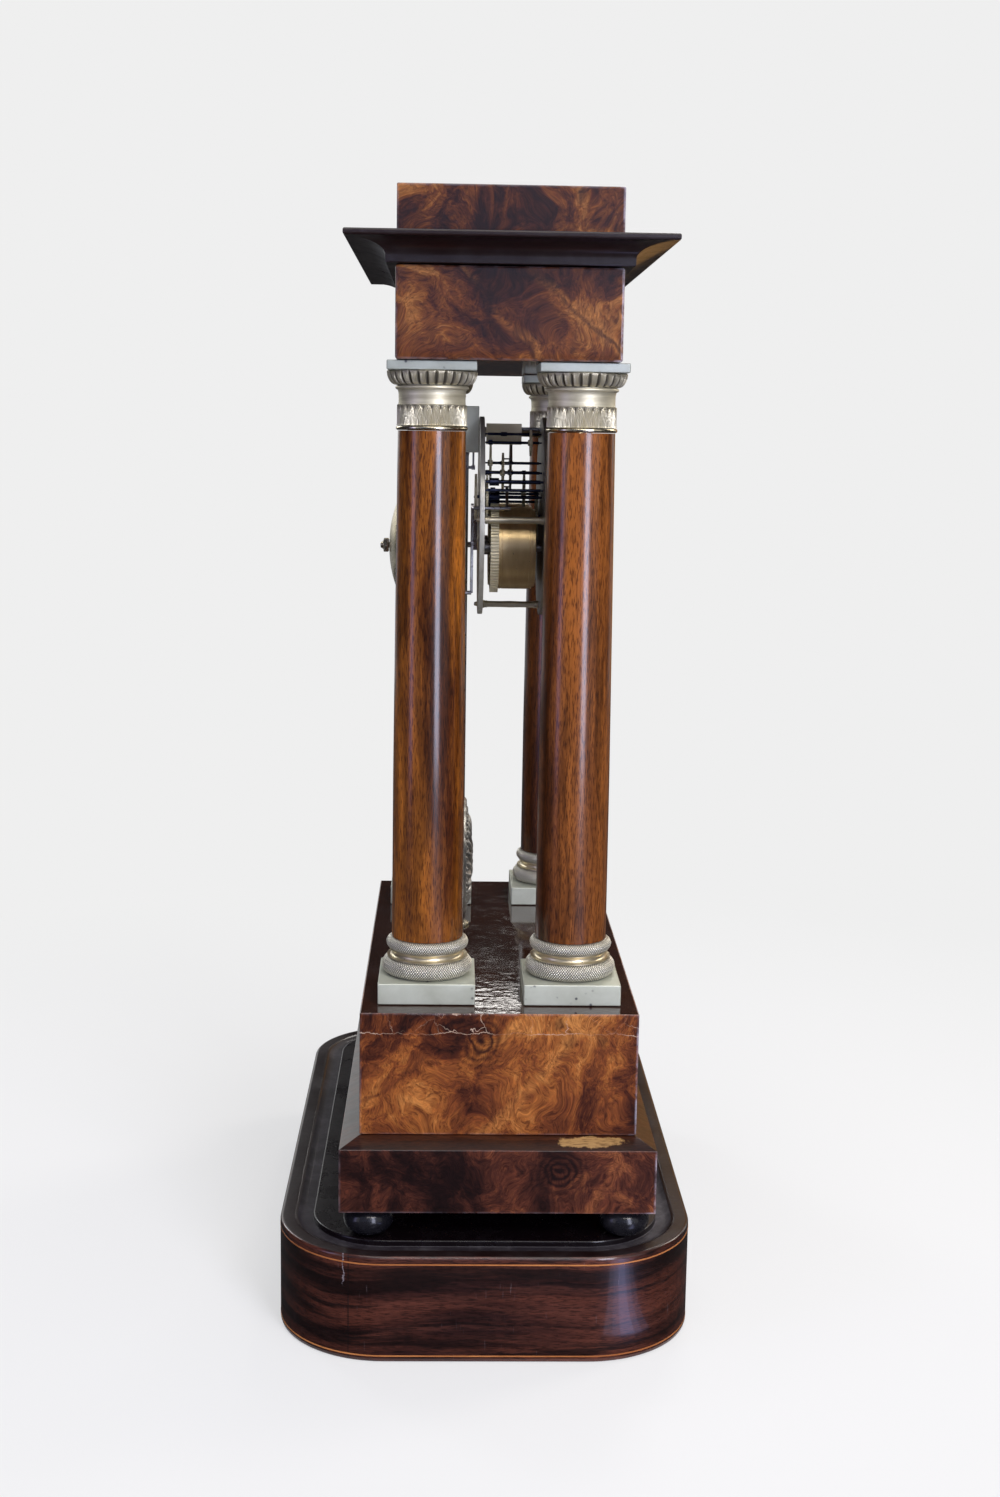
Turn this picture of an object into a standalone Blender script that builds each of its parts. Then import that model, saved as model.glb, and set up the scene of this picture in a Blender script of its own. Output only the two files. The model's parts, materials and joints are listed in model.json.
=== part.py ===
"""Portico clock on the base of its glass dome, in metres: +Z up, the dial facing -Y.

The origin lies under the middle of the display base. Heights of the case are counted
from the top of the base's platform. The movement has its own frame: its places are
(across, up) from the centre arbor, and its depths run forward from the rear face of
the back plate.
"""

import math

import bmesh
import bpy
from mathutils import Vector

# Clearance between pieces that touch, how far a cutter overruns what it cuts, and how
# deep two shapes that become one piece run into each other
SEAT_GAP = 0.0003
OVERRUN = 0.001
JOIN_DEPTH = 0.0004

# Points closer than this are one point. Outlines are filled at a larger scale, because
# the filling loses teeth under a millimetre
WELD = 1e-6
DRAWN_LARGER = 1000

# Edges that turn by more degrees than this stay sharp
SHARP_ANGLE = 35

# Display base
BASE_LENGTH = 0.342
BASE_DEPTH = 0.198
BASE_CORNER = 0.0515
PLATFORM_HEIGHT = 0.0528
RIM_DROP = 0.001
RIM_ROUNDING = 0.0015
RIM_WIDTH = 0.006
COVE_WIDTH = 0.0044
GROOVE_WIDTH = 0.004
GROOVE_DEPTH = 0.003
PLATFORM_ROUNDING = 0.001
BASE_CORNER_STEPS = 6
COVE_STEPS = 2

# The clock stands a little to the left of the middle of its base, and forward of it
CLOCK_ASIDE = 0.017
CLOCK_FORWARD = 0.005

# Plinth
FOOT_DIAMETER = 0.0256
FOOT_HEIGHT = 0.014
FOOT_INSET = 0.0135
LOWER_PLINTH_LENGTH = 0.2801
LOWER_PLINTH_DEPTH = 0.1479
LOWER_PLINTH_HEIGHT = 0.0312
RAMP_RISE = 0.0038
RAMP_INSET = 0.0092
PLINTH_BOX_HEIGHT = 0.059
ARRIS = 0.0005

# Columns
COLUMN_ACROSS = 0.0958
COLUMN_BACK = 0.0342
BASE_SQUARE = 0.0456
BASE_SQUARE_HEIGHT = 0.0103
LOWER_TORUS_DIAMETER = 0.0426
LOWER_TORUS_HEIGHT = 0.0082
SCOTIA_DIAMETER = 0.033
SCOTIA_HEIGHT = 0.004
UPPER_TORUS_DIAMETER = 0.0387
UPPER_TORUS_HEIGHT = 0.0055
SHAFT_FOOT_DIAMETER = 0.0338
SHAFT_TOP_DIAMETER = 0.0311
SHAFT_HEIGHT = 0.2374
SHAFT_TAPER_SHARES = ((1, 1), (0.66, 0.5), (0.33, 0.1), (0, 0))
ASTRAGAL_DIAMETER = 0.0329
ASTRAGAL_HEIGHT = 0.0022
LEAF_BAND_DIAMETER = 0.0316
LEAF_BAND_HEIGHT = 0.0094
NECK_DIAMETER = 0.0305
NECK_HEIGHT = 0.0067
COLLAR_DIAMETER = 0.0332
COLLAR_HEIGHT = 0.0022
OVOLO_DIAMETER = 0.0414
OVOLO_HEIGHT = 0.0063
ABACUS_SQUARE = 0.0403
ABACUS_HEIGHT = 0.0041
COLUMN_SEGMENTS = 16
BULGE_STEPS = 3

# Entablature, cornice and attic
ENTABLATURE_LENGTH = 0.2363
ENTABLATURE_DEPTH = 0.1012
ENTABLATURE_HEIGHT = 0.0412
CORNICE_LENGTH = 0.2802
CORNICE_DEPTH = 0.1451
CORNICE_HEIGHT = 0.0129
CORNICE_FILLET_INSET = 0.0176
CORNICE_FILLET_HEIGHT = 0.0032
CORNICE_SLAB = 0.0028
CORNICE_LIP = 0.0012
CORNICE_STEPS = 4
ATTIC_LENGTH = 0.2354
ATTIC_DEPTH = 0.1003
ATTIC_HEIGHT = 0.0216

# Movement frame
DIAL_BELOW_ENTABLATURE = 0.011
BACK_FACE = 0.0111
PLATE_RADIUS = 0.05
PLATE_THICK = 0.0025
PLATE_SPACING = 0.0289
PILLAR_CIRCLE = 0.045
PILLAR_RADIUS = 0.002
PILLAR_SPIGOT_RADIUS = 0.0012
PILLAR_TAIL = 0.0018
PILLAR_BEARINGS = (0, 68, 180, 270)
PLATE_SEGMENTS = 36
HOLE_SEGMENTS = 8

# Wheels. Each tooth is a narrow point, so that the trains run free at any turn
TIP_SHARE = 0.62
ROOT_SHARE = 1.05
WHEEL_RIM = 0.0013
LARGE_CROSSINGS = 5
SMALL_CROSSINGS = 4
HUB_RADIUS = 0.0024
SPOKE_WIDTH = 0.0011
ARBOR_RADIUS = 0.0007
HEAVY_ARBOR_RADIUS = 0.0009
ARBOR_SEGMENTS = 6
WHEEL_THICK = 0.001
PINION_OVERHANG = 0.0004

# Barrels
BARREL_ACROSS = 0.0232
BARREL_DROP = 0.0146
BARREL_TEETH = 84
BARREL_MODULE = 0.000524
GREAT_WHEEL_FROM = 0.0057
GREAT_WHEEL_THICK = 0.004
DRUM_RADIUS = 0.0205
DRUM_FRONT = 0.028
DRUM_LID_INSET = 0.0012
DRUM_LID_THICK = 0.0016
DRUM_SEGMENTS = 24
BARREL_ARBOR_RADIUS = 0.0026
SHOULDER_RADIUS = 0.0036
SHOULDER_TO = 0.0052
WINDING_NECK_RADIUS = 0.002
WINDING_SQUARE = 0.0026
WINDING_SQUARE_LENGTH = 0.0058
RATCHET_TEETH = 16
RATCHET_RADIUS = 0.0066
RATCHET_DEPTH = 0.0011
RATCHET_THICK = 0.0014
CLICK_LENGTH = 0.0085
CLICK_WIDTH = 0.0022
CLICK_BEARING = 90
CLICK_STUD_RADIUS = 0.0007

# Going train: teeth, modules and where each arbor lies
BARREL_PINION = 12
INTERMEDIATE_TEETH = 60
INTERMEDIATE_MODULE = 0.00036
CENTRE_PINION = 10
CENTRE_TEETH = 64
CENTRE_MODULE = 0.00033
FINE_PINION = 6
THIRD_TEETH = 64
THIRD_MODULE = 0.00031
THIRD_BEARING = 97.46
ESCAPE_BEARING = 82.06
ESCAPE_TEETH = 33
ESCAPE_RADIUS = 0.0094
ESCAPE_TOOTH_DEPTH = 0.0015
ESCAPE_LEAN_SHARE = 0.3
ESCAPE_CROSSING_TURN = math.pi / 5
PALLET_RISE = 0.044
LOW_WHEEL_FROM = 0.0033
CENTRE_WHEEL_FROM = 0.029
THIRD_WHEEL_FROM = 0.0225
ESCAPE_WHEEL_FROM = 0.0155

# Strike train
SECOND_TEETH = 54
SECOND_MODULE = 0.0004
SECOND_BEARING = 94.79
PIN_WHEEL_TEETH = 60
PIN_WHEEL_MODULE = 0.00032
PIN_WHEEL_BEARING = 88.57
PIN_WHEEL_FROM = 0.011
PIN_WHEEL_RIM = 0.0028
PIN_COUNT = 10
PIN_CIRCLE = 0.0072
PIN_RADIUS = 0.00035
PIN_LENGTH = 0.0036
PIN_SEGMENTS = 6
LOCKING_TEETH = 56
LOCKING_MODULE = 0.00032
LOCKING_BEARING = 26.08
LOCKING_WHEEL_FROM = 0.005
WARNING_PINION = 7
WARNING_TEETH = 42
WARNING_MODULE = 0.0003
WARNING_BEARING = 88.3
WARNING_WHEEL_FROM = 0.025
FLY_BEARING = 35.8
FLY_HALF_HEIGHT = 0.0052
FLY_FROM = 0.0033
FLY_TO = 0.0211
FLY_THICK = 0.0004
FLY_CROSSBAR_RADIUS = 0.0011
COUNT_RADIUS = 0.0113
COUNT_NOTCH = 0.0017
COUNT_THICK = 0.0012
COUNT_BEHIND = 0.0012
HOURS = 12

# Pallets with their crutch
ANCHOR_THICK = 0.0012
ANCHOR_ARM_WIDTH = 0.0014
ANCHOR_HUB_RADIUS = 0.0022
ANCHOR_CLEARANCE = 0.0013
PALLET_LENGTH = 0.0007
PALLET_HOLE_RADIUS = 0.003
CRUTCH_FROM = 0.0034
CRUTCH_THICK = 0.001
CRUTCH_WIDTH = 0.0016
CRUTCH_DROP = 0.0196
FORK_WIDTH = 0.0054
FORK_HEIGHT = 0.0022
FORK_PRONG = 0.0012
FORK_REACH = 0.0052

# Motion work, dial and hands, counted forward from the front plate
MINUTE_TEETH = 36
MINUTE_MODULE = 0.0004
CANNON_TEETH = 12
HOUR_TEETH = 40
HOUR_MODULE = 0.000384
MINUTE_PINION = 10
MOTION_THICK = 0.0012
CANNON_FROM = 0.0006
HOUR_WHEEL_FROM = 0.0027
CANNON_PIPE_RADIUS = 0.0016
CANNON_BORE_RADIUS = 0.0012
HOUR_PIPE_RADIUS = 0.0025
HANGER_FROM = 0.0056
HANGER_THICK = 0.0015
HANGER_RADIUS = 0.0575
HANGER_TONGUE = 0.04
HANGER_TONGUE_STEPS = 5
HANGER_FOOT = 0.01
DIAL_FOOT_RADIUS = 0.002
DIAL_FOOT_CIRCLE = 0.0462
DIAL_FOOT_BEARINGS = (45, 135, 225, 315)
DIAL_RADIUS = 0.05
DIAL_THICK = 0.0023
DIAL_RAISED_RADIUS = 0.0462
DIAL_RAISED = 0.0006
WINDING_HOLE_RADIUS = 0.0033
CENTRE_HOLE_RADIUS = 0.0034
HOUR_HAND_ABOVE_DIAL = 0.0016
HAND_THICK = 0.0007
HANDS_APART = 0.0012
HOUR_HAND_LENGTH = 0.026
MINUTE_HAND_LENGTH = 0.038
HAND_TAIL = 0.006
HAND_HUB_RADIUS = 0.0042
HAND_RING_RADIUS = 0.0036
HAND_RING_WALL = 0.0009
HAND_WIDTH = 0.0014
HAND_RING_SHARE = 0.72
HAND_SEGMENTS = 16
MINUTE_SHOWN = 10
HOUR_SHOWN = 10

# Bezel and its glass
BEZEL_RADIUS = 0.0623
BEZEL_INNER_RADIUS = 0.0468
BEZEL_SEAT_RADIUS = 0.0505
BEZEL_DEPTH = 0.014
BEZEL_LIP = 0.002
BEZEL_SEGMENTS = 32
GLASS_RISE = 0.0055
GLASS_WALL = 0.0015
GLASS_STEPS = 3
HINGE_ACROSS = 0.0646
HINGE_FORWARD = 0.0035
KNUCKLE_RADIUS = 0.0016
KNUCKLE_HALF = 0.005
HINGE_HALF = 0.01
HINGE_PIN_RADIUS = 0.0008
HINGE_TAB = 0.0024

# Bell, its stand and the hammer
BELL_DROP = 0.0154
BELL_RADIUS = 0.0375
BELL_APEX_BACK = 0.0564
BELL_DEPTH = 0.0234
BELL_WALL = 0.0016
BELL_SHARES = ((0, 0), (0.35, 0.04), (0.62, 0.17), (0.83, 0.42), (0.95, 0.72), (1, 1))
BELL_SEGMENTS = 24
STAND_RADIUS = 0.0016
STAND_ACROSS = 0.012
STAND_RISE = 0.004
STAND_PLATE_GAP = 0.0003
STAND_FOOT_HEIGHT = 0.022
STAND_FOOT_WIDTH = 0.006
STAND_FOOT_THICK = 0.003
STUD_LENGTH = 0.011
STUD_BEND = 0.006
BELL_NUT_WIDTH = 0.0075
BELL_NUT_THICK = 0.0043
BELL_NUT_SIDES = 8
HAMMER_ACROSS = -0.038
HAMMER_RISE = 0.0054
HAMMER_ARBOR_RADIUS = 0.0009
HAMMER_TAIL_FROM = 0.0128
HAMMER_TAIL_THICK = 0.0014
HAMMER_TAIL_LENGTH = 0.0128
HAMMER_TAIL_WIDTH = 0.0016
HAMMER_TAIL_BEARING = 52.7
HAMMER_ARM_WIDTH = 0.0022
HAMMER_ARM_FROM = 0.0042
HAMMER_ARM_THICK = 0.0014
HAMMER_ARM_DROP = 0.0417
HAMMER_ARM_ACROSS = 0.0018
HAMMER_STEM_RADIUS = 0.001
HAMMER_HEAD_RADIUS = 0.0034
HAMMER_HEAD_LENGTH = 0.008
HAMMER_STEM_LENGTH = 0.0215
HAMMER_HEAD_SEGMENTS = 12

# Suspension and pendulum
COCK_HALF_WIDTH = 0.0085
COCK_RISE = 0.011
COCK_DROP = 0.012
COCK_THICK = 0.0046
CHEEK_THICK = 0.003
COCK_SLOT_HALF = 0.0042
CHEEK_SLOT_HALF = 0.0026
COCK_SLOT_TOP = 0.0055
ROD_BACK = 0.0175
ROD_RADIUS = 0.0012
ROD_TOP_DROP = 0.013
HOOK_HALF_WIDTH = 0.0015
HOOK_DEPTH = 0.003
HOOK_HEIGHT = 0.007
SPRING_THICK = 0.0004
SPRING_WIDTH = 0.0022
SPRING_BLOCK = 0.0026
SPRING_BLOCK_HEIGHT = 0.003
PENDULUM_CLEARANCE = 0.0034
BOB_RADIUS = 0.034
BOB_FRONT = 0.0122
BOB_BACK = 0.026
BOB_RIM = 0.003
BOB_SEGMENTS = 28
BOB_FRONT_SHARES = ((0, 1), (0.3, 0.97), (0.62, 0.72), (0.86, 0.45), (0.93, 0.42))
BOB_BACK_SHARES = ((0.93, 0.5), (0.6, 0.85), (0, 1))
ROD_BELOW_BOB = 0.0066
NUT_RADIUS = 0.0042
NUT_THICK = 0.0034

# Heights of the case, from the table up
PLATFORM = PLATFORM_HEIGHT
PLINTH_FOOT = PLATFORM + FOOT_HEIGHT
RAMP_FOOT = PLINTH_FOOT + LOWER_PLINTH_HEIGHT
BOX_FOOT = RAMP_FOOT + RAMP_RISE
PLINTH_TOP = BOX_FOOT + PLINTH_BOX_HEIGHT
TORUS_FOOT = PLINTH_TOP + BASE_SQUARE_HEIGHT
SHAFT_FOOT = TORUS_FOOT + LOWER_TORUS_HEIGHT + SCOTIA_HEIGHT + UPPER_TORUS_HEIGHT
CAPITAL_FOOT = SHAFT_FOOT + SHAFT_HEIGHT
CAPITAL_HEIGHT = (
    ASTRAGAL_HEIGHT + LEAF_BAND_HEIGHT + NECK_HEIGHT + COLLAR_HEIGHT + OVOLO_HEIGHT + ABACUS_HEIGHT
)
ENTABLATURE_FOOT = CAPITAL_FOOT + CAPITAL_HEIGHT
CORNICE_FOOT = ENTABLATURE_FOOT + ENTABLATURE_HEIGHT
ATTIC_FOOT = CORNICE_FOOT + CORNICE_HEIGHT

# The movement hangs by its dial plate below the entablature, and the pendulum's rod ends
# just above the plinth
CENTRE_HEIGHT = ENTABLATURE_FOOT - PLATFORM - BEZEL_RADIUS - DIAL_BELOW_ENTABLATURE
ROD_END = PLINTH_TOP - PLATFORM + PENDULUM_CLEARANCE
BOB_DROP = CENTRE_HEIGHT + PALLET_RISE - ROD_END - ROD_BELOW_BOB - BOB_RADIUS

# Depths of the movement, forward from the rear face of the back plate
INSIDE_FROM = PLATE_THICK + SEAT_GAP
INSIDE_TO = PLATE_THICK + PLATE_SPACING - SEAT_GAP
FRONT_PLATE_FROM = PLATE_THICK + PLATE_SPACING
FRONT_FACE = FRONT_PLATE_FROM + PLATE_THICK
HANGER_REAR = FRONT_FACE + HANGER_FROM
DIAL_REAR = HANGER_REAR + HANGER_THICK + SEAT_GAP
DIAL_FACE = DIAL_REAR + DIAL_THICK
HOUR_HAND_FROM = DIAL_FACE + HOUR_HAND_ABOVE_DIAL
MINUTE_HAND_FROM = HOUR_HAND_FROM + HAND_THICK + HANDS_APART
BEZEL_REAR = HANGER_REAR + HANGER_THICK + SEAT_GAP

COLLECTION_NAME = "portico_clock"
CUTTERS_NAME = "shaping_solids"

# Colour, roughness and metallic value of each kind of surface
BURR_VENEER = ((0.25, 0.09, 0.03), 0.25, 0.0)
ROSEWOOD = ((0.12, 0.04, 0.025), 0.25, 0.0)
EBONISED = ((0.025, 0.02, 0.02), 0.3, 0.0)
GILT_BRASS = ((0.72, 0.55, 0.28), 0.3, 1.0)
PLATE_BRASS = ((0.5, 0.44, 0.3), 0.35, 1.0)
WHEEL_BRASS = ((0.66, 0.5, 0.25), 0.3, 1.0)
BLUED_STEEL = ((0.05, 0.06, 0.1), 0.3, 1.0)
BRIGHT_STEEL = ((0.45, 0.45, 0.47), 0.3, 1.0)
BELL_METAL = ((0.6, 0.52, 0.36), 0.25, 1.0)
SILVERED = ((0.6, 0.6, 0.58), 0.4, 1.0)
ENAMEL = ((0.85, 0.84, 0.8), 0.2, 0.0)
CLEAR_GLASS = ((0.9, 0.95, 0.95), 0.05, 0.0)


def clear_scene():
    for obj in list(bpy.data.objects):
        bpy.data.objects.remove(obj)
    for name in (COLLECTION_NAME, CUTTERS_NAME):
        bpy.context.scene.collection.children.link(bpy.data.collections.new(name))
    bpy.data.collections[CUTTERS_NAME].hide_render = True


def paint(obj, finish):
    colour, roughness, metallic = finish
    material = bpy.data.materials.new(obj.name)
    material.use_nodes = True
    shader = material.node_tree.nodes["Principled BSDF"]
    shader.inputs["Base Color"].default_value = (*colour, 1.0)
    shader.inputs["Roughness"].default_value = roughness
    shader.inputs["Metallic"].default_value = metallic
    obj.data.materials.clear()
    obj.data.materials.append(material)


def finish_part(obj, name, finish):
    """Names a finished solid, paints it and moves it to the clock's collection."""
    obj.name = name
    obj.hide_render = False
    obj.display_type = "TEXTURED"
    for home in list(obj.users_collection):
        home.objects.unlink(obj)
    bpy.data.collections[COLLECTION_NAME].objects.link(obj)
    paint(obj, finish)
    return obj


def helper(name, mesh):
    """A shaping solid, left out of the clock until finish_part takes it over."""
    obj = bpy.data.objects.new(name, mesh)
    obj.hide_render = True
    obj.display_type = "WIRE"
    bpy.data.collections[CUTTERS_NAME].objects.link(obj)
    return obj


def mesh_of(name, bm):
    mesh = bpy.data.meshes.new(name)
    bm.to_mesh(mesh)
    bm.free()
    return mesh


def box(name, low, high):
    """A box between two opposite corners."""
    low, high = Vector(low), Vector(high)
    bm = bmesh.new()
    bmesh.ops.create_cube(bm, size=1)
    bmesh.ops.scale(bm, vec=high - low, verts=bm.verts)
    bmesh.ops.translate(bm, vec=(low + high) / 2, verts=bm.verts)
    return helper(name, mesh_of(name, bm))


def rod(name, radius, low, high, segments=ARBOR_SEGMENTS, at=(0, 0)):
    """A round bar along Z from low to high."""
    bm = bmesh.new()
    bmesh.ops.create_cone(
        bm, cap_ends=True, segments=segments, radius1=radius, radius2=radius, depth=high - low
    )
    bmesh.ops.translate(bm, vec=(at[0], at[1], (low + high) / 2), verts=bm.verts)
    return helper(name, mesh_of(name, bm))


def turned(name, profile, segments, ring=False):
    """Turns a profile of (radius, height) points, from the top down its outer side, about Z."""
    bm = bmesh.new()
    points = [bm.verts.new((radius, 0, height)) for radius, height in profile]
    for above, below in zip(points, points[1:]):
        bm.edges.new((above, below))
    if ring:
        bm.edges.new((points[-1], points[0]))
    obj = helper(name, mesh_of(name, bm))
    screw = obj.modifiers.new("turn", "SCREW")
    screw.steps = segments
    screw.render_steps = segments
    screw.use_merge_vertices = True
    screw.merge_threshold = WELD
    return obj


def flat(name, loops, low, high):
    """An outline with any holes in it, as a plate between two heights."""
    curve = bpy.data.curves.new(name, "CURVE")
    curve.dimensions = "2D"
    curve.fill_mode = "BOTH"
    curve.extrude = (high - low) / 2 * DRAWN_LARGER
    for loop in loops:
        spline = curve.splines.new("POLY")
        spline.points.add(len(loop) - 1)
        for point, (across, up) in zip(spline.points, loop):
            point.co = (across * DRAWN_LARGER, up * DRAWN_LARGER, 0, 1)
        spline.use_cyclic_u = True
    drawn = bpy.data.objects.new(name, curve)
    bpy.context.scene.collection.objects.link(drawn)
    graph = bpy.context.evaluated_depsgraph_get()
    mesh = bpy.data.meshes.new_from_object(drawn.evaluated_get(graph))
    bpy.data.objects.remove(drawn)
    bm = bmesh.new()
    bm.from_mesh(mesh)
    bmesh.ops.scale(bm, vec=(1 / DRAWN_LARGER,) * 3, verts=bm.verts)
    bmesh.ops.remove_doubles(bm, verts=bm.verts, dist=WELD)
    bmesh.ops.recalc_face_normals(bm, faces=bm.faces)
    bmesh.ops.translate(bm, vec=(0, 0, (low + high) / 2), verts=bm.verts)
    bm.to_mesh(mesh)
    bm.free()
    return helper(name, mesh)


def combine(target, others, operation="UNION"):
    """Adds other solids to the target, or with DIFFERENCE cuts them out of it."""
    for other in others:
        step = target.modifiers.new(other.name, "BOOLEAN")
        step.operation = operation
        step.solver = "EXACT"
        step.object = other
    return target


def circle(radius, segments, centre=(0, 0)):
    turns = [math.tau * i / segments for i in range(segments)]
    return [(centre[0] + radius * math.cos(a), centre[1] + radius * math.sin(a)) for a in turns]


def bar_outline(start, end, width):
    """The four corners of a straight bar between two points."""
    start, end = Vector(start), Vector(end)
    along = (end - start).normalized()
    side = Vector((-along.y, along.x)) * (width / 2)
    return [tuple(start + side), tuple(start - side), tuple(end - side), tuple(end + side)]


def away(start, distance, bearing):
    """The point at a distance and a bearing in degrees, counted from across towards up."""
    angle = math.radians(bearing)
    return (start[0] + distance * math.cos(angle), start[1] + distance * math.sin(angle))


def meet(first, first_reach, second, second_reach):
    """Where two reaches cross, on the left going from the first centre to the second."""
    start, span = Vector(first), Vector(second) - Vector(first)
    along = (first_reach**2 - second_reach**2 + span.length_squared) / (2 * span.length)
    aside = math.sqrt(first_reach**2 - along**2)
    unit = span.normalized()
    return tuple(start + unit * along + Vector((-unit.y, unit.x)) * aside)


def bearing_of(start, end):
    return math.atan2(end[1] - start[1], end[0] - start[0])


def half_round(radius, top, height, steps):
    """Profile points down a torus of the given outer radius and height."""
    bulge = height / 2
    points = []
    for i in range(steps + 1):
        angle = math.pi * i / steps
        points.append((radius - bulge + bulge * math.sin(angle), top - bulge + bulge * math.cos(angle)))
    return points


def rectangle_ring(length, depth, corner, inset, steps):
    """A rectangle drawn in by inset, with round corners where corner is more than nothing."""
    points = []
    for quarter, (side_x, side_y) in enumerate(((1, 1), (-1, 1), (-1, -1), (1, -1))):
        centre_x = side_x * (length / 2 - max(corner, inset))
        centre_y = side_y * (depth / 2 - max(corner, inset))
        radius = max(corner - inset, 0)
        count = steps if radius else 0
        for i in range(count + 1):
            angle = math.pi / 2 * (quarter + (i / count if count else 0))
            points.append((centre_x + radius * math.cos(angle), centre_y + radius * math.sin(angle)))
    return points


def moulded_block(name, length, depth, profile, corner=0, steps=0):
    """A block whose sides follow a profile of (inset, height) points, mitred round the corners."""
    bm = bmesh.new()
    rings = []
    for inset, height in profile:
        outline = rectangle_ring(length, depth, corner, inset, steps)
        rings.append([bm.verts.new((x, y, height)) for x, y in outline])
    for lower, upper in zip(rings, rings[1:]):
        for i in range(len(lower)):
            after = (i + 1) % len(lower)
            bm.faces.new((lower[i], lower[after], upper[after], upper[i]))
    bm.faces.new(rings[0][::-1])
    bm.faces.new(rings[-1])
    return helper(name, mesh_of(name, bm))


def on_base(across, back, height):
    """A place in the clock's own frame, where the clock stands on its base."""
    return (across - CLOCK_ASIDE, back - CLOCK_FORWARD, height)


def stand_clock_piece(obj, across=0, back=0, height=0):
    obj.location = on_base(across, back, height)
    return obj


def in_movement(objects, place):
    """Stands pieces on an arbor of the movement, their own Z pointing forward."""
    for obj in objects:
        obj.location = on_base(place[0], BACK_FACE, PLATFORM + CENTRE_HEIGHT + place[1])
        obj.rotation_euler = (math.pi / 2, 0, 0)
    return objects[0]


# Case


def make_display_base():
    rim_top = PLATFORM - RIM_DROP
    floor = PLATFORM - GROOVE_DEPTH
    profile = [(0, 0), (0, rim_top - RIM_ROUNDING), (RIM_ROUNDING, rim_top)]
    rim_inner = RIM_ROUNDING + RIM_WIDTH
    for i in range(COVE_STEPS + 1):
        angle = math.pi / 2 * i / COVE_STEPS
        inset = rim_inner + COVE_WIDTH * (1 - math.cos(angle))
        profile.append((inset, floor + (rim_top - floor) * (1 - math.sin(angle))))
    platform_edge = rim_inner + COVE_WIDTH + GROOVE_WIDTH
    profile.append((platform_edge, floor))
    profile.append((platform_edge, PLATFORM - PLATFORM_ROUNDING))
    profile.append((platform_edge + PLATFORM_ROUNDING, PLATFORM))
    base = moulded_block(
        "base_body", BASE_LENGTH, BASE_DEPTH, profile, BASE_CORNER, BASE_CORNER_STEPS
    )
    finish_part(base, "display_base", ROSEWOOD)


def make_feet():
    half_height = (FOOT_HEIGHT - SEAT_GAP) / 2
    profile = [(0, 2 * half_height), (FOOT_DIAMETER / 2 - half_height, 2 * half_height)]
    profile += half_round(FOOT_DIAMETER / 2, 2 * half_height, 2 * half_height, BULGE_STEPS)[1:-1]
    profile += [(FOOT_DIAMETER / 2 - half_height, 0), (0, 0)]
    across = LOWER_PLINTH_LENGTH / 2 - FOOT_INSET
    back = LOWER_PLINTH_DEPTH / 2 - FOOT_INSET
    for name, side_x, side_y in corner_names():
        foot = turned("foot_body", profile, COLUMN_SEGMENTS)
        stand_clock_piece(foot, side_x * across, side_y * back, PLATFORM + SEAT_GAP)
        finish_part(foot, "foot_" + name, EBONISED)


def corner_names():
    return (
        ("front_left", -1, -1),
        ("front_right", 1, -1),
        ("rear_left", -1, 1),
        ("rear_right", 1, 1),
    )


def make_plinth():
    profile = [(ARRIS, SEAT_GAP), (0, SEAT_GAP + ARRIS)]
    profile += [(0, LOWER_PLINTH_HEIGHT), (RAMP_INSET, LOWER_PLINTH_HEIGHT + RAMP_RISE)]
    lower = moulded_block("lower_body", LOWER_PLINTH_LENGTH, LOWER_PLINTH_DEPTH, profile)
    stand_clock_piece(lower, height=PLINTH_FOOT)
    finish_part(lower, "lower_plinth", BURR_VENEER)
    length = LOWER_PLINTH_LENGTH - 2 * RAMP_INSET
    depth = LOWER_PLINTH_DEPTH - 2 * RAMP_INSET
    profile = [(0, SEAT_GAP), (0, PLINTH_BOX_HEIGHT - ARRIS), (ARRIS, PLINTH_BOX_HEIGHT)]
    upper = moulded_block("box_body", length, depth, profile)
    stand_clock_piece(upper, height=BOX_FOOT)
    finish_part(upper, "plinth_box", BURR_VENEER)


def make_column_base(name, across, back):
    tori_top = LOWER_TORUS_HEIGHT + SCOTIA_HEIGHT + UPPER_TORUS_HEIGHT
    scotia_top = LOWER_TORUS_HEIGHT + SCOTIA_HEIGHT
    profile = [(0, tori_top)]
    profile += half_round(UPPER_TORUS_DIAMETER / 2, tori_top, UPPER_TORUS_HEIGHT, BULGE_STEPS)
    profile += [(SCOTIA_DIAMETER / 2, scotia_top), (SCOTIA_DIAMETER / 2, LOWER_TORUS_HEIGHT)]
    profile += half_round(
        LOWER_TORUS_DIAMETER / 2, LOWER_TORUS_HEIGHT, LOWER_TORUS_HEIGHT, BULGE_STEPS
    )
    profile += [(LOWER_TORUS_DIAMETER / 2 - LOWER_TORUS_HEIGHT, -JOIN_DEPTH), (0, -JOIN_DEPTH)]
    mouldings = turned("base_mouldings", profile, COLUMN_SEGMENTS)
    half = BASE_SQUARE / 2
    square = box("base_square", (-half, -half, SEAT_GAP - BASE_SQUARE_HEIGHT), (half, half, 0))
    for piece in (mouldings, square):
        stand_clock_piece(piece, across, back, TORUS_FOOT)
    combine(mouldings, [square])
    finish_part(mouldings, "column_base_" + name, GILT_BRASS)


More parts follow.
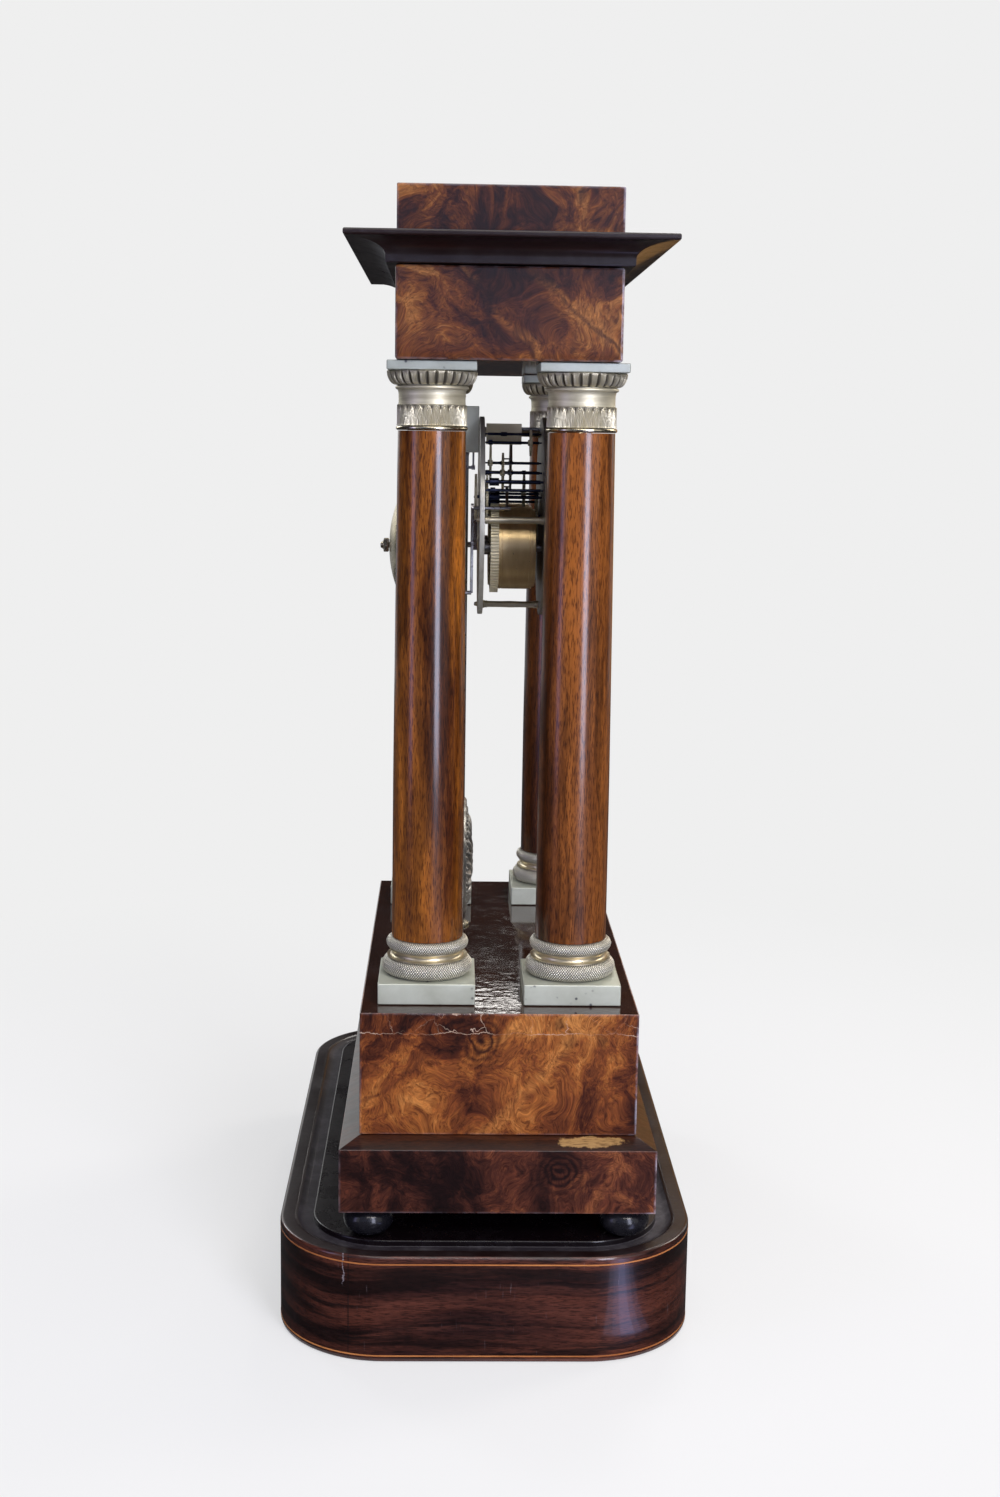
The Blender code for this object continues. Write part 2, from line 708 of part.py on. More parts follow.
def make_column_shaft(name, across, back):
    profile = [(0, SHAFT_HEIGHT)]
    for height_share, taper_share in SHAFT_TAPER_SHARES:
        diameter = SHAFT_FOOT_DIAMETER + (SHAFT_TOP_DIAMETER - SHAFT_FOOT_DIAMETER) * taper_share
        profile.append((diameter / 2, SEAT_GAP + (SHAFT_HEIGHT - SEAT_GAP) * height_share))
    profile.append((0, SEAT_GAP))
    shaft = turned("shaft_body", profile, COLUMN_SEGMENTS)
    stand_clock_piece(shaft, across, back, SHAFT_FOOT)
    finish_part(shaft, "column_shaft_" + name, ROSEWOOD)


def make_column_capital(name, across, back):
    leaf_foot = ASTRAGAL_HEIGHT
    neck_foot = leaf_foot + LEAF_BAND_HEIGHT
    collar_foot = neck_foot + NECK_HEIGHT
    ovolo_foot = collar_foot + COLLAR_HEIGHT
    abacus_foot = ovolo_foot + OVOLO_HEIGHT
    profile = [(0, abacus_foot + JOIN_DEPTH), (ABACUS_SQUARE / 2 - ARRIS, abacus_foot + JOIN_DEPTH)]
    for i in range(BULGE_STEPS + 1):
        angle = math.pi / 2 * i / BULGE_STEPS
        radius = COLLAR_DIAMETER / 2 + (OVOLO_DIAMETER - COLLAR_DIAMETER) / 2 * math.cos(angle)
        profile.append((radius, abacus_foot - OVOLO_HEIGHT * math.sin(angle)))
    profile += [(COLLAR_DIAMETER / 2, collar_foot), (NECK_DIAMETER / 2, collar_foot)]
    profile += [(NECK_DIAMETER / 2, neck_foot), (LEAF_BAND_DIAMETER / 2, neck_foot)]
    profile += [(LEAF_BAND_DIAMETER / 2, leaf_foot), (ASTRAGAL_DIAMETER / 2, leaf_foot)]
    profile += [(ASTRAGAL_DIAMETER / 2, SEAT_GAP), (0, SEAT_GAP)]
    bell = turned("capital_mouldings", profile, COLUMN_SEGMENTS)
    half = ABACUS_SQUARE / 2
    top = abacus_foot + ABACUS_HEIGHT
    abacus = box("abacus", (-half, -half, abacus_foot), (half, half, top))
    for piece in (bell, abacus):
        stand_clock_piece(piece, across, back, CAPITAL_FOOT)
    combine(bell, [abacus])
    finish_part(bell, "column_capital_" + name, GILT_BRASS)


def make_columns():
    for name, side_x, side_y in corner_names():
        make_column_base(name, side_x * COLUMN_ACROSS, side_y * COLUMN_BACK)
        make_column_shaft(name, side_x * COLUMN_ACROSS, side_y * COLUMN_BACK)
        make_column_capital(name, side_x * COLUMN_ACROSS, side_y * COLUMN_BACK)


def make_top():
    profile = [(0, SEAT_GAP), (0, ENTABLATURE_HEIGHT)]
    block = moulded_block("entablature_body", ENTABLATURE_LENGTH, ENTABLATURE_DEPTH, profile)
    stand_clock_piece(block, height=ENTABLATURE_FOOT)
    finish_part(block, "entablature", BURR_VENEER)
    slab_foot = CORNICE_HEIGHT - CORNICE_SLAB
    profile = [(CORNICE_FILLET_INSET, SEAT_GAP)]
    for i in range(CORNICE_STEPS + 1):
        angle = math.pi / 2 * i / CORNICE_STEPS
        reach = CORNICE_FILLET_INSET - CORNICE_LIP
        rise = slab_foot - CORNICE_FILLET_HEIGHT
        inset = CORNICE_FILLET_INSET - reach * (1 - math.cos(angle))
        profile.append((inset, CORNICE_FILLET_HEIGHT + rise * math.sin(angle)))
    profile += [(0, slab_foot + CORNICE_LIP), (0, CORNICE_HEIGHT - CORNICE_LIP / 2)]
    profile.append((CORNICE_LIP, CORNICE_HEIGHT))
    cornice = moulded_block("cornice_body", CORNICE_LENGTH, CORNICE_DEPTH, profile)
    stand_clock_piece(cornice, height=CORNICE_FOOT)
    finish_part(cornice, "cornice", EBONISED)
    profile = [(0, SEAT_GAP), (0, ATTIC_HEIGHT - ARRIS), (ARRIS, ATTIC_HEIGHT)]
    attic = moulded_block("attic_body", ATTIC_LENGTH, ATTIC_DEPTH, profile)
    stand_clock_piece(attic, height=ATTIC_FOOT)
    finish_part(attic, "attic_block", BURR_VENEER)


# Wheelwork


def pitch_radius(teeth, module):
    return teeth * module / 2


def mesh_distance(wheel_teeth, pinion_teeth, module):
    return pitch_radius(wheel_teeth, module) + pitch_radius(pinion_teeth, module)


def toothed_loop(teeth, module, phase):
    """Pointed teeth round a wheel, one of them at the angle phase."""
    tip = pitch_radius(teeth, module) + TIP_SHARE * module
    root = pitch_radius(teeth, module) - ROOT_SHARE * module
    points = []
    for i in range(teeth):
        angle = phase + math.tau * i / teeth
        gap_angle = angle + math.pi / teeth
        points.append((tip * math.cos(angle), tip * math.sin(angle)))
        points.append((root * math.cos(gap_angle), root * math.sin(gap_angle)))
    return points


def crossing_loops(rim_radius, hub_radius, count, phase):
    """The openings between the spokes of a crossed-out wheel."""
    loops = []
    for i in range(count):
        middle = phase + math.tau * (i + 0.5) / count
        loop = []
        for radius, turn_shares in ((rim_radius, (-1, -0.33, 0.33, 1)), (hub_radius, (1, -1))):
            half = math.pi / count - math.asin(SPOKE_WIDTH / 2 / radius)
            for share in turn_shares:
                angle = middle + half * share
                loop.append((radius * math.cos(angle), radius * math.sin(angle)))
        loops.append(loop)
    return loops


def wheel(name, teeth, module, low, thick, phase, crossings=0, rim_width=WHEEL_RIM):
    loops = [toothed_loop(teeth, module, phase)]
    if crossings:
        rim = pitch_radius(teeth, module) - ROOT_SHARE * module - rim_width
        loops += crossing_loops(rim, HUB_RADIUS, crossings, phase)
    return flat(name, loops, low, low + thick)


def pinion(name, leaves, module, low, thick, phase):
    """A pinion whose gap between two leaves faces the angle phase, wider than its wheel."""
    loop = toothed_loop(leaves, module, phase + math.pi / leaves)
    return flat(name, [loop], low - PINION_OVERHANG, low + thick + PINION_OVERHANG)


def going_places():
    barrel = (BARREL_ACROSS, -BARREL_DROP)
    centre = (0, 0)
    intermediate = meet(
        centre,
        mesh_distance(INTERMEDIATE_TEETH, CENTRE_PINION, INTERMEDIATE_MODULE),
        barrel,
        mesh_distance(BARREL_TEETH, BARREL_PINION, BARREL_MODULE),
    )
    third = away(centre, mesh_distance(CENTRE_TEETH, FINE_PINION, CENTRE_MODULE), THIRD_BEARING)
    escape = away(third, mesh_distance(THIRD_TEETH, FINE_PINION, THIRD_MODULE), ESCAPE_BEARING)
    return barrel, intermediate, centre, third, escape


def strike_places():
    barrel = (-BARREL_ACROSS, -BARREL_DROP)
    second = away(barrel, mesh_distance(BARREL_TEETH, BARREL_PINION, BARREL_MODULE), SECOND_BEARING)
    pins = away(second, mesh_distance(SECOND_TEETH, FINE_PINION, SECOND_MODULE), PIN_WHEEL_BEARING)
    locking = away(
        pins, mesh_distance(PIN_WHEEL_TEETH, FINE_PINION, PIN_WHEEL_MODULE), LOCKING_BEARING
    )
    warning = away(
        locking, mesh_distance(LOCKING_TEETH, WARNING_PINION, LOCKING_MODULE), WARNING_BEARING
    )
    fly = away(warning, mesh_distance(WARNING_TEETH, FINE_PINION, WARNING_MODULE), FLY_BEARING)
    return barrel, second, pins, locking, warning, fly


def make_barrel(name, place, next_place):
    toothed = wheel(
        name + "_teeth",
        BARREL_TEETH,
        BARREL_MODULE,
        GREAT_WHEEL_FROM,
        GREAT_WHEEL_THICK,
        bearing_of(place, next_place),
    )
    lid_back = DRUM_FRONT - DRUM_LID_THICK
    profile = [(0, DRUM_FRONT), (DRUM_RADIUS - DRUM_LID_INSET, DRUM_FRONT)]
    profile += [(DRUM_RADIUS - DRUM_LID_INSET, lid_back), (DRUM_RADIUS, lid_back)]
    drum_foot = GREAT_WHEEL_FROM + GREAT_WHEEL_THICK - JOIN_DEPTH
    profile += [(DRUM_RADIUS, drum_foot), (0, drum_foot)]
    drum = turned(name + "_drum", profile, DRUM_SEGMENTS)
    bore = rod(
        name + "_bore",
        BARREL_ARBOR_RADIUS + SEAT_GAP,
        GREAT_WHEEL_FROM - OVERRUN,
        DRUM_FRONT + OVERRUN,
        HOLE_SEGMENTS,
    )
    in_movement([drum, toothed, bore], place)
    combine(drum, [toothed])
    combine(drum, [bore], "DIFFERENCE")
    finish_part(drum, name, WHEEL_BRASS)


def ratchet_loop():
    points = []
    for i in range(RATCHET_TEETH):
        angle = math.tau * i / RATCHET_TEETH
        for radius in (RATCHET_RADIUS, RATCHET_RADIUS - RATCHET_DEPTH):
            points.append((radius * math.cos(angle), radius * math.sin(angle)))
    return points


def make_winding_arbor(name, place):
    ratchet_from = FRONT_FACE + SEAT_GAP
    square_to = DIAL_FACE + HOUR_HAND_ABOVE_DIAL
    square_from = square_to - WINDING_SQUARE_LENGTH
    profile = [(0, square_from), (WINDING_NECK_RADIUS, square_from)]
    profile += [(WINDING_NECK_RADIUS, DRUM_FRONT), (BARREL_ARBOR_RADIUS, DRUM_FRONT)]
    profile += [(BARREL_ARBOR_RADIUS, SHOULDER_TO), (SHOULDER_RADIUS, SHOULDER_TO)]
    profile += [(SHOULDER_RADIUS, INSIDE_FROM), (0, INSIDE_FROM)]
    arbor = turned(name + "_body", profile, HOLE_SEGMENTS)
    half = WINDING_SQUARE / 2
    square = box(
        name + "_square", (-half, -half, square_from - JOIN_DEPTH), (half, half, square_to)
    )
    ratchet = flat(name + "_ratchet", [ratchet_loop()], ratchet_from, ratchet_from + RATCHET_THICK)
    in_movement([arbor, square, ratchet], place)
    combine(arbor, [square, ratchet])
    finish_part(arbor, name, BRIGHT_STEEL)


def make_click(name, place):
    """A pawl that lies along the ratchet, its nose beside a tooth, turning on its screw."""
    click_from = FRONT_FACE + SEAT_GAP
    reach = RATCHET_RADIUS + SEAT_GAP + CLICK_WIDTH / 2
    start = away((0, 0), reach, CLICK_BEARING)
    nose = (start[0] - CLICK_LENGTH, start[1])
    body = flat(
        name + "_body", [bar_outline((0, 0), (nose[0] - start[0], 0), CLICK_WIDTH)],
        click_from, click_from + RATCHET_THICK,
    )
    head = rod(
        name + "_screw", CLICK_WIDTH / 2 + SEAT_GAP, click_from,
        click_from + RATCHET_THICK + CLICK_STUD_RADIUS, HOLE_SEGMENTS,
    )
    in_movement([head, body], (place[0] + start[0], place[1] + start[1]))
    combine(head, [body])
    finish_part(head, name, BLUED_STEEL)


def make_wheel_arbor(name, place, parts, low=INSIDE_FROM, high=INSIDE_TO, radius=ARBOR_RADIUS,
                     finish=WHEEL_BRASS):
    """Joins wheels and pinions to their arbor, which runs between the two depths."""
    arbor = rod(name + "_arbor", radius, low, high)
    in_movement([arbor] + parts, place)
    combine(arbor, parts)
    finish_part(arbor, name, finish)


def make_going_train():
    barrel, intermediate, centre, third, escape = going_places()
    make_barrel("going_barrel", barrel, intermediate)
    make_winding_arbor("going_winding_arbor", barrel)
    make_click("going_click", barrel)
    parts = [
        wheel(
            "intermediate_wheel", INTERMEDIATE_TEETH, INTERMEDIATE_MODULE, LOW_WHEEL_FROM,
            WHEEL_THICK, bearing_of(intermediate, centre), LARGE_CROSSINGS,
        ),
        pinion(
            "intermediate_pinion", BARREL_PINION, BARREL_MODULE, GREAT_WHEEL_FROM,
            GREAT_WHEEL_THICK, bearing_of(intermediate, barrel),
        ),
    ]
    make_wheel_arbor("going_intermediate_wheel", intermediate, parts)
    parts = [
        wheel(
            "centre_teeth", CENTRE_TEETH, CENTRE_MODULE, CENTRE_WHEEL_FROM, WHEEL_THICK,
            bearing_of(centre, third), LARGE_CROSSINGS,
        ),
        pinion(
            "centre_pinion", CENTRE_PINION, INTERMEDIATE_MODULE, LOW_WHEEL_FROM, WHEEL_THICK,
            bearing_of(centre, intermediate),
        ),
    ]
    arbor_end = MINUTE_HAND_FROM + HAND_THICK + SEAT_GAP
    make_wheel_arbor(
        "centre_wheel", centre, parts, high=arbor_end, radius=HEAVY_ARBOR_RADIUS
    )
    parts = [
        wheel(
            "third_teeth", THIRD_TEETH, THIRD_MODULE, THIRD_WHEEL_FROM, WHEEL_THICK,
            bearing_of(third, escape), SMALL_CROSSINGS,
        ),
        pinion(
            "third_pinion", FINE_PINION, CENTRE_MODULE, CENTRE_WHEEL_FROM, WHEEL_THICK,
            bearing_of(third, centre),
        ),
    ]
    make_wheel_arbor("third_wheel", third, parts)
    parts = [
        flat(
            "escape_teeth", [escape_loop()] + crossing_loops(
                ESCAPE_RADIUS - ESCAPE_TOOTH_DEPTH - WHEEL_RIM, HUB_RADIUS, SMALL_CROSSINGS,
                ESCAPE_CROSSING_TURN,
            ),
            ESCAPE_WHEEL_FROM, ESCAPE_WHEEL_FROM + WHEEL_THICK,
        ),
        pinion(
            "escape_pinion", FINE_PINION, THIRD_MODULE, THIRD_WHEEL_FROM, WHEEL_THICK,
            bearing_of(escape, third),
        ),
    ]
    make_wheel_arbor("escape_wheel", escape, parts)


def escape_loop():
    """Slender leaning teeth, each a tip and a root that lags behind it."""
    points = []
    for i in range(ESCAPE_TEETH):
        angle = math.pi / 2 + math.tau * i / ESCAPE_TEETH
        lag = math.tau / ESCAPE_TEETH * ESCAPE_LEAN_SHARE
        root = ESCAPE_RADIUS - ESCAPE_TOOTH_DEPTH
        points.append((ESCAPE_RADIUS * math.cos(angle), ESCAPE_RADIUS * math.sin(angle)))
        points.append((root * math.cos(angle + lag), root * math.sin(angle + lag)))
    return points


def make_strike_train():
    barrel, second, pins, locking, warning, fly = strike_places()
    make_barrel("strike_barrel", barrel, second)
    make_winding_arbor("strike_winding_arbor", barrel)
    make_click("strike_click", barrel)
    parts = [
        wheel(
            "second_teeth", SECOND_TEETH, SECOND_MODULE, LOW_WHEEL_FROM, WHEEL_THICK,
            bearing_of(second, pins), LARGE_CROSSINGS,
        ),
        pinion(
            "second_pinion", BARREL_PINION, BARREL_MODULE, GREAT_WHEEL_FROM, GREAT_WHEEL_THICK,
            bearing_of(second, barrel),
        ),
    ]
    count_rear = -(COUNT_BEHIND + COUNT_THICK)
    make_wheel_arbor(
        "strike_second_wheel", second, parts, low=count_rear - SEAT_GAP,
        radius=HEAVY_ARBOR_RADIUS,
    )
    parts = [
        wheel(
            "pin_wheel_teeth", PIN_WHEEL_TEETH, PIN_WHEEL_MODULE, PIN_WHEEL_FROM, WHEEL_THICK,
            bearing_of(pins, locking), SMALL_CROSSINGS, PIN_WHEEL_RIM,
        ),
        pinion(
            "pin_wheel_pinion", FINE_PINION, SECOND_MODULE, LOW_WHEEL_FROM, WHEEL_THICK,
            bearing_of(pins, second),
        ),
    ]
    for i in range(PIN_COUNT):
        at = away((0, 0), PIN_CIRCLE, 360 * i / PIN_COUNT)
        low = PIN_WHEEL_FROM + WHEEL_THICK - JOIN_DEPTH
        parts.append(rod("lifting_pin", PIN_RADIUS, low, low + PIN_LENGTH, PIN_SEGMENTS, at))
    make_wheel_arbor("strike_pin_wheel", pins, parts)
    parts = [
        wheel(
            "locking_teeth", LOCKING_TEETH, LOCKING_MODULE, LOCKING_WHEEL_FROM, WHEEL_THICK,
            bearing_of(locking, warning), SMALL_CROSSINGS,
        ),
        pinion(
            "locking_pinion", FINE_PINION, PIN_WHEEL_MODULE, PIN_WHEEL_FROM, WHEEL_THICK,
            bearing_of(locking, pins),
        ),
    ]
    make_wheel_arbor("strike_locking_wheel", locking, parts)
    parts = [
        wheel(
            "warning_teeth", WARNING_TEETH, WARNING_MODULE, WARNING_WHEEL_FROM, WHEEL_THICK,
            bearing_of(warning, fly), SMALL_CROSSINGS,
        ),
        pinion(
            "warning_pinion", WARNING_PINION, LOCKING_MODULE, LOCKING_WHEEL_FROM, WHEEL_THICK,
            bearing_of(warning, locking),
        ),
    ]
    make_wheel_arbor("strike_warning_wheel", warning, parts)
    make_fly(fly, warning)


def make_fly(place, warning):
    crossbar = (FLY_FROM + FLY_TO) / 2
    vane = box(
        "fly_vane", (-FLY_THICK / 2, -FLY_HALF_HEIGHT, FLY_FROM),
        (FLY_THICK / 2, FLY_HALF_HEIGHT, FLY_TO),
    )
    collar = rod(
        "fly_collar", FLY_CROSSBAR_RADIUS, crossbar - FLY_CROSSBAR_RADIUS,
        crossbar + FLY_CROSSBAR_RADIUS,
    )
    leaves = pinion(
        "fly_pinion", FINE_PINION, WARNING_MODULE, WARNING_WHEEL_FROM, WHEEL_THICK,
        bearing_of(place, warning),
    )
    make_wheel_arbor("fly", place, [vane, collar, leaves])


def count_wheel_loop():
    """Raised lands of growing length, one for each hour's blows, with notches between them."""
    blows = sum(range(1, HOURS + 1)) + HOURS
    step = math.tau / blows
    points = []
    angle = 0
    for hour in range(1, HOURS + 1):
        land = (hour - 1) * step
        if land:
            arcs = max(1, round(land / (3 * step)))
            for i in range(arcs + 1):
                turn = angle + land * i / arcs
                points.append((COUNT_RADIUS * math.cos(turn), COUNT_RADIUS * math.sin(turn)))
            angle += land
        root = COUNT_RADIUS - COUNT_NOTCH
        for share in (0, 1):
            turn = angle + 2 * step * share
            points.append((root * math.cos(turn), root * math.sin(turn)))
        angle += 2 * step
    return points


def make_count_wheel():
    second = strike_places()[1]
    hole = circle(HEAVY_ARBOR_RADIUS + SEAT_GAP, ARBOR_SEGMENTS)
    low = -(COUNT_BEHIND + COUNT_THICK)
    disc = flat("count_disc", [count_wheel_loop(), hole], low, low + COUNT_THICK)
    in_movement([disc], second)
    finish_part(disc, "count_wheel", WHEEL_BRASS)


# Escapement


def make_pallets():
    """An anchor that spans the escape wheel, and the crutch that takes its beat to the rod."""
    escape = going_places()[4]
    pivot = (escape[0], PALLET_RISE)
    span = pivot[1] - escape[1]
    half_spread = math.asin(ESCAPE_RADIUS / span)
    reach = math.sqrt(span**2 - ESCAPE_RADIUS**2)
    tip_radius = ESCAPE_RADIUS + ANCHOR_CLEARANCE
    pieces = [
        rod(
            "pallet_hub", ANCHOR_HUB_RADIUS, ESCAPE_WHEEL_FROM - JOIN_DEPTH,
            ESCAPE_WHEEL_FROM + ANCHOR_THICK + JOIN_DEPTH,
        )
    ]
    for side in (-1, 1):
        outward = Vector((side * math.sin(half_spread), -math.cos(half_spread)))
        sideways = Vector((side * math.cos(half_spread), math.sin(half_spread)))
        elbow = outward * reach + sideways * (ANCHOR_CLEARANCE + PALLET_LENGTH)
        wheel_centre = Vector((0, -span))
        toward = (elbow - wheel_centre).normalized()
        tip = wheel_centre + toward * tip_radius
        pad_root = elbow + toward * PALLET_LENGTH
        for start, end, proud in (((0, 0), elbow, 0), (pad_root, tip, JOIN_DEPTH / 2)):
            pieces.append(flat(
                "pallet_arm", [bar_outline(start, end, ANCHOR_ARM_WIDTH)],
                ESCAPE_WHEEL_FROM - proud, ESCAPE_WHEEL_FROM + ANCHOR_THICK + proud,
            ))
    crutch_rear = -CRUTCH_FROM
    crutch = flat(
        "crutch_arm", [bar_outline((0, 0), (0, -CRUTCH_DROP), CRUTCH_WIDTH)],
        crutch_rear, crutch_rear + CRUTCH_THICK,
    )
    fork_front = crutch_rear + CRUTCH_THICK + JOIN_DEPTH
    fork_low = (-FORK_WIDTH / 2, -CRUTCH_DROP - FORK_HEIGHT / 2, crutch_rear - JOIN_DEPTH)
    fork_high = (FORK_WIDTH / 2, -CRUTCH_DROP + FORK_HEIGHT / 2, fork_front)
    pieces += [crutch, box("fork_bridge", fork_low, fork_high)]
    for side in (-1, 1):
        outer = side * (FORK_WIDTH - JOIN_DEPTH) / 2
        inner = side * (FORK_WIDTH / 2 - FORK_PRONG)
        low = (min(outer, inner), fork_low[1] + JOIN_DEPTH, crutch_rear - FORK_REACH)
        high = (max(outer, inner), fork_high[1] - JOIN_DEPTH, crutch_rear + JOIN_DEPTH)
        pieces.append(box("fork_prong", low, high))
    arbor = rod("pallet_arbor", HEAVY_ARBOR_RADIUS, crutch_rear - SEAT_GAP, INSIDE_TO)
    in_movement([arbor] + pieces, pivot)
    combine(arbor, pieces)
    finish_part(arbor, "pallets", BLUED_STEEL)


def make_suspension():
    """The cock behind the back plate, open below for the crutch, and the spring in its cheek."""
    pivot = PALLET_RISE
    low, high = pivot - COCK_DROP, pivot + COCK_RISE
    slot_top = pivot + COCK_SLOT_TOP
    outlines = []
    for half_slot in (COCK_SLOT_HALF, CHEEK_SLOT_HALF):
        outlines.append([
            (-COCK_HALF_WIDTH, low), (-half_slot, low), (-half_slot, slot_top),
            (half_slot, slot_top), (half_slot, low), (COCK_HALF_WIDTH, low),
            (COCK_HALF_WIDTH, high), (-COCK_HALF_WIDTH, high),
        ])
    block_rear = -(SEAT_GAP + COCK_THICK)
    block = flat("cock_block", [outlines[0]], block_rear, -SEAT_GAP)
    cheek = flat(
        "cock_cheek", [outlines[1]], block_rear - CHEEK_THICK, block_rear + JOIN_DEPTH
    )
    in_movement([block, cheek], (0, 0))
    combine(block, [cheek])
    finish_part(block, "suspension_cock", GILT_BRASS)


def pendulum_piece(obj):
    obj.location = on_base(0, ROD_BACK, PLATFORM + CENTRE_HEIGHT + PALLET_RISE)
    return obj


def make_pendulum():
    """Spring, rod, bob and rating nut, all hung from the point where the spring bends."""
    spring_top = COCK_SLOT_TOP - SEAT_GAP
    hook_top = -ROD_TOP_DROP + HOOK_HEIGHT
    strip = box(
        "spring_strip", (-SPRING_THICK / 2, -SPRING_WIDTH / 2, hook_top + SEAT_GAP),
        (SPRING_THICK / 2, SPRING_WIDTH / 2, spring_top),
    )
    half = SPRING_BLOCK / 2
    block = box(
        "spring_block", (-half, -SPRING_WIDTH / 2 - SPRING_THICK, spring_top - SPRING_BLOCK_HEIGHT),
        (half, SPRING_WIDTH / 2 + SPRING_THICK, spring_top),
    )
    combine(pendulum_piece(strip), [pendulum_piece(block)])
    finish_part(strip, "suspension_spring", BLUED_STEEL)
    bob_bottom = -BOB_DROP - BOB_RADIUS
    stem = rod("rod_stem", ROD_RADIUS, bob_bottom - ROD_BELOW_BOB, hook_top - HOOK_DEPTH)
    hook = box(
        "rod_hook", (-HOOK_HALF_WIDTH, -HOOK_DEPTH / 2, -ROD_TOP_DROP),
        (HOOK_HALF_WIDTH, HOOK_DEPTH / 2, hook_top),
    )
    combine(pendulum_piece(hook), [pendulum_piece(stem)])
    finish_part(hook, "pendulum_rod", BRIGHT_STEEL)
    make_bob()
    nut_top = bob_bottom - SEAT_GAP
    profile = [(ROD_RADIUS + SEAT_GAP, nut_top), (NUT_RADIUS, nut_top)]
    profile += [(NUT_RADIUS, nut_top - NUT_THICK), (ROD_RADIUS + SEAT_GAP, nut_top - NUT_THICK)]
    nut = turned("nut_body", profile, HOLE_SEGMENTS, ring=True)
    pendulum_piece(nut)
    finish_part(nut, "rating_nut", GILT_BRASS)


def make_bob():
    """A dished disc with a raised middle, bored from top to bottom for the rod."""
    middle = ROD_BACK
    front, back = middle - BOB_FRONT, BOB_BACK - middle
    profile = [(BOB_RADIUS * out, front * rise) for out, rise in BOB_FRONT_SHARES]
    profile += [(BOB_RADIUS, BOB_RIM / 2), (BOB_RADIUS, -BOB_RIM / 2)]
    profile += [(BOB_RADIUS * out, -back * rise) for out, rise in BOB_BACK_SHARES]
    disc = turned("bob_disc", profile, BOB_SEGMENTS)
    disc.rotation_euler = (math.pi / 2, 0, 0)
    height = PLATFORM + CENTRE_HEIGHT + PALLET_RISE - BOB_DROP
    disc.location = on_base(0, ROD_BACK, height)
    bore = rod(
        "bob_bore", ROD_RADIUS + SEAT_GAP, -BOB_RADIUS - OVERRUN, BOB_RADIUS + OVERRUN
    )
    bore.location = disc.location
    combine(disc, [bore], "DIFFERENCE")
    finish_part(disc, "pendulum_bob", SILVERED)


# Plates, dial and hands


def make_plates():
    second = strike_places()[1]
    hammer = (HAMMER_ACROSS, HAMMER_RISE)
    pallet_pivot = (going_places()[4][0], PALLET_RISE)
    loops = [circle(PLATE_RADIUS, PLATE_SEGMENTS)]
    holes = [(away((0, 0), PILLAR_CIRCLE, b), PILLAR_SPIGOT_RADIUS) for b in PILLAR_BEARINGS]
    holes += [(second, HEAVY_ARBOR_RADIUS), (hammer, HAMMER_ARBOR_RADIUS)]
    loops += [circle(radius + SEAT_GAP, HOLE_SEGMENTS, at) for at, radius in holes]
    loops.append(circle(PALLET_HOLE_RADIUS, HOLE_SEGMENTS, pallet_pivot))
    back = flat("back_plate_body", loops, 0, PLATE_THICK)
    in_movement([back], (0, 0))
    finish_part(back, "back_plate", PLATE_BRASS)
    loops = [circle(PLATE_RADIUS, PLATE_SEGMENTS)]
    loops.append(circle(HEAVY_ARBOR_RADIUS + SEAT_GAP, HOLE_SEGMENTS))
    for side in (-1, 1):
        place = (side * BARREL_ACROSS, -BARREL_DROP)
        loops.append(circle(WINDING_NECK_RADIUS + SEAT_GAP, HOLE_SEGMENTS, place))
    front = flat("front_plate_body", loops, FRONT_PLATE_FROM, FRONT_FACE)
    pillars = []
    for bearing in PILLAR_BEARINGS:
        profile = [(0, FRONT_PLATE_FROM + JOIN_DEPTH), (PILLAR_RADIUS, FRONT_PLATE_FROM + JOIN_DEPTH)]
        profile += [(PILLAR_RADIUS, INSIDE_FROM), (PILLAR_SPIGOT_RADIUS, INSIDE_FROM)]
        profile += [(PILLAR_SPIGOT_RADIUS, -SEAT_GAP), (PILLAR_SPIGOT_RADIUS / 2, -PILLAR_TAIL)]
        profile.append((0, -PILLAR_TAIL))
        pillar = turned("pillar", profile, HOLE_SEGMENTS)
        in_movement([pillar], away((0, 0), PILLAR_CIRCLE, bearing))
        pillars.append(pillar)
    in_movement([front], (0, 0))
    combine(front, pillars)
    finish_part(front, "front_plate", PLATE_BRASS)


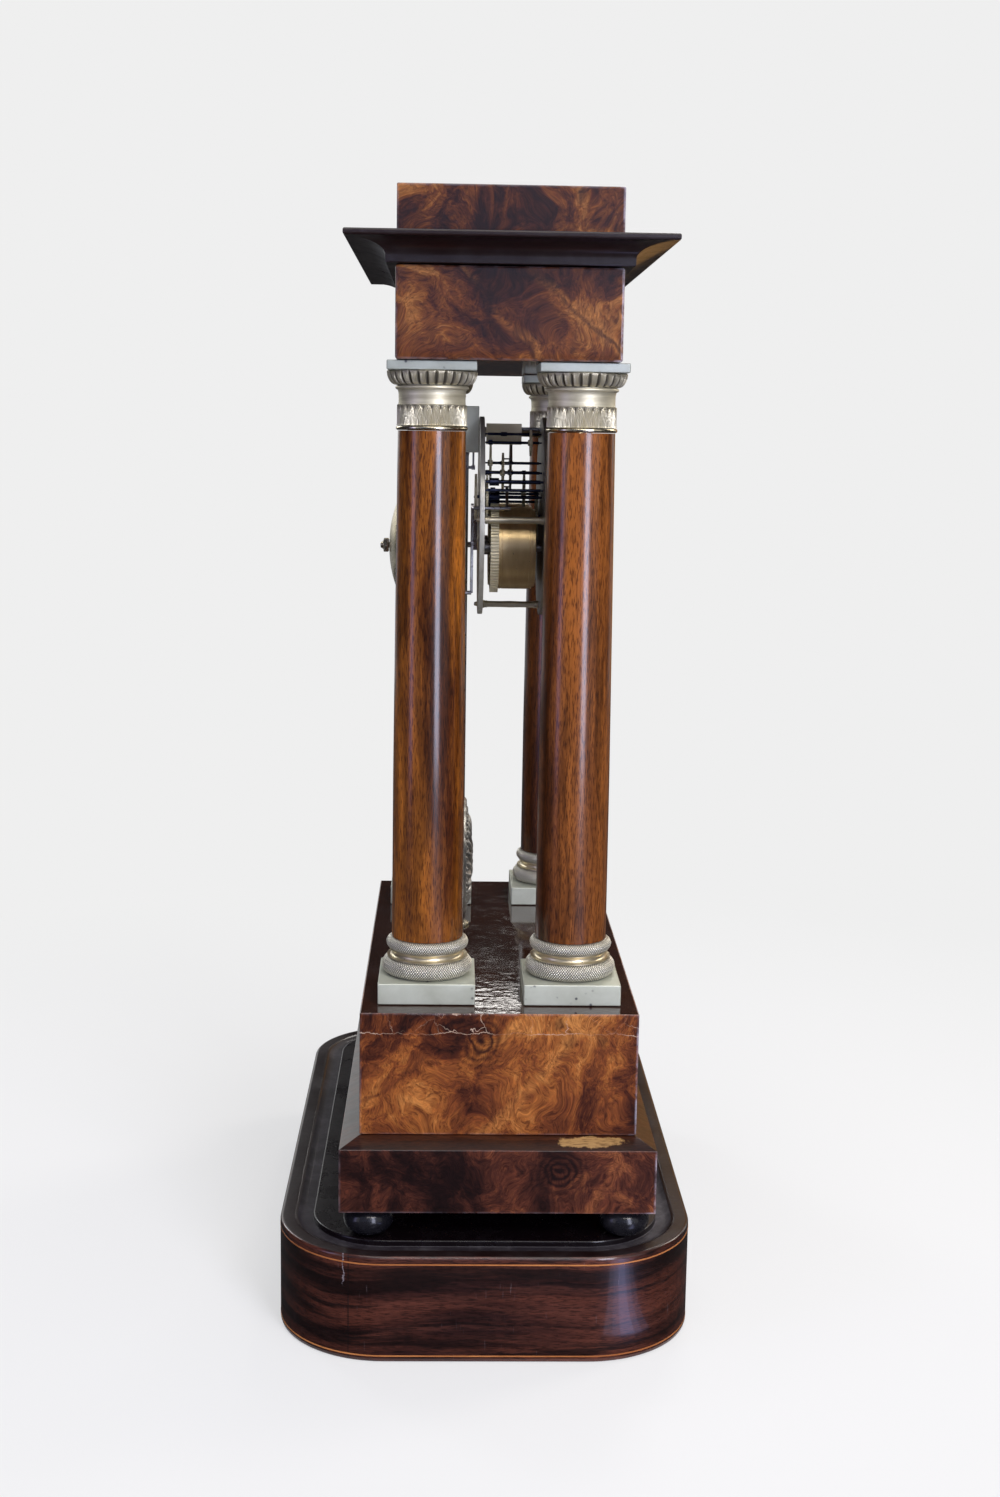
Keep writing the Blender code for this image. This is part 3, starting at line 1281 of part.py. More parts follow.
def make_motion_work():
    below = mesh_distance(MINUTE_TEETH, CANNON_TEETH, MINUTE_MODULE)
    minute_place = (0, -below)
    down, up = -math.pi / 2, math.pi / 2
    cannon_low = FRONT_FACE + CANNON_FROM
    hour_low = FRONT_FACE + HOUR_WHEEL_FROM
    minute_hand_top = MINUTE_HAND_FROM + HAND_THICK
    pipe = rod("cannon_pipe", CANNON_PIPE_RADIUS, cannon_low, minute_hand_top, HOLE_SEGMENTS)
    leaves = pinion(
        "cannon_leaves", CANNON_TEETH, MINUTE_MODULE, cannon_low, MOTION_THICK, down
    )
    bore = rod(
        "cannon_bore", CANNON_BORE_RADIUS, cannon_low - OVERRUN, minute_hand_top + OVERRUN,
        HOLE_SEGMENTS,
    )
    in_movement([pipe, leaves, bore], (0, 0))
    combine(pipe, [leaves])
    combine(pipe, [bore], "DIFFERENCE")
    finish_part(pipe, "cannon_pinion", BRIGHT_STEEL)
    parts = [
        wheel("minute_teeth", MINUTE_TEETH, MINUTE_MODULE, cannon_low, MOTION_THICK, up),
        pinion("minute_leaves", MINUTE_PINION, HOUR_MODULE, hour_low, MOTION_THICK, up),
    ]
    make_wheel_arbor(
        "minute_wheel", minute_place, parts, low=FRONT_FACE + SEAT_GAP,
        high=HANGER_REAR - SEAT_GAP,
    )
    toothed = wheel("hour_teeth", HOUR_TEETH, HOUR_MODULE, hour_low, MOTION_THICK, down)
    hour_pipe = rod(
        "hour_pipe", HOUR_PIPE_RADIUS, hour_low, HOUR_HAND_FROM + HAND_THICK, HOLE_SEGMENTS
    )
    bore = rod(
        "hour_bore", CANNON_PIPE_RADIUS + SEAT_GAP, hour_low - OVERRUN,
        HOUR_HAND_FROM + HAND_THICK + OVERRUN, HOLE_SEGMENTS,
    )
    in_movement([hour_pipe, toothed, bore], (0, 0))
    combine(hour_pipe, [toothed])
    combine(hour_pipe, [bore], "DIFFERENCE")
    finish_part(hour_pipe, "hour_wheel", WHEEL_BRASS)


def make_hand(name, length, low, bore_radius, turn):
    """A tapered hand with a pierced ring near its tip, fitted round its pipe."""
    ring_at = length * HAND_RING_SHARE
    high = low + HAND_THICK
    body = flat(name + "_hub", [circle(HAND_HUB_RADIUS, HAND_SEGMENTS)], low, high)
    shapes = [
        [(-HAND_WIDTH, 0), (HAND_WIDTH, 0), (HAND_WIDTH / 2, ring_at), (-HAND_WIDTH / 2, ring_at)],
        [(-HAND_WIDTH, 0), (-HAND_WIDTH / 2, -HAND_TAIL), (HAND_WIDTH / 2, -HAND_TAIL), (HAND_WIDTH, 0)],
        [(-HAND_WIDTH / 2, ring_at), (HAND_WIDTH / 2, ring_at), (0, length)],
    ]
    parts = [flat(name + "_piece", [shape], low, high) for shape in shapes]
    parts.append(flat(name + "_ring", [circle(HAND_RING_RADIUS, HAND_SEGMENTS, (0, ring_at))], low, high))
    pierced = rod(
        name + "_pierced", HAND_RING_RADIUS - HAND_RING_WALL, low - OVERRUN, high + OVERRUN,
        HAND_SEGMENTS, (0, ring_at),
    )
    bore = rod(name + "_bore", bore_radius, low - OVERRUN, high + OVERRUN, HOLE_SEGMENTS)
    in_movement([body] + parts + [pierced, bore], (0, 0))
    for obj in [body] + parts + [pierced, bore]:
        obj.rotation_euler = (math.pi / 2, turn, 0)
    combine(body, parts)
    combine(body, [pierced, bore], "DIFFERENCE")
    finish_part(body, name, BLUED_STEEL)


def make_hands():
    minute_turn = math.tau * MINUTE_SHOWN / 60
    hour_turn = math.tau * (HOUR_SHOWN + MINUTE_SHOWN / 60) / HOURS
    make_hand("hour_hand", HOUR_HAND_LENGTH, HOUR_HAND_FROM, HOUR_PIPE_RADIUS + SEAT_GAP, hour_turn)
    make_hand(
        "minute_hand", MINUTE_HAND_LENGTH, MINUTE_HAND_FROM, CANNON_PIPE_RADIUS + SEAT_GAP,
        minute_turn,
    )


def hinge_pin_profile():
    """Two outer knuckles with the pin between them, turned as one piece."""
    gap_half = KNUCKLE_HALF + SEAT_GAP
    return [
        (0, HINGE_HALF), (KNUCKLE_RADIUS, HINGE_HALF), (KNUCKLE_RADIUS, gap_half),
        (HINGE_PIN_RADIUS, gap_half), (HINGE_PIN_RADIUS, -gap_half), (KNUCKLE_RADIUS, -gap_half),
        (KNUCKLE_RADIUS, -HINGE_HALF), (0, -HINGE_HALF),
    ]


def hinge_place():
    forward = BACK_FACE - BEZEL_REAR - HINGE_FORWARD
    return on_base(HINGE_ACROSS, forward, PLATFORM + CENTRE_HEIGHT)


def make_dial_hanger():
    """The plate behind the dial: its tongue hangs it from the entablature."""
    top = ENTABLATURE_FOOT - PLATFORM - CENTRE_HEIGHT
    half_tongue = HANGER_TONGUE / 2
    start = math.acos(half_tongue / HANGER_RADIUS)
    steps = PLATE_SEGMENTS - HANGER_TONGUE_STEPS
    outline = []
    for i in range(steps + 1):
        angle = start - (math.tau - (math.pi - 2 * start)) * i / steps
        outline.append((HANGER_RADIUS * math.cos(angle), HANGER_RADIUS * math.sin(angle)))
    outline += [(-half_tongue, top), (half_tongue, top)]
    loops = [outline, circle(CENTRE_HOLE_RADIUS, HOLE_SEGMENTS)]
    for side in (-1, 1):
        place = (side * BARREL_ACROSS, -BARREL_DROP)
        loops.append(circle(WINDING_HOLE_RADIUS, HOLE_SEGMENTS, place))
    plate = flat("hanger_plate", loops, HANGER_REAR, HANGER_REAR + HANGER_THICK)
    half_foot = half_tongue - JOIN_DEPTH
    foot = box(
        "hanger_foot", (-half_foot, top - HANGER_THICK, HANGER_REAR - HANGER_FOOT),
        (half_foot, top - JOIN_DEPTH / 2, HANGER_REAR + JOIN_DEPTH),
    )
    parts = [foot]
    for bearing in DIAL_FOOT_BEARINGS:
        parts.append(rod(
            "dial_foot", DIAL_FOOT_RADIUS, FRONT_FACE + SEAT_GAP, HANGER_REAR + JOIN_DEPTH,
            ARBOR_SEGMENTS, away((0, 0), DIAL_FOOT_CIRCLE, bearing),
        ))
    hinge_forward = BEZEL_REAR + HINGE_FORWARD
    for side in (-1, 1):
        inner, outer = side * (KNUCKLE_HALF + SEAT_GAP + JOIN_DEPTH), side * (HINGE_HALF - JOIN_DEPTH)
        rear = HANGER_REAR + JOIN_DEPTH / 2
        low = (HINGE_ACROSS - HINGE_TAB / 2, min(inner, outer), rear)
        high = (HINGE_ACROSS + HINGE_TAB / 2, max(inner, outer), hinge_forward)
        parts.append(box("hinge_tab", low, high))
        arm_start = math.sqrt(HANGER_RADIUS**2 - HINGE_HALF**2) - OVERRUN
        low = (arm_start, low[1] + JOIN_DEPTH, rear + JOIN_DEPTH / 4)
        high = (HINGE_ACROSS, high[1] - JOIN_DEPTH, rear + HANGER_THICK - JOIN_DEPTH)
        parts.append(box("hinge_arm", low, high))
    in_movement([plate] + parts, (0, 0))
    pin = turned("hinge_pin", hinge_pin_profile(), ARBOR_SEGMENTS)
    pin.location = hinge_place()
    combine(plate, parts + [pin])
    finish_part(plate, "dial_hanger", PLATE_BRASS)


def make_dial():
    loops = [circle(DIAL_RADIUS - SEAT_GAP, PLATE_SEGMENTS), circle(CENTRE_HOLE_RADIUS, HOLE_SEGMENTS)]
    for side in (-1, 1):
        place = (side * BARREL_ACROSS, -BARREL_DROP)
        loops.append(circle(WINDING_HOLE_RADIUS, HOLE_SEGMENTS, place))
    dial = flat("dial_disc", loops, DIAL_REAR, DIAL_FACE)
    in_movement([dial], (0, 0))
    finish_part(dial, "dial", ENAMEL)


def make_bezel():
    """A turned ring, hinged at its right side, with a seat for the domed glass."""
    front = BEZEL_REAR + BEZEL_DEPTH
    seat = front - BEZEL_LIP
    profile = [
        (BEZEL_SEAT_RADIUS, front), (BEZEL_SEAT_RADIUS + BEZEL_LIP, front),
        (BEZEL_RADIUS - BEZEL_LIP, seat - BEZEL_LIP),
        (BEZEL_RADIUS, BEZEL_REAR + BEZEL_LIP), (BEZEL_RADIUS, BEZEL_REAR),
        (BEZEL_SEAT_RADIUS + SEAT_GAP, BEZEL_REAR),
        (BEZEL_SEAT_RADIUS + SEAT_GAP, DIAL_FACE + SEAT_GAP + BEZEL_LIP),
        (BEZEL_INNER_RADIUS, DIAL_FACE + SEAT_GAP + 2 * BEZEL_LIP),
        (BEZEL_INNER_RADIUS, seat), (BEZEL_SEAT_RADIUS, seat),
    ]
    ring = turned("bezel_ring", profile, BEZEL_SEGMENTS, ring=True)
    arm_forward = BEZEL_REAR + HINGE_FORWARD
    arm_half, arm_thick = KNUCKLE_HALF - JOIN_DEPTH, KNUCKLE_RADIUS - JOIN_DEPTH
    arm = box(
        "bezel_arm", (BEZEL_RADIUS - OVERRUN, -arm_half, arm_forward - arm_thick),
        (HINGE_ACROSS, arm_half, arm_forward + arm_thick),
    )
    in_movement([ring, arm], (0, 0))
    knuckle = rod("bezel_knuckle", KNUCKLE_RADIUS, -KNUCKLE_HALF, KNUCKLE_HALF)
    bore = rod(
        "bezel_bore", HINGE_PIN_RADIUS + SEAT_GAP, -KNUCKLE_HALF - OVERRUN, KNUCKLE_HALF + OVERRUN
    )
    for piece in (knuckle, bore):
        piece.location = hinge_place()
    combine(ring, [arm, knuckle])
    combine(ring, [bore], "DIFFERENCE")
    finish_part(ring, "bezel", GILT_BRASS)
    glass_radius = BEZEL_SEAT_RADIUS - SEAT_GAP
    low = seat + SEAT_GAP
    outer, inner = [], []
    for i in range(GLASS_STEPS + 1):
        share = i / GLASS_STEPS
        rise = GLASS_RISE * (1 - share**2)
        outer.append((glass_radius * share, low + GLASS_WALL + rise))
        inner.append((glass_radius * share, low + rise))
    glass = turned("glass_dome", outer + inner[::-1], BEZEL_SEGMENTS)
    in_movement([glass], (0, 0))
    finish_part(glass, "bezel_glass", CLEAR_GLASS)


# Bell and hammer


def make_bell():
    outer = [(BELL_RADIUS * out, -BELL_DEPTH * down) for out, down in BELL_SHARES]
    inner_radius, inner_depth = BELL_RADIUS - BELL_WALL, BELL_DEPTH - BELL_WALL
    inner = [(inner_radius * out, -BELL_WALL - inner_depth * down) for out, down in BELL_SHARES]
    stud = STAND_RADIUS + SEAT_GAP
    profile = [(stud, outer[0][1])] + outer[1:] + inner[:0:-1] + [(stud, inner[0][1])]
    shell = turned("bell_shell", profile, BELL_SEGMENTS, ring=True)
    shell.rotation_euler = (-math.pi / 2, 0, 0)
    shell.location = bell_apex()
    finish_part(shell, "bell", BELL_METAL)
    low = SEAT_GAP
    nut = rod("nut_blank", BELL_NUT_WIDTH / 2, low, low + BELL_NUT_THICK, BELL_NUT_SIDES)
    hole = rod("nut_hole", stud, low - OVERRUN, low + BELL_NUT_THICK / 2, ARBOR_SEGMENTS)
    for piece in (nut, hole):
        piece.rotation_euler = (-math.pi / 2, 0, 0)
        piece.location = bell_apex()
    combine(nut, [hole], "DIFFERENCE")
    finish_part(nut, "bell_nut", BRIGHT_STEEL)


def bell_apex():
    height = PLATFORM + CENTRE_HEIGHT - BELL_DROP
    return on_base(0, BELL_APEX_BACK, height)


def make_bell_stand():
    """A steel bar screwed to the back plate, bent back past the rod to the bell's middle."""
    plate_back = BACK_FACE + STAND_PLATE_GAP
    bar_back = plate_back + STAND_FOOT_THICK / 2
    low = STAND_RISE - STAND_FOOT_HEIGHT
    turn_back = bar_back + STAND_FOOT_THICK
    level = -BELL_DROP
    stud_end = BELL_APEX_BACK + SEAT_GAP + BELL_NUT_THICK / 4
    stud_start = BELL_APEX_BACK - BELL_WALL - STUD_LENGTH
    route = [
        (STAND_ACROSS, bar_back, level),
        (STAND_ACROSS, turn_back, level),
        (STAND_ACROSS, (turn_back + stud_start) / 2, level),
        (STAND_ACROSS / 2, stud_start, level),
        (0, stud_start + STUD_BEND, level),
        (0, stud_end, level),
    ]
    curve = bpy.data.curves.new("stand_bar", "CURVE")
    curve.dimensions = "3D"
    curve.bevel_depth = STAND_RADIUS
    curve.bevel_resolution = 1
    curve.use_fill_caps = True
    spline = curve.splines.new("POLY")
    spline.points.add(len(route) - 1)
    for point, (across, back, up) in zip(spline.points, route):
        height = PLATFORM + CENTRE_HEIGHT + up
        point.co = (*on_base(across, back, height), 1)
    drawn = bpy.data.objects.new("stand_bar", curve)
    bpy.context.scene.collection.objects.link(drawn)
    graph = bpy.context.evaluated_depsgraph_get()
    mesh = bpy.data.meshes.new_from_object(drawn.evaluated_get(graph))
    bpy.data.objects.remove(drawn)
    bm = bmesh.new()
    bm.from_mesh(mesh)
    bmesh.ops.remove_doubles(bm, verts=bm.verts, dist=WELD)
    bmesh.ops.recalc_face_normals(bm, faces=bm.faces)
    bm.to_mesh(mesh)
    bm.free()
    bar = helper("stand_bar", mesh)
    half = STAND_FOOT_WIDTH / 2
    base = PLATFORM + CENTRE_HEIGHT
    foot = box(
        "stand_foot",
        on_base(STAND_ACROSS - half, plate_back, base + low),
        on_base(STAND_ACROSS + half, plate_back + STAND_FOOT_THICK, base + STAND_RISE),
    )
    combine(foot, [bar])
    finish_part(foot, "bell_stand", BLUED_STEEL)


def make_hammer():
    """The arbor with its lifting tail inside the plates, and the arm and head behind them."""
    place = (HAMMER_ACROSS, HAMMER_RISE)
    tail_high = HAMMER_TAIL_FROM + HAMMER_TAIL_THICK
    arbor = rod("hammer_arbor", HAMMER_ARBOR_RADIUS, -HAMMER_ARM_FROM, tail_high + OVERRUN)
    tail_end = away((0, 0), HAMMER_TAIL_LENGTH, HAMMER_TAIL_BEARING)
    tail = flat(
        "hammer_tail", [bar_outline((0, 0), tail_end, HAMMER_TAIL_WIDTH)],
        HAMMER_TAIL_FROM, tail_high,
    )
    head_at = (HAMMER_ARM_ACROSS, -HAMMER_ARM_DROP)
    arm = flat(
        "hammer_arm", [bar_outline((0, 0), head_at, HAMMER_ARM_WIDTH)],
        -HAMMER_ARM_FROM, -HAMMER_ARM_FROM + HAMMER_ARM_THICK,
    )
    boss = rod(
        "hammer_boss", HAMMER_ARM_WIDTH, -HAMMER_ARM_FROM, -HAMMER_ARM_FROM + HAMMER_ARM_THICK,
        HOLE_SEGMENTS,
    )
    stem_rear = -HAMMER_ARM_FROM - HAMMER_STEM_LENGTH
    stem = rod(
        "hammer_stem", HAMMER_STEM_RADIUS, stem_rear, -HAMMER_ARM_FROM + HAMMER_ARM_THICK / 2,
        ARBOR_SEGMENTS, head_at,
    )
    head = rod(
        "hammer_head", HAMMER_HEAD_RADIUS, stem_rear - HAMMER_STEM_RADIUS,
        stem_rear + HAMMER_HEAD_LENGTH, HAMMER_HEAD_SEGMENTS, head_at,
    )
    in_movement([arbor, tail, arm, boss, stem, head], place)
    combine(arbor, [tail, arm, boss, stem, head])
    finish_part(arbor, "hammer", BRIGHT_STEEL)


def smooth_round_parts():
    for obj in bpy.data.collections[COLLECTION_NAME].objects:
        obj.data.shade_smooth()
        obj.data.set_sharp_from_angle(angle=math.radians(SHARP_ANGLE))


def main():
    clear_scene()
    make_display_base()
    make_feet()
    make_plinth()
    make_columns()
    make_top()
    make_plates()
    make_going_train()
    make_strike_train()
    make_count_wheel()
    make_pallets()
    make_suspension()
    make_pendulum()
    make_motion_work()
    make_hands()
    make_dial_hanger()
    make_dial()
    make_bezel()
    make_bell()
    make_bell_stand()
    make_hammer()
    smooth_round_parts()


main()
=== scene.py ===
# %% [markdown]
# A portico clock stands on the base of its glass dome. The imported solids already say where
# every wheel and column is, so this lesson only dresses them: it loads the frame, keeps its
# box, and reads all places from it.

import functools
import json
import math

import bmesh
import bpy
import numpy as np
from mathutils import Matrix, Vector


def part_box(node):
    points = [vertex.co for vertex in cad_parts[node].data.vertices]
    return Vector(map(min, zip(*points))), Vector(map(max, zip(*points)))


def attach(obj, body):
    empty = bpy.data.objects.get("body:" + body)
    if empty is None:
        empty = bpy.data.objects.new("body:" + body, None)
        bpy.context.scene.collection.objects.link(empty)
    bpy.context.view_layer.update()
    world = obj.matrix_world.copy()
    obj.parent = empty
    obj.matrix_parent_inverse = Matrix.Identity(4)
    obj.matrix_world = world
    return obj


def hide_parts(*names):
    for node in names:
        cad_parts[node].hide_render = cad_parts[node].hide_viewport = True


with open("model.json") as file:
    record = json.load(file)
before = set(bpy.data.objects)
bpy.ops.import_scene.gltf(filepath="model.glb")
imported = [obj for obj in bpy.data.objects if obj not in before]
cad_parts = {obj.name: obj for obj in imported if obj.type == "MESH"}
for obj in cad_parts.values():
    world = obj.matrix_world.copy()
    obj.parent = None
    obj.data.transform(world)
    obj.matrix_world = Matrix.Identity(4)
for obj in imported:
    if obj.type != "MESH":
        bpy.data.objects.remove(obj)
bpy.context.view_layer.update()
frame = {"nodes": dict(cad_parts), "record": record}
record = frame["record"]
body_of_node = {node: body for body, nodes in record["behaviour"]["bodies"].items() for node in nodes}
slot_of_node = {part["node"]: part["material_slot"] for part in record["subparts"]}

# %% [markdown]
# The photograph was taken from the clock's left end, a little above it, with a normal lens.
# Its place and turn were solved beforehand from the straight edges of the case, and the three
# axes of the camera are written out from those angles, because that leaves no guessing.

# %% Camera
YAW, PITCH, ROLL = -0.0273, 0.1657, 0.0152
CAMERA_PLACE = (-0.98777, 0.01973, 0.42577)
LENS_MM, SENSOR_MM = 45.39, 36
ahead = Vector((math.cos(YAW), math.sin(YAW), 0))
aside = Vector((math.sin(YAW), -math.cos(YAW), 0))
above = Vector((0, 0, 1))
looking = ahead * math.cos(PITCH) - above * math.sin(PITCH)
falling = -(ahead * math.sin(PITCH) + above * math.cos(PITCH))
camera = bpy.data.objects.new("photo_camera", bpy.data.cameras.new("photo_camera"))
scene = bpy.context.scene
scene.collection.objects.link(camera)
axes = Matrix((
    aside * math.cos(ROLL) - falling * math.sin(ROLL),
    -(aside * math.sin(ROLL) + falling * math.cos(ROLL)),
    -looking,
)).transposed()
camera.matrix_world = Matrix.Translation(CAMERA_PLACE) @ axes.to_4x4()
camera.data.lens = LENS_MM
camera.data.sensor_width = SENSOR_MM
camera.data.clip_start = 0.01
scene.camera = camera
print("camera at", [round(value, 3) for value in camera.location])

# %% [markdown]
# Every finish here is a small tree of shader nodes. One helper adds a node, sets its numbers and
# joins it to other nodes, so that each finish below reads almost like a sentence. Its first use
# is the world, which gives even light and shows itself pale to the camera and in reflections.

# %% Nodes in words
def settle(node, **sockets):
    """Sets sockets to numbers or joins them to outputs; s0 is the first, and _ stands for a space."""
    for key, value in sockets.items():
        socket = node.inputs[int(key[1:])] if key[1:].isdigit() else node.inputs[key.replace("_", " ")]
        if isinstance(value, bpy.types.NodeSocket):
            node.id_data.links.new(value, socket)
        else:
            socket.default_value = value


def add(tree, kind, settings=None, **sockets):
    """Adds a shader node of a kind, with its settings and its sockets."""
    made = tree.nodes.new("ShaderNode" + kind)
    for key, value in (settings or {}).items():
        setattr(made, key, value)
    settle(made, **sockets)
    return made


PALE = (0.863, 0.863, 0.863, 1)
scene.view_settings.view_transform = "Standard"
world = bpy.data.worlds.new("studio")
scene.world = world
world.use_nodes = True
sky = world.node_tree
sky.nodes.clear()
path = add(sky, "LightPath")
seen = path.outputs["Is Camera Ray"]
for kind in ("Is Transmission Ray", "Is Glossy Ray"):
    seen = add(sky, "Math", {"operation": "MAXIMUM"}, s0=seen, s1=path.outputs[kind]).outputs[0]
even = add(sky, "Background", Color=(0.86, 0.9, 1.0, 1), Strength=0.34)
pale = add(sky, "Background", Color=PALE, Strength=1.0)
outer = add(sky, "MixShader", s0=seen, s1=even.outputs[0], s2=pale.outputs[0])
add(sky, "OutputWorld", Surface=outer.outputs[0])
print("world nodes", len(sky.nodes))

# %% [markdown]
# A studio for polished wood needs long soft lamps, because a round column shows each lamp as a
# thin upright line. One strip stands right of the camera and a weaker, cooler one on the left.
# The other lamps light the top, the dial's side and the far end, so no side is lost in the dark.

# %% Lamps
AIM = Vector((0, 0, 0.3))


def strip_lamp(name, bearing, distance, height, width, tall, power, colour):
    """A tall soft lamp at a bearing in degrees, counted from the camera's side towards the dial's."""
    angle = math.radians(bearing)
    place = Vector((-distance * math.cos(angle), -distance * math.sin(angle), height))
    lamp = bpy.data.lights.new(name, "AREA")
    lamp.shape, lamp.size, lamp.size_y = "RECTANGLE", width, tall
    lamp.energy, lamp.color = power, colour
    obj = bpy.data.objects.new(name, lamp)
    scene.collection.objects.link(obj)
    obj.location = place
    obj.rotation_euler = (AIM - place).to_track_quat("-Z", "Y").to_euler()


WARM_LIGHT, SOFT_LIGHT = (1, 0.93, 0.84), (1, 0.97, 0.93)
strip_lamp("strip_right", 22, 1.7, 0.55, 0.42, 1.5, 24, (0.76, 0.79, 1))
strip_lamp("strip_left", -58, 1.6, 0.5, 0.34, 1.4, 3.0, (0.46, 0.44, 1))
strip_lamp("key", 26, 1.7, 1.55, 0.7, 0.4, 13, WARM_LIGHT)
strip_lamp("wide_front", 116, 1.7, 1.2, 0.5, 0.9, 10, WARM_LIGHT)
strip_lamp("wide_rear", -138, 1.8, 1.1, 0.4, 0.9, 6, (0.95, 0.97, 1))
strip_lamp("far_side", 165, 1.9, 1.9, 0.7, 0.5, 12, SOFT_LIGHT)
strip_lamp("far_glow", 178, 2.1, 0.92, 0.12, 0.10, 0.24, SOFT_LIGHT)
strip_lamp("high_near", 0, 1.7, 1.6, 0.5, 0.14, 3.0, WARM_LIGHT)
strip_lamp("overhead", 10, 0.5, 2.2, 1.4, 1.4, 17, (1, 0.98, 0.95))

# %% [markdown]
# The studio is made of flat sheets with dull finishes. All but the floor are hidden from the
# camera and from the lamps, so they show in reflections only: they never stand in a picture or
# take light away.

# %% Sheets of the studio
def dull_finish(name, colour, rough=1.0):
    """One colour without gloss; gives the finish and its shader."""
    made = bpy.data.materials.new(name)
    made.use_nodes = True
    shader = made.node_tree.nodes["Principled BSDF"]
    settle(shader, Base_Color=(*colour, 1), Roughness=rough)
    return made, shader


def stage_sheet(name, corners, finish, hidden=True):
    """A flat sheet of the studio; a hidden one is seen by reflections alone."""
    mesh = bpy.data.meshes.new(name)
    mesh.from_pydata([tuple(corner) for corner in corners], [], [tuple(range(len(corners)))])
    mesh.materials.append(finish)
    sheet = bpy.data.objects.new(name, mesh)
    scene.collection.objects.link(sheet)
    if hidden:
        sheet.visible_camera = sheet.visible_diffuse = False
        sheet.visible_shadow = sheet.visible_transmission = False


print("sheets ready")

# %% [markdown]
# Polish shows whatever stands round it. Black cards, as a photographer sets up for silver and
# glass, keep the pale room out of the polish, and the gaps between them stay as bright edges.
# A grey card above, a blue grey one high up and an amber one behind give the cool and warm sheen.

# %% Studio cards
ROOM, CARD_FOOT, CARD_TOP, CEILING = 2.3, 0.003, 2.6, 2.65


def upright_card(name, bearing, width, foot, top, finish):
    """A card that faces the clock at a bearing: from foot to top, and width across."""
    angle = math.radians(bearing)
    outwards = np.array([-math.cos(angle), -math.sin(angle), 0])
    side = np.array([outwards[1], -outwards[0], 0]) * width / 2
    places = ((-1, foot), (1, foot), (1, top), (-1, top))
    stage_sheet(name, [outwards * ROOM + side * a + np.array([0, 0, z]) for a, z in places], finish)


black, _ = dull_finish("card_finish", (0.02, 0.018, 0.018))
grey_card, _ = dull_finish("grey_card", (0.20, 0.20, 0.27))
amber, _ = dull_finish("amber_card", (0.42, 0.22, 0.07))
haze, _ = dull_finish("haze_card", (0.40, 0.46, 0.66))
upright_card("card_near", 0, 4.0, CARD_FOOT, 0.5, black)
upright_card("card_right", 93, 2.8, CARD_FOOT, CARD_TOP, black)
upright_card("card_left", -100, 3.6, CARD_FOOT, CARD_TOP, black)
upright_card("card_far", 180, 0.7, CARD_FOOT, CARD_TOP, black)
upright_card("card_amber", 156, 1.35, CARD_FOOT, CARD_TOP, amber)
upright_card("card_above", 0, 4.0, 0.5, CARD_TOP, haze)
table = [(-ROOM * math.cos(a), -ROOM * math.sin(a), 0.002) for a in np.arange(48) * math.tau / 48]
stage_sheet("card_table", table, black)
stage_sheet("card_ceiling", [(-3, -3, CEILING), (-3, 3, CEILING), (3, 3, CEILING), (3, -3, CEILING)], grey_card)

# %% [markdown]
# The long soft gleam beside one corner of the base is the reflection of a bright thing low on
# the table. Three glowing strips of falling width lie one above another, so that the gleam is
# strongest in its middle and fades to both sides.

# %% Gleam beside the base
GLEAM_NEAR, GLEAM_FAR = np.array((-0.178, -0.079)), np.array((-0.64, -0.40))
GLEAM_ACROSS = np.array((-0.57, 0.82))
for name, half, level, strength in (
    ("gleam_wide", 0.021, 0.0035, 0.8), ("gleam_middle", 0.013, 0.004, 1.9), ("gleam_core", 0.006, 0.0045, 3.6),
):
    gleam, shader = dull_finish(name, (0.02, 0.02, 0.02), 0.5)
    settle(shader, Emission_Color=(0.50, 0.54, 1, 1), Emission_Strength=strength)
    near, far = GLEAM_ACROSS * half, GLEAM_ACROSS * half * 3
    ends = (GLEAM_NEAR + near, GLEAM_NEAR - near, GLEAM_FAR - far, GLEAM_FAR + far)
    stage_sheet(name, [(*end, level) for end in ends], gleam)

# %% [markdown]
# The floor is one large pale sheet. Close to the clock it takes its light and its shadow as
# paper would, and further out it turns into even paleness, so no edge or horizon shows.

# %% Floor
floor_finish = bpy.data.materials.new("floor_finish")
floor_finish.use_nodes = True
tree = floor_finish.node_tree
tree.nodes.clear()
lit = add(tree, "BsdfDiffuse", Color=(0.82, 0.82, 0.82, 1))
glow = add(tree, "Emission", Color=PALE, Strength=1.0)
reach = add(tree, "VectorMath", {"operation": "LENGTH"}, s0=add(tree, "TexCoord").outputs["Object"]).outputs["Value"]
far = add(tree, "MapRange", s0=reach, s1=0.25, s2=0.75, s3=0.6, s4=1.0).outputs[0]
paper = add(tree, "MixShader", s0=far, s1=lit.outputs[0], s2=glow.outputs[0])
path = add(tree, "LightPath")
both = add(tree, "MixShader", s0=path.outputs["Is Camera Ray"], s1=lit.outputs[0], s2=paper.outputs[0])
add(tree, "OutputMaterial", Surface=both.outputs[0])
stage_sheet("floor", [(-40, -40, 0), (40, -40, 0), (40, 40, 0), (-40, 40, 0)], floor_finish, hidden=False)
print("floor finish nodes", len(tree.nodes))

# %% [markdown]
# Every new piece is a surface over a grid of points: rows run along a profile and columns run
# round it. numpy works out all points at once, so a helper only has to join the grid into
# faces, close its poles and turn it outwards.

# %% Surfaces from grids
MERGE = 2e-7


def quads(rows, columns, first=0):
    """Corner numbers of the faces between neighbouring grid points; columns close on themselves."""
    i = np.arange(rows - 1)[:, None]
    j = np.arange(columns)[None, :]
    after = (j + 1) % columns
    corners = (i * columns + j, i * columns + after, (i + 1) * columns + after, (i + 1) * columns + j)
    return first + np.stack(corners, -1).reshape(-1, 4)


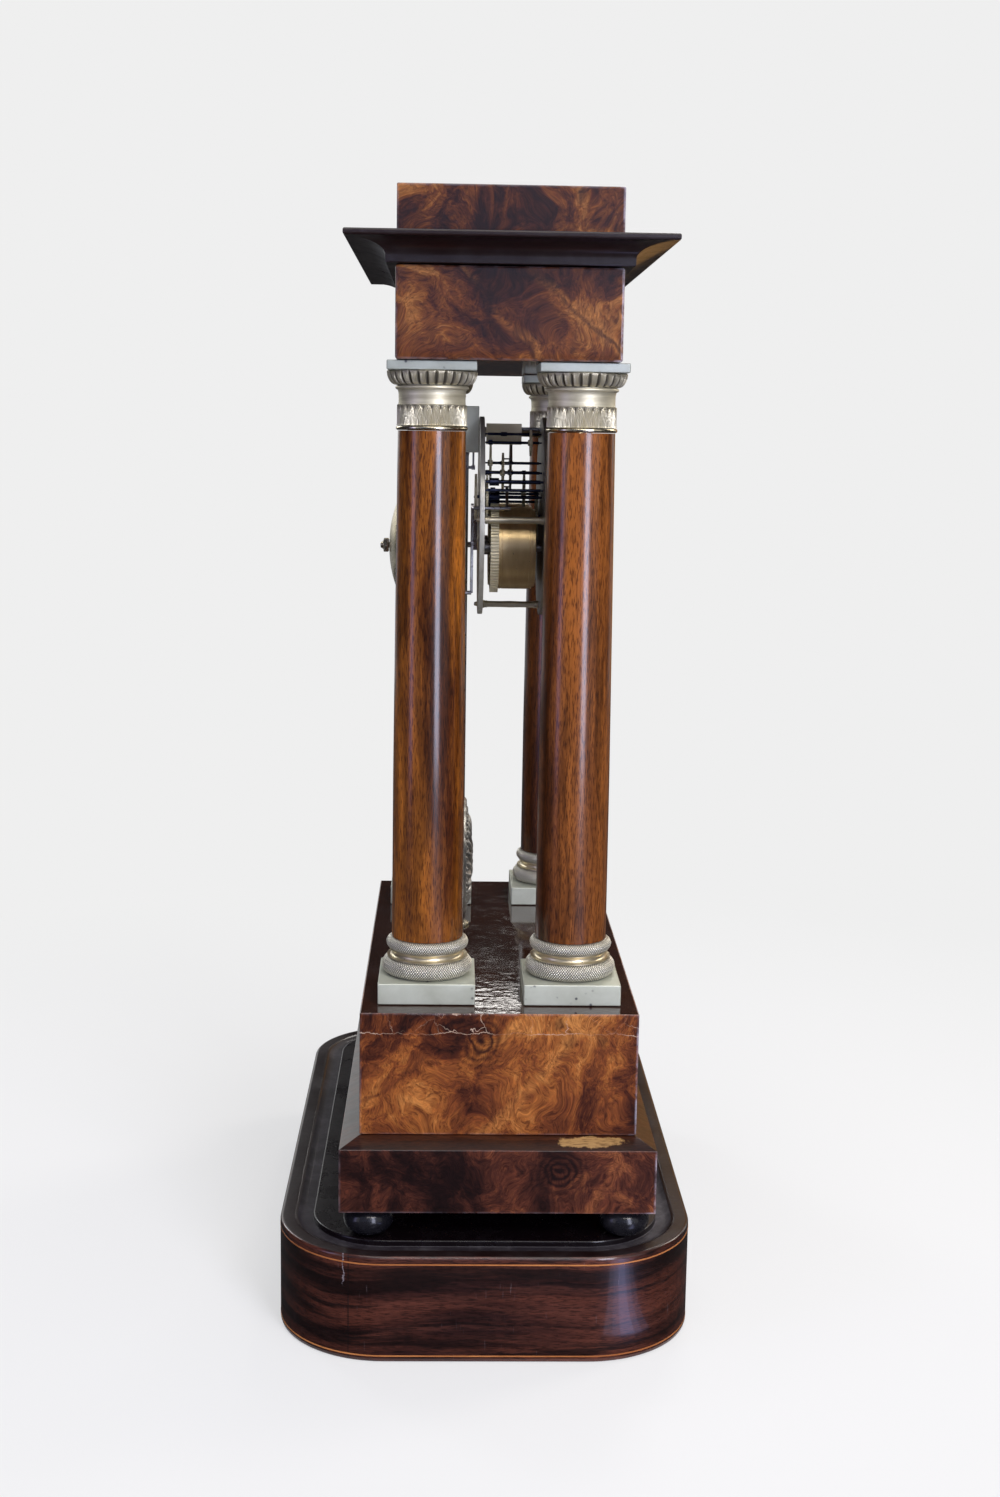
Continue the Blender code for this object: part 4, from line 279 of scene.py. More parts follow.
def joined(name, grids, tints=None, hollows=None):
    """One mesh from several grids of shape (rows, columns, 3); tints gives a finish number per row.

    hollows gives, for each grid, how deep every point lies in a relief, from 0 to 1 at the bottom.
    A grid whose volume comes out negative is inside out, so its faces are turned round."""
    points, faces, finish, depths = [], [], [], []
    start = 0
    for number, grid in enumerate(grids):
        rows, columns = grid.shape[:2]
        flat = grid.reshape(-1, 3)
        points.append(flat)
        corners = quads(rows, columns, start)
        a, b, c, d = (flat[corners[:, k] - start] for k in range(4))
        volume = np.einsum("ij,ij->i", a, np.cross(b, c) + np.cross(c, d)).sum()
        volume -= np.einsum("j,ij->i", flat.mean(0), np.cross(b - a, c - a) + np.cross(c - a, d - a)).sum()
        faces.append(corners if volume > 0 else corners[:, ::-1])
        shade = np.zeros(rows - 1, int) if tints is None or tints[number] is None else np.array(tints[number])
        finish.append(np.repeat(shade, columns))
        depth = 0.0 if hollows is None or hollows[number] is None else hollows[number]
        depths.append(np.broadcast_to(depth, (rows, columns)).reshape(-1))
        start += rows * columns
    points, faces, finish = np.concatenate(points), np.concatenate(faces), np.concatenate(finish)
    keys = np.round(points / MERGE).astype(np.int64)
    kept, where = np.unique(keys, axis=0, return_index=True, return_inverse=True)[1:]
    points, faces = points[kept], where.reshape(-1)[faces]
    mesh = bpy.data.meshes.new(name)
    mesh.from_pydata(points.tolist(), [], [tuple(dict.fromkeys(face)) for face in faces.tolist()])
    mesh.polygons.foreach_set("material_index", finish.astype(np.int32))
    if hollows is not None:
        sunken = np.concatenate(depths)[kept].astype(np.float32)
        mesh.attributes.new("hollow", "FLOAT", "POINT").data.foreach_set("value", sunken)
    mesh.update()
    if mesh.validate():
        print(name, "had faces that folded to nothing")
    return mesh


print("grids join within", MERGE, "m")

# %% [markdown]
# A finished mesh takes the place of a imported solid. It rides on the same body, so that it moves
# as the solid would. Smooth shading with marked sharp edges and weighted normals keeps flat
# faces flat beside their rounded arrises.

# %% Dressing a node
def dress(mesh, nodes, finishes, body=None, sharp=35):
    """Stands a mesh in for CAD nodes: it rides their body, takes its finishes and hides the nodes."""
    nodes = [nodes] if isinstance(nodes, str) else list(nodes)
    obj = bpy.data.objects.new(mesh.name, mesh)
    scene.collection.objects.link(obj)
    for finish in finishes:
        mesh.materials.append(finish)
    mesh.shade_smooth()
    mesh.set_sharp_from_angle(angle=math.radians(sharp))
    even = obj.modifiers.new("even_shading", "WEIGHTED_NORMAL")
    even.keep_sharp = True
    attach(obj, body or body_of_node[nodes[0]])
    if nodes:
        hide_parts(*nodes)
    return obj


def corners_of(node):
    """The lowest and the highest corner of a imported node."""
    low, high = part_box(node)
    return np.array(low), np.array(high)


print("bodies to ride on", sorted(set(body_of_node.values())))

# %% [markdown]
# Two kinds of sweep make most of the case. A turned piece carries its profile round an
# upright axis, and may have a relief added to its radius. A block carries its profile round a
# rectangle with rounded corners, which gives every arris a small radius that catches light.

# %% Profiles
TIGHTEST = 0.00008


def arc(centre, radius, start, stop, steps):
    """Points on a circle from one angle in degrees to another."""
    angle = np.radians(np.linspace(start, stop, steps + 1))
    return np.stack([centre[0] + radius * np.cos(angle), centre[1] + radius * np.sin(angle)], -1)


def path_of(*pieces):
    """Points and runs of points, one after another, as one profile."""
    return np.concatenate([np.atleast_2d(np.array(piece, float)) for piece in pieces])


def turned(profile, around, centre, relief=None):
    """radius(row), height(row) turned round an upright axis; relief(row, angle) adds to the radius."""
    profile = np.asarray(profile, float)
    angle = np.linspace(0, 2 * np.pi, around, endpoint=False)
    radius = profile[:, :1] + (0 if relief is None else relief)
    radius = np.broadcast_to(radius, (len(profile), around))
    height = np.broadcast_to(profile[:, 1:2], radius.shape)
    return np.stack([radius * np.cos(angle), radius * np.sin(angle), height], -1) + np.asarray(centre)


def ring_points(length, depth, corner, steps):
    """Points round a rectangle with rounded corners."""
    points = []
    for quarter, (side_x, side_y) in enumerate(((1, 1), (-1, 1), (-1, -1), (1, -1))):
        turn = np.pi / 2 * (quarter + np.arange(steps + 1) / steps)
        middle_x, middle_y = side_x * (length / 2 - corner), side_y * (depth / 2 - corner)
        points.append(np.stack([middle_x + corner * np.cos(turn), middle_y + corner * np.sin(turn)], -1))
    return np.concatenate(points)


def block(centre, length, depth, profile, corner, steps=6):
    """A profile of (inset, height) carried round the rectangle; insets past the corner keep it tiny."""
    rows = []
    for inset, height in profile:
        tight = max(corner - inset, TIGHTEST)
        ring = ring_points(length - 2 * inset, depth - 2 * inset, tight, steps)
        rows.append(np.column_stack([ring, np.full(len(ring), height)]))
    closed = [np.broadcast_to(row.mean(0), row.shape) for row in (rows[0], rows[-1])]
    return np.stack([closed[0], *rows, closed[1]]) + np.asarray(centre)


print("profiles turn round an axis or run round a block")

# %% [markdown]
# A finish is built from few things: noise for clouds and grain, ramps and blends for colour, and
# a little arithmetic. All patterns read Object coordinates, which are metres on the clock, so a
# pattern's size is a real size and nothing slides when a piece moves.

# %% Places and noise
def begin(name):
    """A new finish, its node tree and its shader."""
    made = bpy.data.materials.new(name)
    made.use_nodes = True
    return made, made.node_tree, made.node_tree.nodes["Principled BSDF"]


def mapped(tree, scale=(1, 1, 1), shift=(0, 0, 0)):
    """Object coordinates, stretched and moved."""
    where = add(tree, "TexCoord").outputs["Object"]
    return add(tree, "Mapping", Vector=where, Location=shift, Scale=scale).outputs[0]


def stretched(tree, where, scale, turn=(0, 0, 0)):
    """Coordinates stretched along their axes, then turned."""
    return add(tree, "Mapping", Vector=where, Rotation=turn, Scale=scale).outputs[0]


def drawn_out(along, share):
    """Scales that draw a pattern out along an axis, by a share near 1."""
    return tuple(1 - share * value for value in along)


def noise(tree, where, scale, detail=4, rough=0.55, bend=0.0, out=0):
    """A cloudy number between 0 and 1, or with out=1 three of them as a colour."""
    made = add(tree, "TexNoise", Vector=where, Scale=scale, Detail=detail, Roughness=rough, Distortion=bend)
    return made.outputs[out]


def bent(tree, where, scale, reach):
    """The coordinates pushed about by a slow noise."""
    colour = noise(tree, where, scale, 3, out=1)
    centred = add(tree, "VectorMath", {"operation": "SUBTRACT"}, s0=colour, s1=(0.5, 0.5, 0.5)).outputs[0]
    push = {"operation": "MULTIPLY_ADD"}
    return add(tree, "VectorMath", push, s0=centred, s1=(reach, reach, reach), s2=where).outputs[0]


print("places and noise ready")

# %% [markdown]
# Colour and arithmetic come next. A grey node stretches a range of numbers to another range,
# which is how a pattern is made stronger, weaker or cut off; a blend lays one colour over
# another; and a bump lets a height tilt the shading.

# %% Colours and sums
def ramp(tree, amount, stops):
    """Colours at places from 0 to 1, blended between."""
    made = add(tree, "ValToRGB", Fac=amount)
    bar = made.color_ramp
    while len(bar.elements) < len(stops):
        bar.elements.new(0.5)
    for element, (place, colour) in zip(bar.elements, stops):
        element.position, element.color = place, (*colour, 1)
    return made.outputs[0]


def grey(tree, amount, low, high, dark=0.0, light=1.0):
    """A number that goes from dark to light as the amount goes from low to high."""
    return add(tree, "MapRange", Value=amount, s1=low, s2=high, s3=dark, s4=light).outputs[0]


def blend(tree, amount, first, second, mode="MIX"):
    """The first colour, turning into the second as the amount goes from 0 to 1."""
    return add(tree, "Mix", {"data_type": "RGBA", "blend_type": mode}, s0=amount, s6=first, s7=second).outputs[2]


def sums(tree, operation, *amounts):
    """One step of arithmetic on numbers or outputs."""
    sockets = {"s%d" % place: amount for place, amount in enumerate(amounts)}
    return add(tree, "Math", {"operation": operation}, **sockets).outputs[0]


def times(tree, *amounts):
    """All amounts multiplied."""
    return functools.reduce(lambda product, amount: sums(tree, "MULTIPLY", product, amount), amounts)


def weighted(tree, *pairs):
    """The sum of amounts, each times its own weight."""
    parts = [times(tree, amount, weight) for amount, weight in pairs]
    return functools.reduce(lambda total, part: sums(tree, "ADD", total, part), parts)


def bumped(tree, shader, height, strength, distance):
    """Lets a height tilt the shading, as fine waves in a surface would."""
    settle(shader, Normal=add(tree, "Bump", Height=height, Strength=strength, Distance=distance).outputs[0])


print("colours and sums ready")

# %% [markdown]
# Burr veneer is cut from a knot of the tree, so its grain swirls, darkens in clouds and holds
# small eyes. Waves whose own coordinates are pushed about by noise give the growth lines. Rings
# round a point give an eye where a twig grew, and single veins are lines bent by the same noise.

# %% Marks in burr veneer
NEAR_END = -0.149
EYE_RING = 0.0032


def lines_of(tree, where, scale, bend, detail=3):
    """Waves along the diagonal of the coordinates, bent by noise: the wood's growth lines."""
    bands = {"bands_direction": "DIAGONAL"}
    made = add(tree, "TexWave", bands, Vector=where, Scale=scale, Distortion=bend, Detail=detail,
               Detail_Scale=2.0, Detail_Roughness=0.62)
    return made.outputs["Fac"]


def eye_of(tree, where, centre, size):
    """Rings round a point: the sine of the distance, fading out as the distance grows."""
    away = add(tree, "VectorMath", {"operation": "DISTANCE"}, s0=where, s1=centre).outputs["Value"]
    rings = sums(tree, "SINE", times(tree, away, 2 * math.pi / EYE_RING))
    return times(tree, grey(tree, rings, -1, 1, 0.15, 1), grey(tree, away, size * 0.35, size, 1, 0))


def vein_of(tree, where, start, stop):
    """Signed distance from a line that runs from start to stop on the end of the case, as (y, z)."""
    start, stop = np.array(start), np.array(stop)
    across = np.array([-(stop - start)[1], (stop - start)[0]]) / np.linalg.norm(stop - start)
    lean = 0.25 * across[0]
    made = add(tree, "VectorMath", {"operation": "DOT_PRODUCT"}, s0=where, s1=(lean, *across))
    return sums(tree, "SUBTRACT", made.outputs["Value"], float(across @ start) + lean * NEAR_END)


def line_at(tree, distance, half):
    """1 on a line and 0 beyond its half width."""
    return grey(tree, sums(tree, "ABSOLUTE", distance), half * 0.3, half, 1, 0)


# %% [markdown]
# Two marks lie over the veneer. Old polish cracks into a fine net where damp got under
# it, here in a band below the plinth's top. Every edge that hands and cloths touched is worn
# pale and carries a painted bluish highlight, strongest on the right; the edges are found from
# the distances to the block's own faces.

# %% Cracks, and worn edges with a painted highlight
CRACK_PALE = (0.42, 0.30, 0.22, 1)
# Pale bluish edge colour: part wear, part painted highlight.
WORN_PALE_AND_HIGHLIGHT = (0.46, 0.44, 0.52, 1)


def crackle(tree, where, base, level, depth):
    """Thin pale cracks: the edges of bent cells, in a band that reaches down from a level."""
    height = add(tree, "SeparateXYZ", Vector=where).outputs["Z"]
    wander = sums(tree, "MULTIPLY_ADD", noise(tree, where, 90, 4, 0.7), 0.006, height)
    main = line_at(tree, sums(tree, "SUBTRACT", wander, level - depth + 0.003), 0.00022)
    place = bent(tree, where, 160, 0.008)
    cells = add(tree, "TexVoronoi", {"feature": "DISTANCE_TO_EDGE"}, Vector=place, Scale=62).outputs["Distance"]
    band = grey(tree, height, level - depth, level - depth + 0.001)
    net = times(tree, grey(tree, cells, 0.004, 0.010, 1, 0), band)
    some = grey(tree, noise(tree, where, 34, 2), 0.40, 0.52, 0.15, 0.9)
    return blend(tree, times(tree, sums(tree, "MAXIMUM", main, net), some), base, CRACK_PALE)


def rubbed_and_highlit(tree, base, node, strength):
    """Edges worn pale with a painted bluish highlight: where two of the distances to its faces are near 0."""
    low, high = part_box(node)
    centre = tuple(-(a + b) / 2 for a, b in zip(low, high))
    place = add(tree, "SeparateXYZ", Vector=mapped(tree, shift=centre))
    left = [
        sums(tree, "SUBTRACT", (b - a) / 2, sums(tree, "ABSOLUTE", place.outputs[axis]))
        for axis, a, b in zip("XYZ", low, high)
    ]
    upright = sums(tree, "MAXIMUM", left[0], left[1])
    level = sums(tree, "MAXIMUM", sums(tree, "MINIMUM", left[0], left[1]), left[2])
    edge = grey(tree, sums(tree, "MINIMUM", upright, level), 0.0003, 0.0012, 1, 0)
    some = grey(tree, noise(tree, mapped(tree), 90, 5, 0.75), 0.42, 0.58, 0.1, 1)
    # The right side gets the strongest pale edge: a painted highlight.
    right = (low[1] - high[1]) / 2
    most = grey(tree, place.outputs["Y"], right + 0.002, right + 0.005, 1, 0.2)
    return blend(tree, times(tree, edge, some, times(tree, most, strength)), base, WORN_PALE_AND_HIGHLIGHT)


# %% [markdown]
# The veneer itself adds up growth lines of two sizes, a fine mottle and slow clouds to one tone,
# and a ramp of five wood colours turns that tone into a surface. Eyes, veins, pores, cracks and
# worn edges with a painted highlight come over it, and a clear coat over all of them.

# %% Burr veneer
TONE_STOPS = (0.24, 0.39, 0.52, 0.65, 0.80)
MIDDLE_STOP = TONE_STOPS[2]


def burr_veneer(name, shift, tones, slant, eyes=(), veins=(), cracked=None, sharp=1.0, wear_and_highlight=0.5):
    """Tone = weighted sum of lines, mottle and clouds; sharp draws the colours closer together."""
    made, tree, shader = begin(name)
    plain, flat = mapped(tree), mapped(tree, shift=shift)
    where = bent(tree, bent(tree, flat, 12, 0.10), 45, 0.022)
    flow = stretched(tree, where, (1, 1, 1), (slant, 0, 0))
    mottle = noise(tree, where, 120, 5, 0.68, 1.0)
    cloud = noise(tree, flat, 16, 3, 0.5, 0.5)
    tone = weighted(
        tree, (lines_of(tree, flow, 3.2, 3.5), 0.20), (lines_of(tree, flow, 19, 5), 0.17),
        (grey(tree, mottle, 0.3, 0.7), 0.30), (grey(tree, cloud, 0.32, 0.68), 0.33),
    )
    places = [MIDDLE_STOP + (place - MIDDLE_STOP) / sharp for place in TONE_STOPS]
    base = ramp(tree, tone, tuple(zip(places, tones)))
    for start, stop, half, pick in veins:
        away = vein_of(tree, bent(tree, bent(tree, plain, 22, 0.022), 90, 0.006), start, stop)
        broken = grey(tree, mottle, 0.36, 0.62, 0.1, 0.85)
        vein = times(tree, line_at(tree, away, half), broken, grey(tree, cloud, 0.3, 0.5))
        base = blend(tree, vein, base, (*tones[pick], 1))
    for centre, size in eyes:
        rings = eye_of(tree, bent(tree, plain, 60, 0.012), centre, size)
        base = blend(tree, rings, base, (*tones[0], 1))
    eye = add(tree, "TexVoronoi", Vector=where, Scale=38).outputs["Distance"]
    rare = grey(tree, noise(tree, flat, 26, 1), 0.5, 0.6)
    base = blend(tree, times(tree, grey(tree, eye, 0.05, 0.2, 1, 0), rare), base, (*tones[0], 1))
    fibre = noise(tree, stretched(tree, flow, (1, 3.2, 1)), 340, 4, 0.75)
    base = blend(tree, grey(tree, fibre, 0.5, 0.64, 0, 0.75), base, (0.22, 0.14, 0.11, 1), "MULTIPLY")
    base = blend(tree, grey(tree, fibre, 0.47, 0.36, 0, 0.5), base, (1.9, 1.8, 1.6, 1), "MULTIPLY")
    if cracked:
        base = crackle(tree, plain, base, *cracked)
    # Pale edges: wear with a painted highlight over it.
    base = rubbed_and_highlit(tree, base, name.replace("burr_", ""), wear_and_highlight)
    settle(shader, Base_Color=base, Roughness=grey(tree, fibre, 0.3, 0.8, 0.3, 0.4),
           Specular_IOR_Level=0.12, Coat_Weight=0.8, Coat_Roughness=0.07)
    wave = sums(tree, "ADD", noise(tree, flat, 55, 3), times(tree, fibre, 0.2))
    bumped(tree, shader, wave, 0.1, 0.0005)
    return made


# %% [markdown]
# Four burr panels are cut from different places of one pattern, so each gets its own shift and
# slant. Their colours run from the darkest line to the palest streak. A vein or an eye that the
# photograph shows is placed by shares of the end it lies on, so it follows the block's size.

# %% Four burr panels
WARM = (
    (0.016, 0.004, 0.0025), (0.060, 0.014, 0.005), (0.138, 0.037, 0.009), (0.225, 0.070, 0.014), (0.36, 0.142, 0.034),
)
RED = (
    (0.008, 0.0025, 0.0025), (0.020, 0.0055, 0.004), (0.044, 0.012, 0.007), (0.075, 0.020, 0.010), (0.16, 0.050, 0.018),
)
BROWN = tuple(tuple(value * share for value in tone) for tone, share in zip(WARM, (0.8, 0.62, 0.54, 0.54, 0.66)))
DARKEST, PALEST = 0, 4


def on_end(node, across, down):
    """A place on a node's near end, as shares from its left edge and its top: (y, z)."""
    low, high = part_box(node)
    return high[1] - across * (high[1] - low[1]), high[2] - down * (high[2] - low[2])


def vein(node, start, stop, half, tone):
    """A vein between two places on a node's near end, its half width and the number of its tone."""
    return on_end(node, *start), on_end(node, *stop), half, tone


box_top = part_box("plinth_box")[1][2]
slab_eye = (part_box("lower_plinth")[0][0], *on_end("lower_plinth", 0.69, 0.42))
box_eye = (NEAR_END + 0.006, 0.004, 0.148)
box_veins = (
    vein("plinth_box", (0.36, 0.15), (0.0, 0.72), 0.0018, 1),
    vein("plinth_box", (0.72, 0.30), (0.42, 1.0), 0.0040, PALEST),
)
entablature_veins = (
    vein("entablature", (0.48, 0.0), (0.98, 0.95), 0.0034, PALEST),
    vein("entablature", (0.22, 0.0), (0.55, 1.0), 0.0026, PALEST),
    vein("entablature", (0.45, -0.05), (0.95, 0.9), 0.0012, DARKEST),
    vein("entablature", (0.19, 0.0), (0.52, 1.0), 0.0010, DARKEST),
)
burr = {
    "lower_plinth": burr_veneer(
        "burr_lower_plinth", (0.13, 0.02, 0.31), RED, 1.2, ((slab_eye, 0.017),), sharp=1.1),
    "plinth_box": burr_veneer(
        "burr_plinth_box", (0.71, 0.33, 0.05), WARM, 0.3, ((box_eye, 0.018),), box_veins, (box_top, 0.0095), 0.9),
    "entablature": burr_veneer(
        "burr_entablature", (0.29, 0.91, 0.44), BROWN, -0.9, (), entablature_veins, sharp=1.2, wear_and_highlight=0.9),
    "attic_block": burr_veneer("burr_attic_block", (0.55, 0.12, 0.83), BROWN, 0.9, sharp=1.6, wear_and_highlight=0.7),
}
print("burr panels", sorted(burr))

# %% [markdown]
# Straight-grained wood is one noise drawn out along the tree's length at several scales, with
# short dark pores. The same few lines make rosewood, the stained columns and pale boxwood: only
# the two colours, the direction and the strength of the streaks change.

# %% Straight grain
PORE_DARK = (0.16, 0.10, 0.08, 1)


def plain_grain(name, light, dark, along, shift=(0, 0, 0), coat=0.5, haze=0.1, rough=0.34, gloss=0.15,
                pores=0.6, streaks=0.0, ripple=0.06, marks=None):
    """Tone = weighted sum of three drawn-out noises; marks adds marks of its own: a chip on one wood, a joint and
    painted shade on another.
    """
    made, tree, shader = begin(name)
    plain = mapped(tree, shift=shift)
    where = stretched(tree, bent(tree, plain, 9, 0.016), drawn_out(along, 0.95))
    cloud = noise(tree, stretched(tree, plain, drawn_out(along, 0.7)), 22, 3, 0.5)
    broad = noise(tree, where, 75, 4, 0.55, 0.3)
    fine = noise(tree, where, 420, 3, 0.65)
    tone = weighted(tree, (cloud, 0.45), (broad, 0.33), (fine, 0.22))
    middle = tuple((a + b) / 2 for a, b in zip(light, dark))
    base = ramp(tree, tone, ((0.39, dark), (0.5, middle), (0.60, light)))
    if streaks:
        band = noise(tree, where, 105, 4, 0.62, 0.6)
        deep = (*(value * 0.3 for value in dark), 1)
        base = blend(tree, grey(tree, band, 0.5, 0.58, 0, streaks), base, deep)
    if marks:
        base = marks(tree, mapped(tree), base)
    pore = noise(tree, stretched(tree, plain, drawn_out(along, 0.9)), 2300, 2, 0.5)
    base = blend(tree, grey(tree, pore, 0.50, 0.61, 0, pores), base, PORE_DARK, "MULTIPLY")
    settle(shader, Base_Color=base, Roughness=grey(tree, fine, 0.3, 0.7, rough, rough + 0.1),
           Specular_IOR_Level=gloss, Coat_Weight=coat, Coat_Roughness=haze)
    polish = noise(tree, stretched(tree, plain, drawn_out(along, 0.6)), 150, 3, 0.6)
    bumped(tree, shader, sums(tree, "ADD", polish, times(tree, pore, 0.3)), ripple, 0.0005)
    return made


# %% [markdown]
# Two worn places matter because the eye goes to them: a golden chip where the ramp meets the
# box, and, on the dome's base, the joint of two strips of veneer with a short crack beside it.
# Both are drawn by distance from a place, so they stay put when the pattern changes.

# %% A chip and a joint
CHIP_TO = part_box("plinth_box")[0]
CHIP = (CHIP_TO[0] - 0.004, on_end("plinth_box", 0.83, 1)[0], CHIP_TO[2] - 0.0012)
CHIP_GOLD = (0.46, 0.27, 0.10, 1)
JOINT_AT, CRACK_AT = 0.0637, 0.0690
JOINT_DARK, CRACK_GREY, SCRATCH_GREY = (0.006, 0.003, 0.003, 1), (0.30, 0.27, 0.30, 1), (0.20, 0.16, 0.17, 1)


def chipped(tree, where, base):
    """Gold within a ragged distance of the chip's place; the distance counts less across the clock."""
    away = add(tree, "VectorMath", {"operation": "SUBTRACT"}, s0=where, s1=CHIP).outputs[0]
    away = add(tree, "VectorMath", {"operation": "MULTIPLY"}, s0=away, s1=(1.0, 0.24, 1.0)).outputs[0]
    reach = add(tree, "VectorMath", {"operation": "LENGTH"}, s0=away).outputs["Value"]
    edge = sums(tree, "MULTIPLY_ADD", noise(tree, where, 210, 5, 0.7), 0.006, reach)
    return blend(tree, grey(tree, edge, 0.0062, 0.0071, 0.8, 0), base, CHIP_GOLD)


def jointed_and_shaded(tree, where, base):
    """A dark joint and a pale crack on the near end, fine scratches, and painted shade on the bent corners."""
    parts = add(tree, "SeparateXYZ", Vector=where)
    near = grey(tree, parts.outputs["X"], -0.15, -0.149, 1, 0)
    joint = line_at(tree, sums(tree, "SUBTRACT", parts.outputs["Y"], JOINT_AT), 0.0004)
    base = blend(tree, times(tree, joint, times(tree, near, 0.8)), base, JOINT_DARK)
    wander = sums(tree, "MULTIPLY_ADD", noise(tree, where, 150, 4, 0.7), 0.006, parts.outputs["Y"])
    crack = line_at(tree, sums(tree, "SUBTRACT", wander, CRACK_AT), 0.0003)
    short = times(tree, near, grey(tree, parts.outputs["Z"], 0.036, 0.038))
    base = blend(tree, times(tree, crack, times(tree, short, 0.8)), base, CRACK_GREY)
    thin = noise(tree, stretched(tree, where, (1.6, 1.6, 0.08)), 900, 2, 0.6)
    rare = grey(tree, noise(tree, where, 60, 3, 0.6), 0.54, 0.62)
    base = blend(tree, times(tree, grey(tree, thin, 0.66, 0.72, 0, 0.35), rare), base, SCRATCH_GREY)
    # Painted shade: the bent corners, which turn away from the lamps, are darkened.
    corners = grey(tree, sums(tree, "ABSOLUTE", parts.outputs["Y"]), 0.050, 0.085, 0, 0.6)
    return blend(tree, corners, base, (0.25, 0.20, 0.20, 1), "MULTIPLY")


# %% [markdown]
# The columns are the reddest wood on the clock and the most brightly polished. In the photograph
# the front pair is darker and its coat a little duller, so it gets a darker copy of the same wood, a
# painted shade, and a haze of its own.

# %% Plain woods
COLUMN = {"along": (0, 0, 1), "rough": 0.3, "pores": 0.75, "streaks": 0.5, "ripple": 0.14}
column_wood = plain_grain("column_wood", (0.40, 0.128, 0.013), (0.054, 0.012, 0.0016), coat=0.85, haze=0.15, **COLUMN)
# The front pair: the column wood darkened, a painted shade.
column_shaded = plain_grain(
    "column_shaded", (0.26, 0.080, 0.013), (0.034, 0.007, 0.0016), shift=(0.3, 0.1, 0.2), coat=0.8, haze=0.17, **COLUMN)
rosewood = plain_grain(
    "rosewood", (0.140, 0.036, 0.018), (0.020, 0.005, 0.004), (1, 1, 0), (0.2, 0.4, 0.1),
    coat=0.6, rough=0.3, gloss=0.3, pores=0.7, streaks=0.85, ripple=0.1, marks=jointed_and_shaded)
ramp_wood = plain_grain(
    "ramp_wood", (0.066, 0.018, 0.006), (0.016, 0.004, 0.002), (0, 1, 0), coat=0.6, streaks=0.5, marks=chipped)
boxwood = plain_grain("boxwood", (0.50, 0.20, 0.06), (0.30, 0.10, 0.03), (1, 1, 0), coat=0.3, pores=0.2)
print("woods", [finish.name for finish in (column_wood, column_shaded, rosewood, ramp_wood, boxwood)])

# %% [markdown]
# The black pieces are ebonised: stained dark and polished, with dust in the corners. The
# groove for the dome is worn back to a dull blue grey where glass has stood in it. The plinth's
# top is patchy instead: bright polish that years of dusting have dulled in streaks.

# %% Dark finishes
DUST_GREY = (0.16, 0.15, 0.16, 1)


def ebonised(name, tint, rough, dust, coat=0.5, uneven=0.16, patchy=False):
    """Near-black polish, dulled where the product of clouds and specks is high."""
    made, tree, shader = begin(name)
    where = mapped(tree)
    cloud = noise(tree, where, 28, 6, 0.65)
    speck = noise(tree, where, 260, 3, 0.7)
    worn = times(tree, grey(tree, cloud, 0.42, 0.72), grey(tree, speck, 0.35, 0.65, 0.4, 1))
    base = blend(tree, times(tree, worn, dust), (*tint, 1), DUST_GREY)
    dull = grey(tree, worn, 0, 1, rough, rough + (0.08 if patchy else 0.3))
    if patchy:
        fibres = noise(tree, mapped(tree, (1, 0.8, 1)), 170, 6, 0.8, 0.2)
        dull = sums(tree, "MAXIMUM", dull, grey(tree, fibres, 0.50, 0.60, rough, 0.15))
        ripple = noise(tree, mapped(tree, (1, 0.7, 1)), 105, 3, 0.6, 0.3)
        forward = add(tree, "SeparateXYZ", Vector=where).outputs["X"]
        relief = times(tree, ripple, grey(tree, forward, -0.115, -0.075, 1, 0.12))
    else:
        ripple = noise(tree, mapped(tree, (1, 0.7, 1)), 115, 4, 0.65, 0.5)
        relief = sums(tree, "ADD", ripple, times(tree, speck, 0.3))
    settle(shader, Base_Color=base, Roughness=dull, Coat_Weight=coat, Coat_Roughness=0.1,
           Specular_IOR_Level=0.4 if patchy else 0.2)
    bumped(tree, shader, relief, uneven, 0.0006)
    return made


black_polish = ebonised("black_polish", (0.004, 0.002, 0.003), 0.25, 0.06, 0.3)
foot_black = ebonised("foot_black", (0.005, 0.005, 0.007), 0.22, 0.12, 0.3)
rim_polish = ebonised("rim_polish", (0.010, 0.004, 0.004), 0.28, 0.12, 0.25)
worn_groove = ebonised("worn_groove", (0.018, 0.014, 0.018), 0.5, 0.75, 0.05)
cornice_polish = ebonised("cornice_polish", (0.010, 0.0036, 0.0034), 0.3, 0.06, 0.5)
plinth_top_polish = ebonised("plinth_top_polish", (0.030, 0.010, 0.005), 0.05, 0.10, 0.0, 0.5, True)
print("dark finishes ready")

# %% [markdown]
# Old gilt brass is warm where it is burnished, and dark in its hollows and round small pits; the
# pale grey green of its flat faces is partly a painted reflection of the pale room. Steel in a clock
# is either bright or blued by heat. All of them are one recipe: two colours, a roughness, and how
# strong the clouds, the specks and the hollows are.

# %% Metals
PIT_DARK, HOLLOW_DARK = (0.05, 0.05, 0.06, 1), (0.05, 0.043, 0.03, 1)


def sunk(relief):
    """How deep each point lies in a relief, from 0 on its ridges to 1 at the bottom."""
    return (relief.max() - relief) / (relief.max() - relief.min())


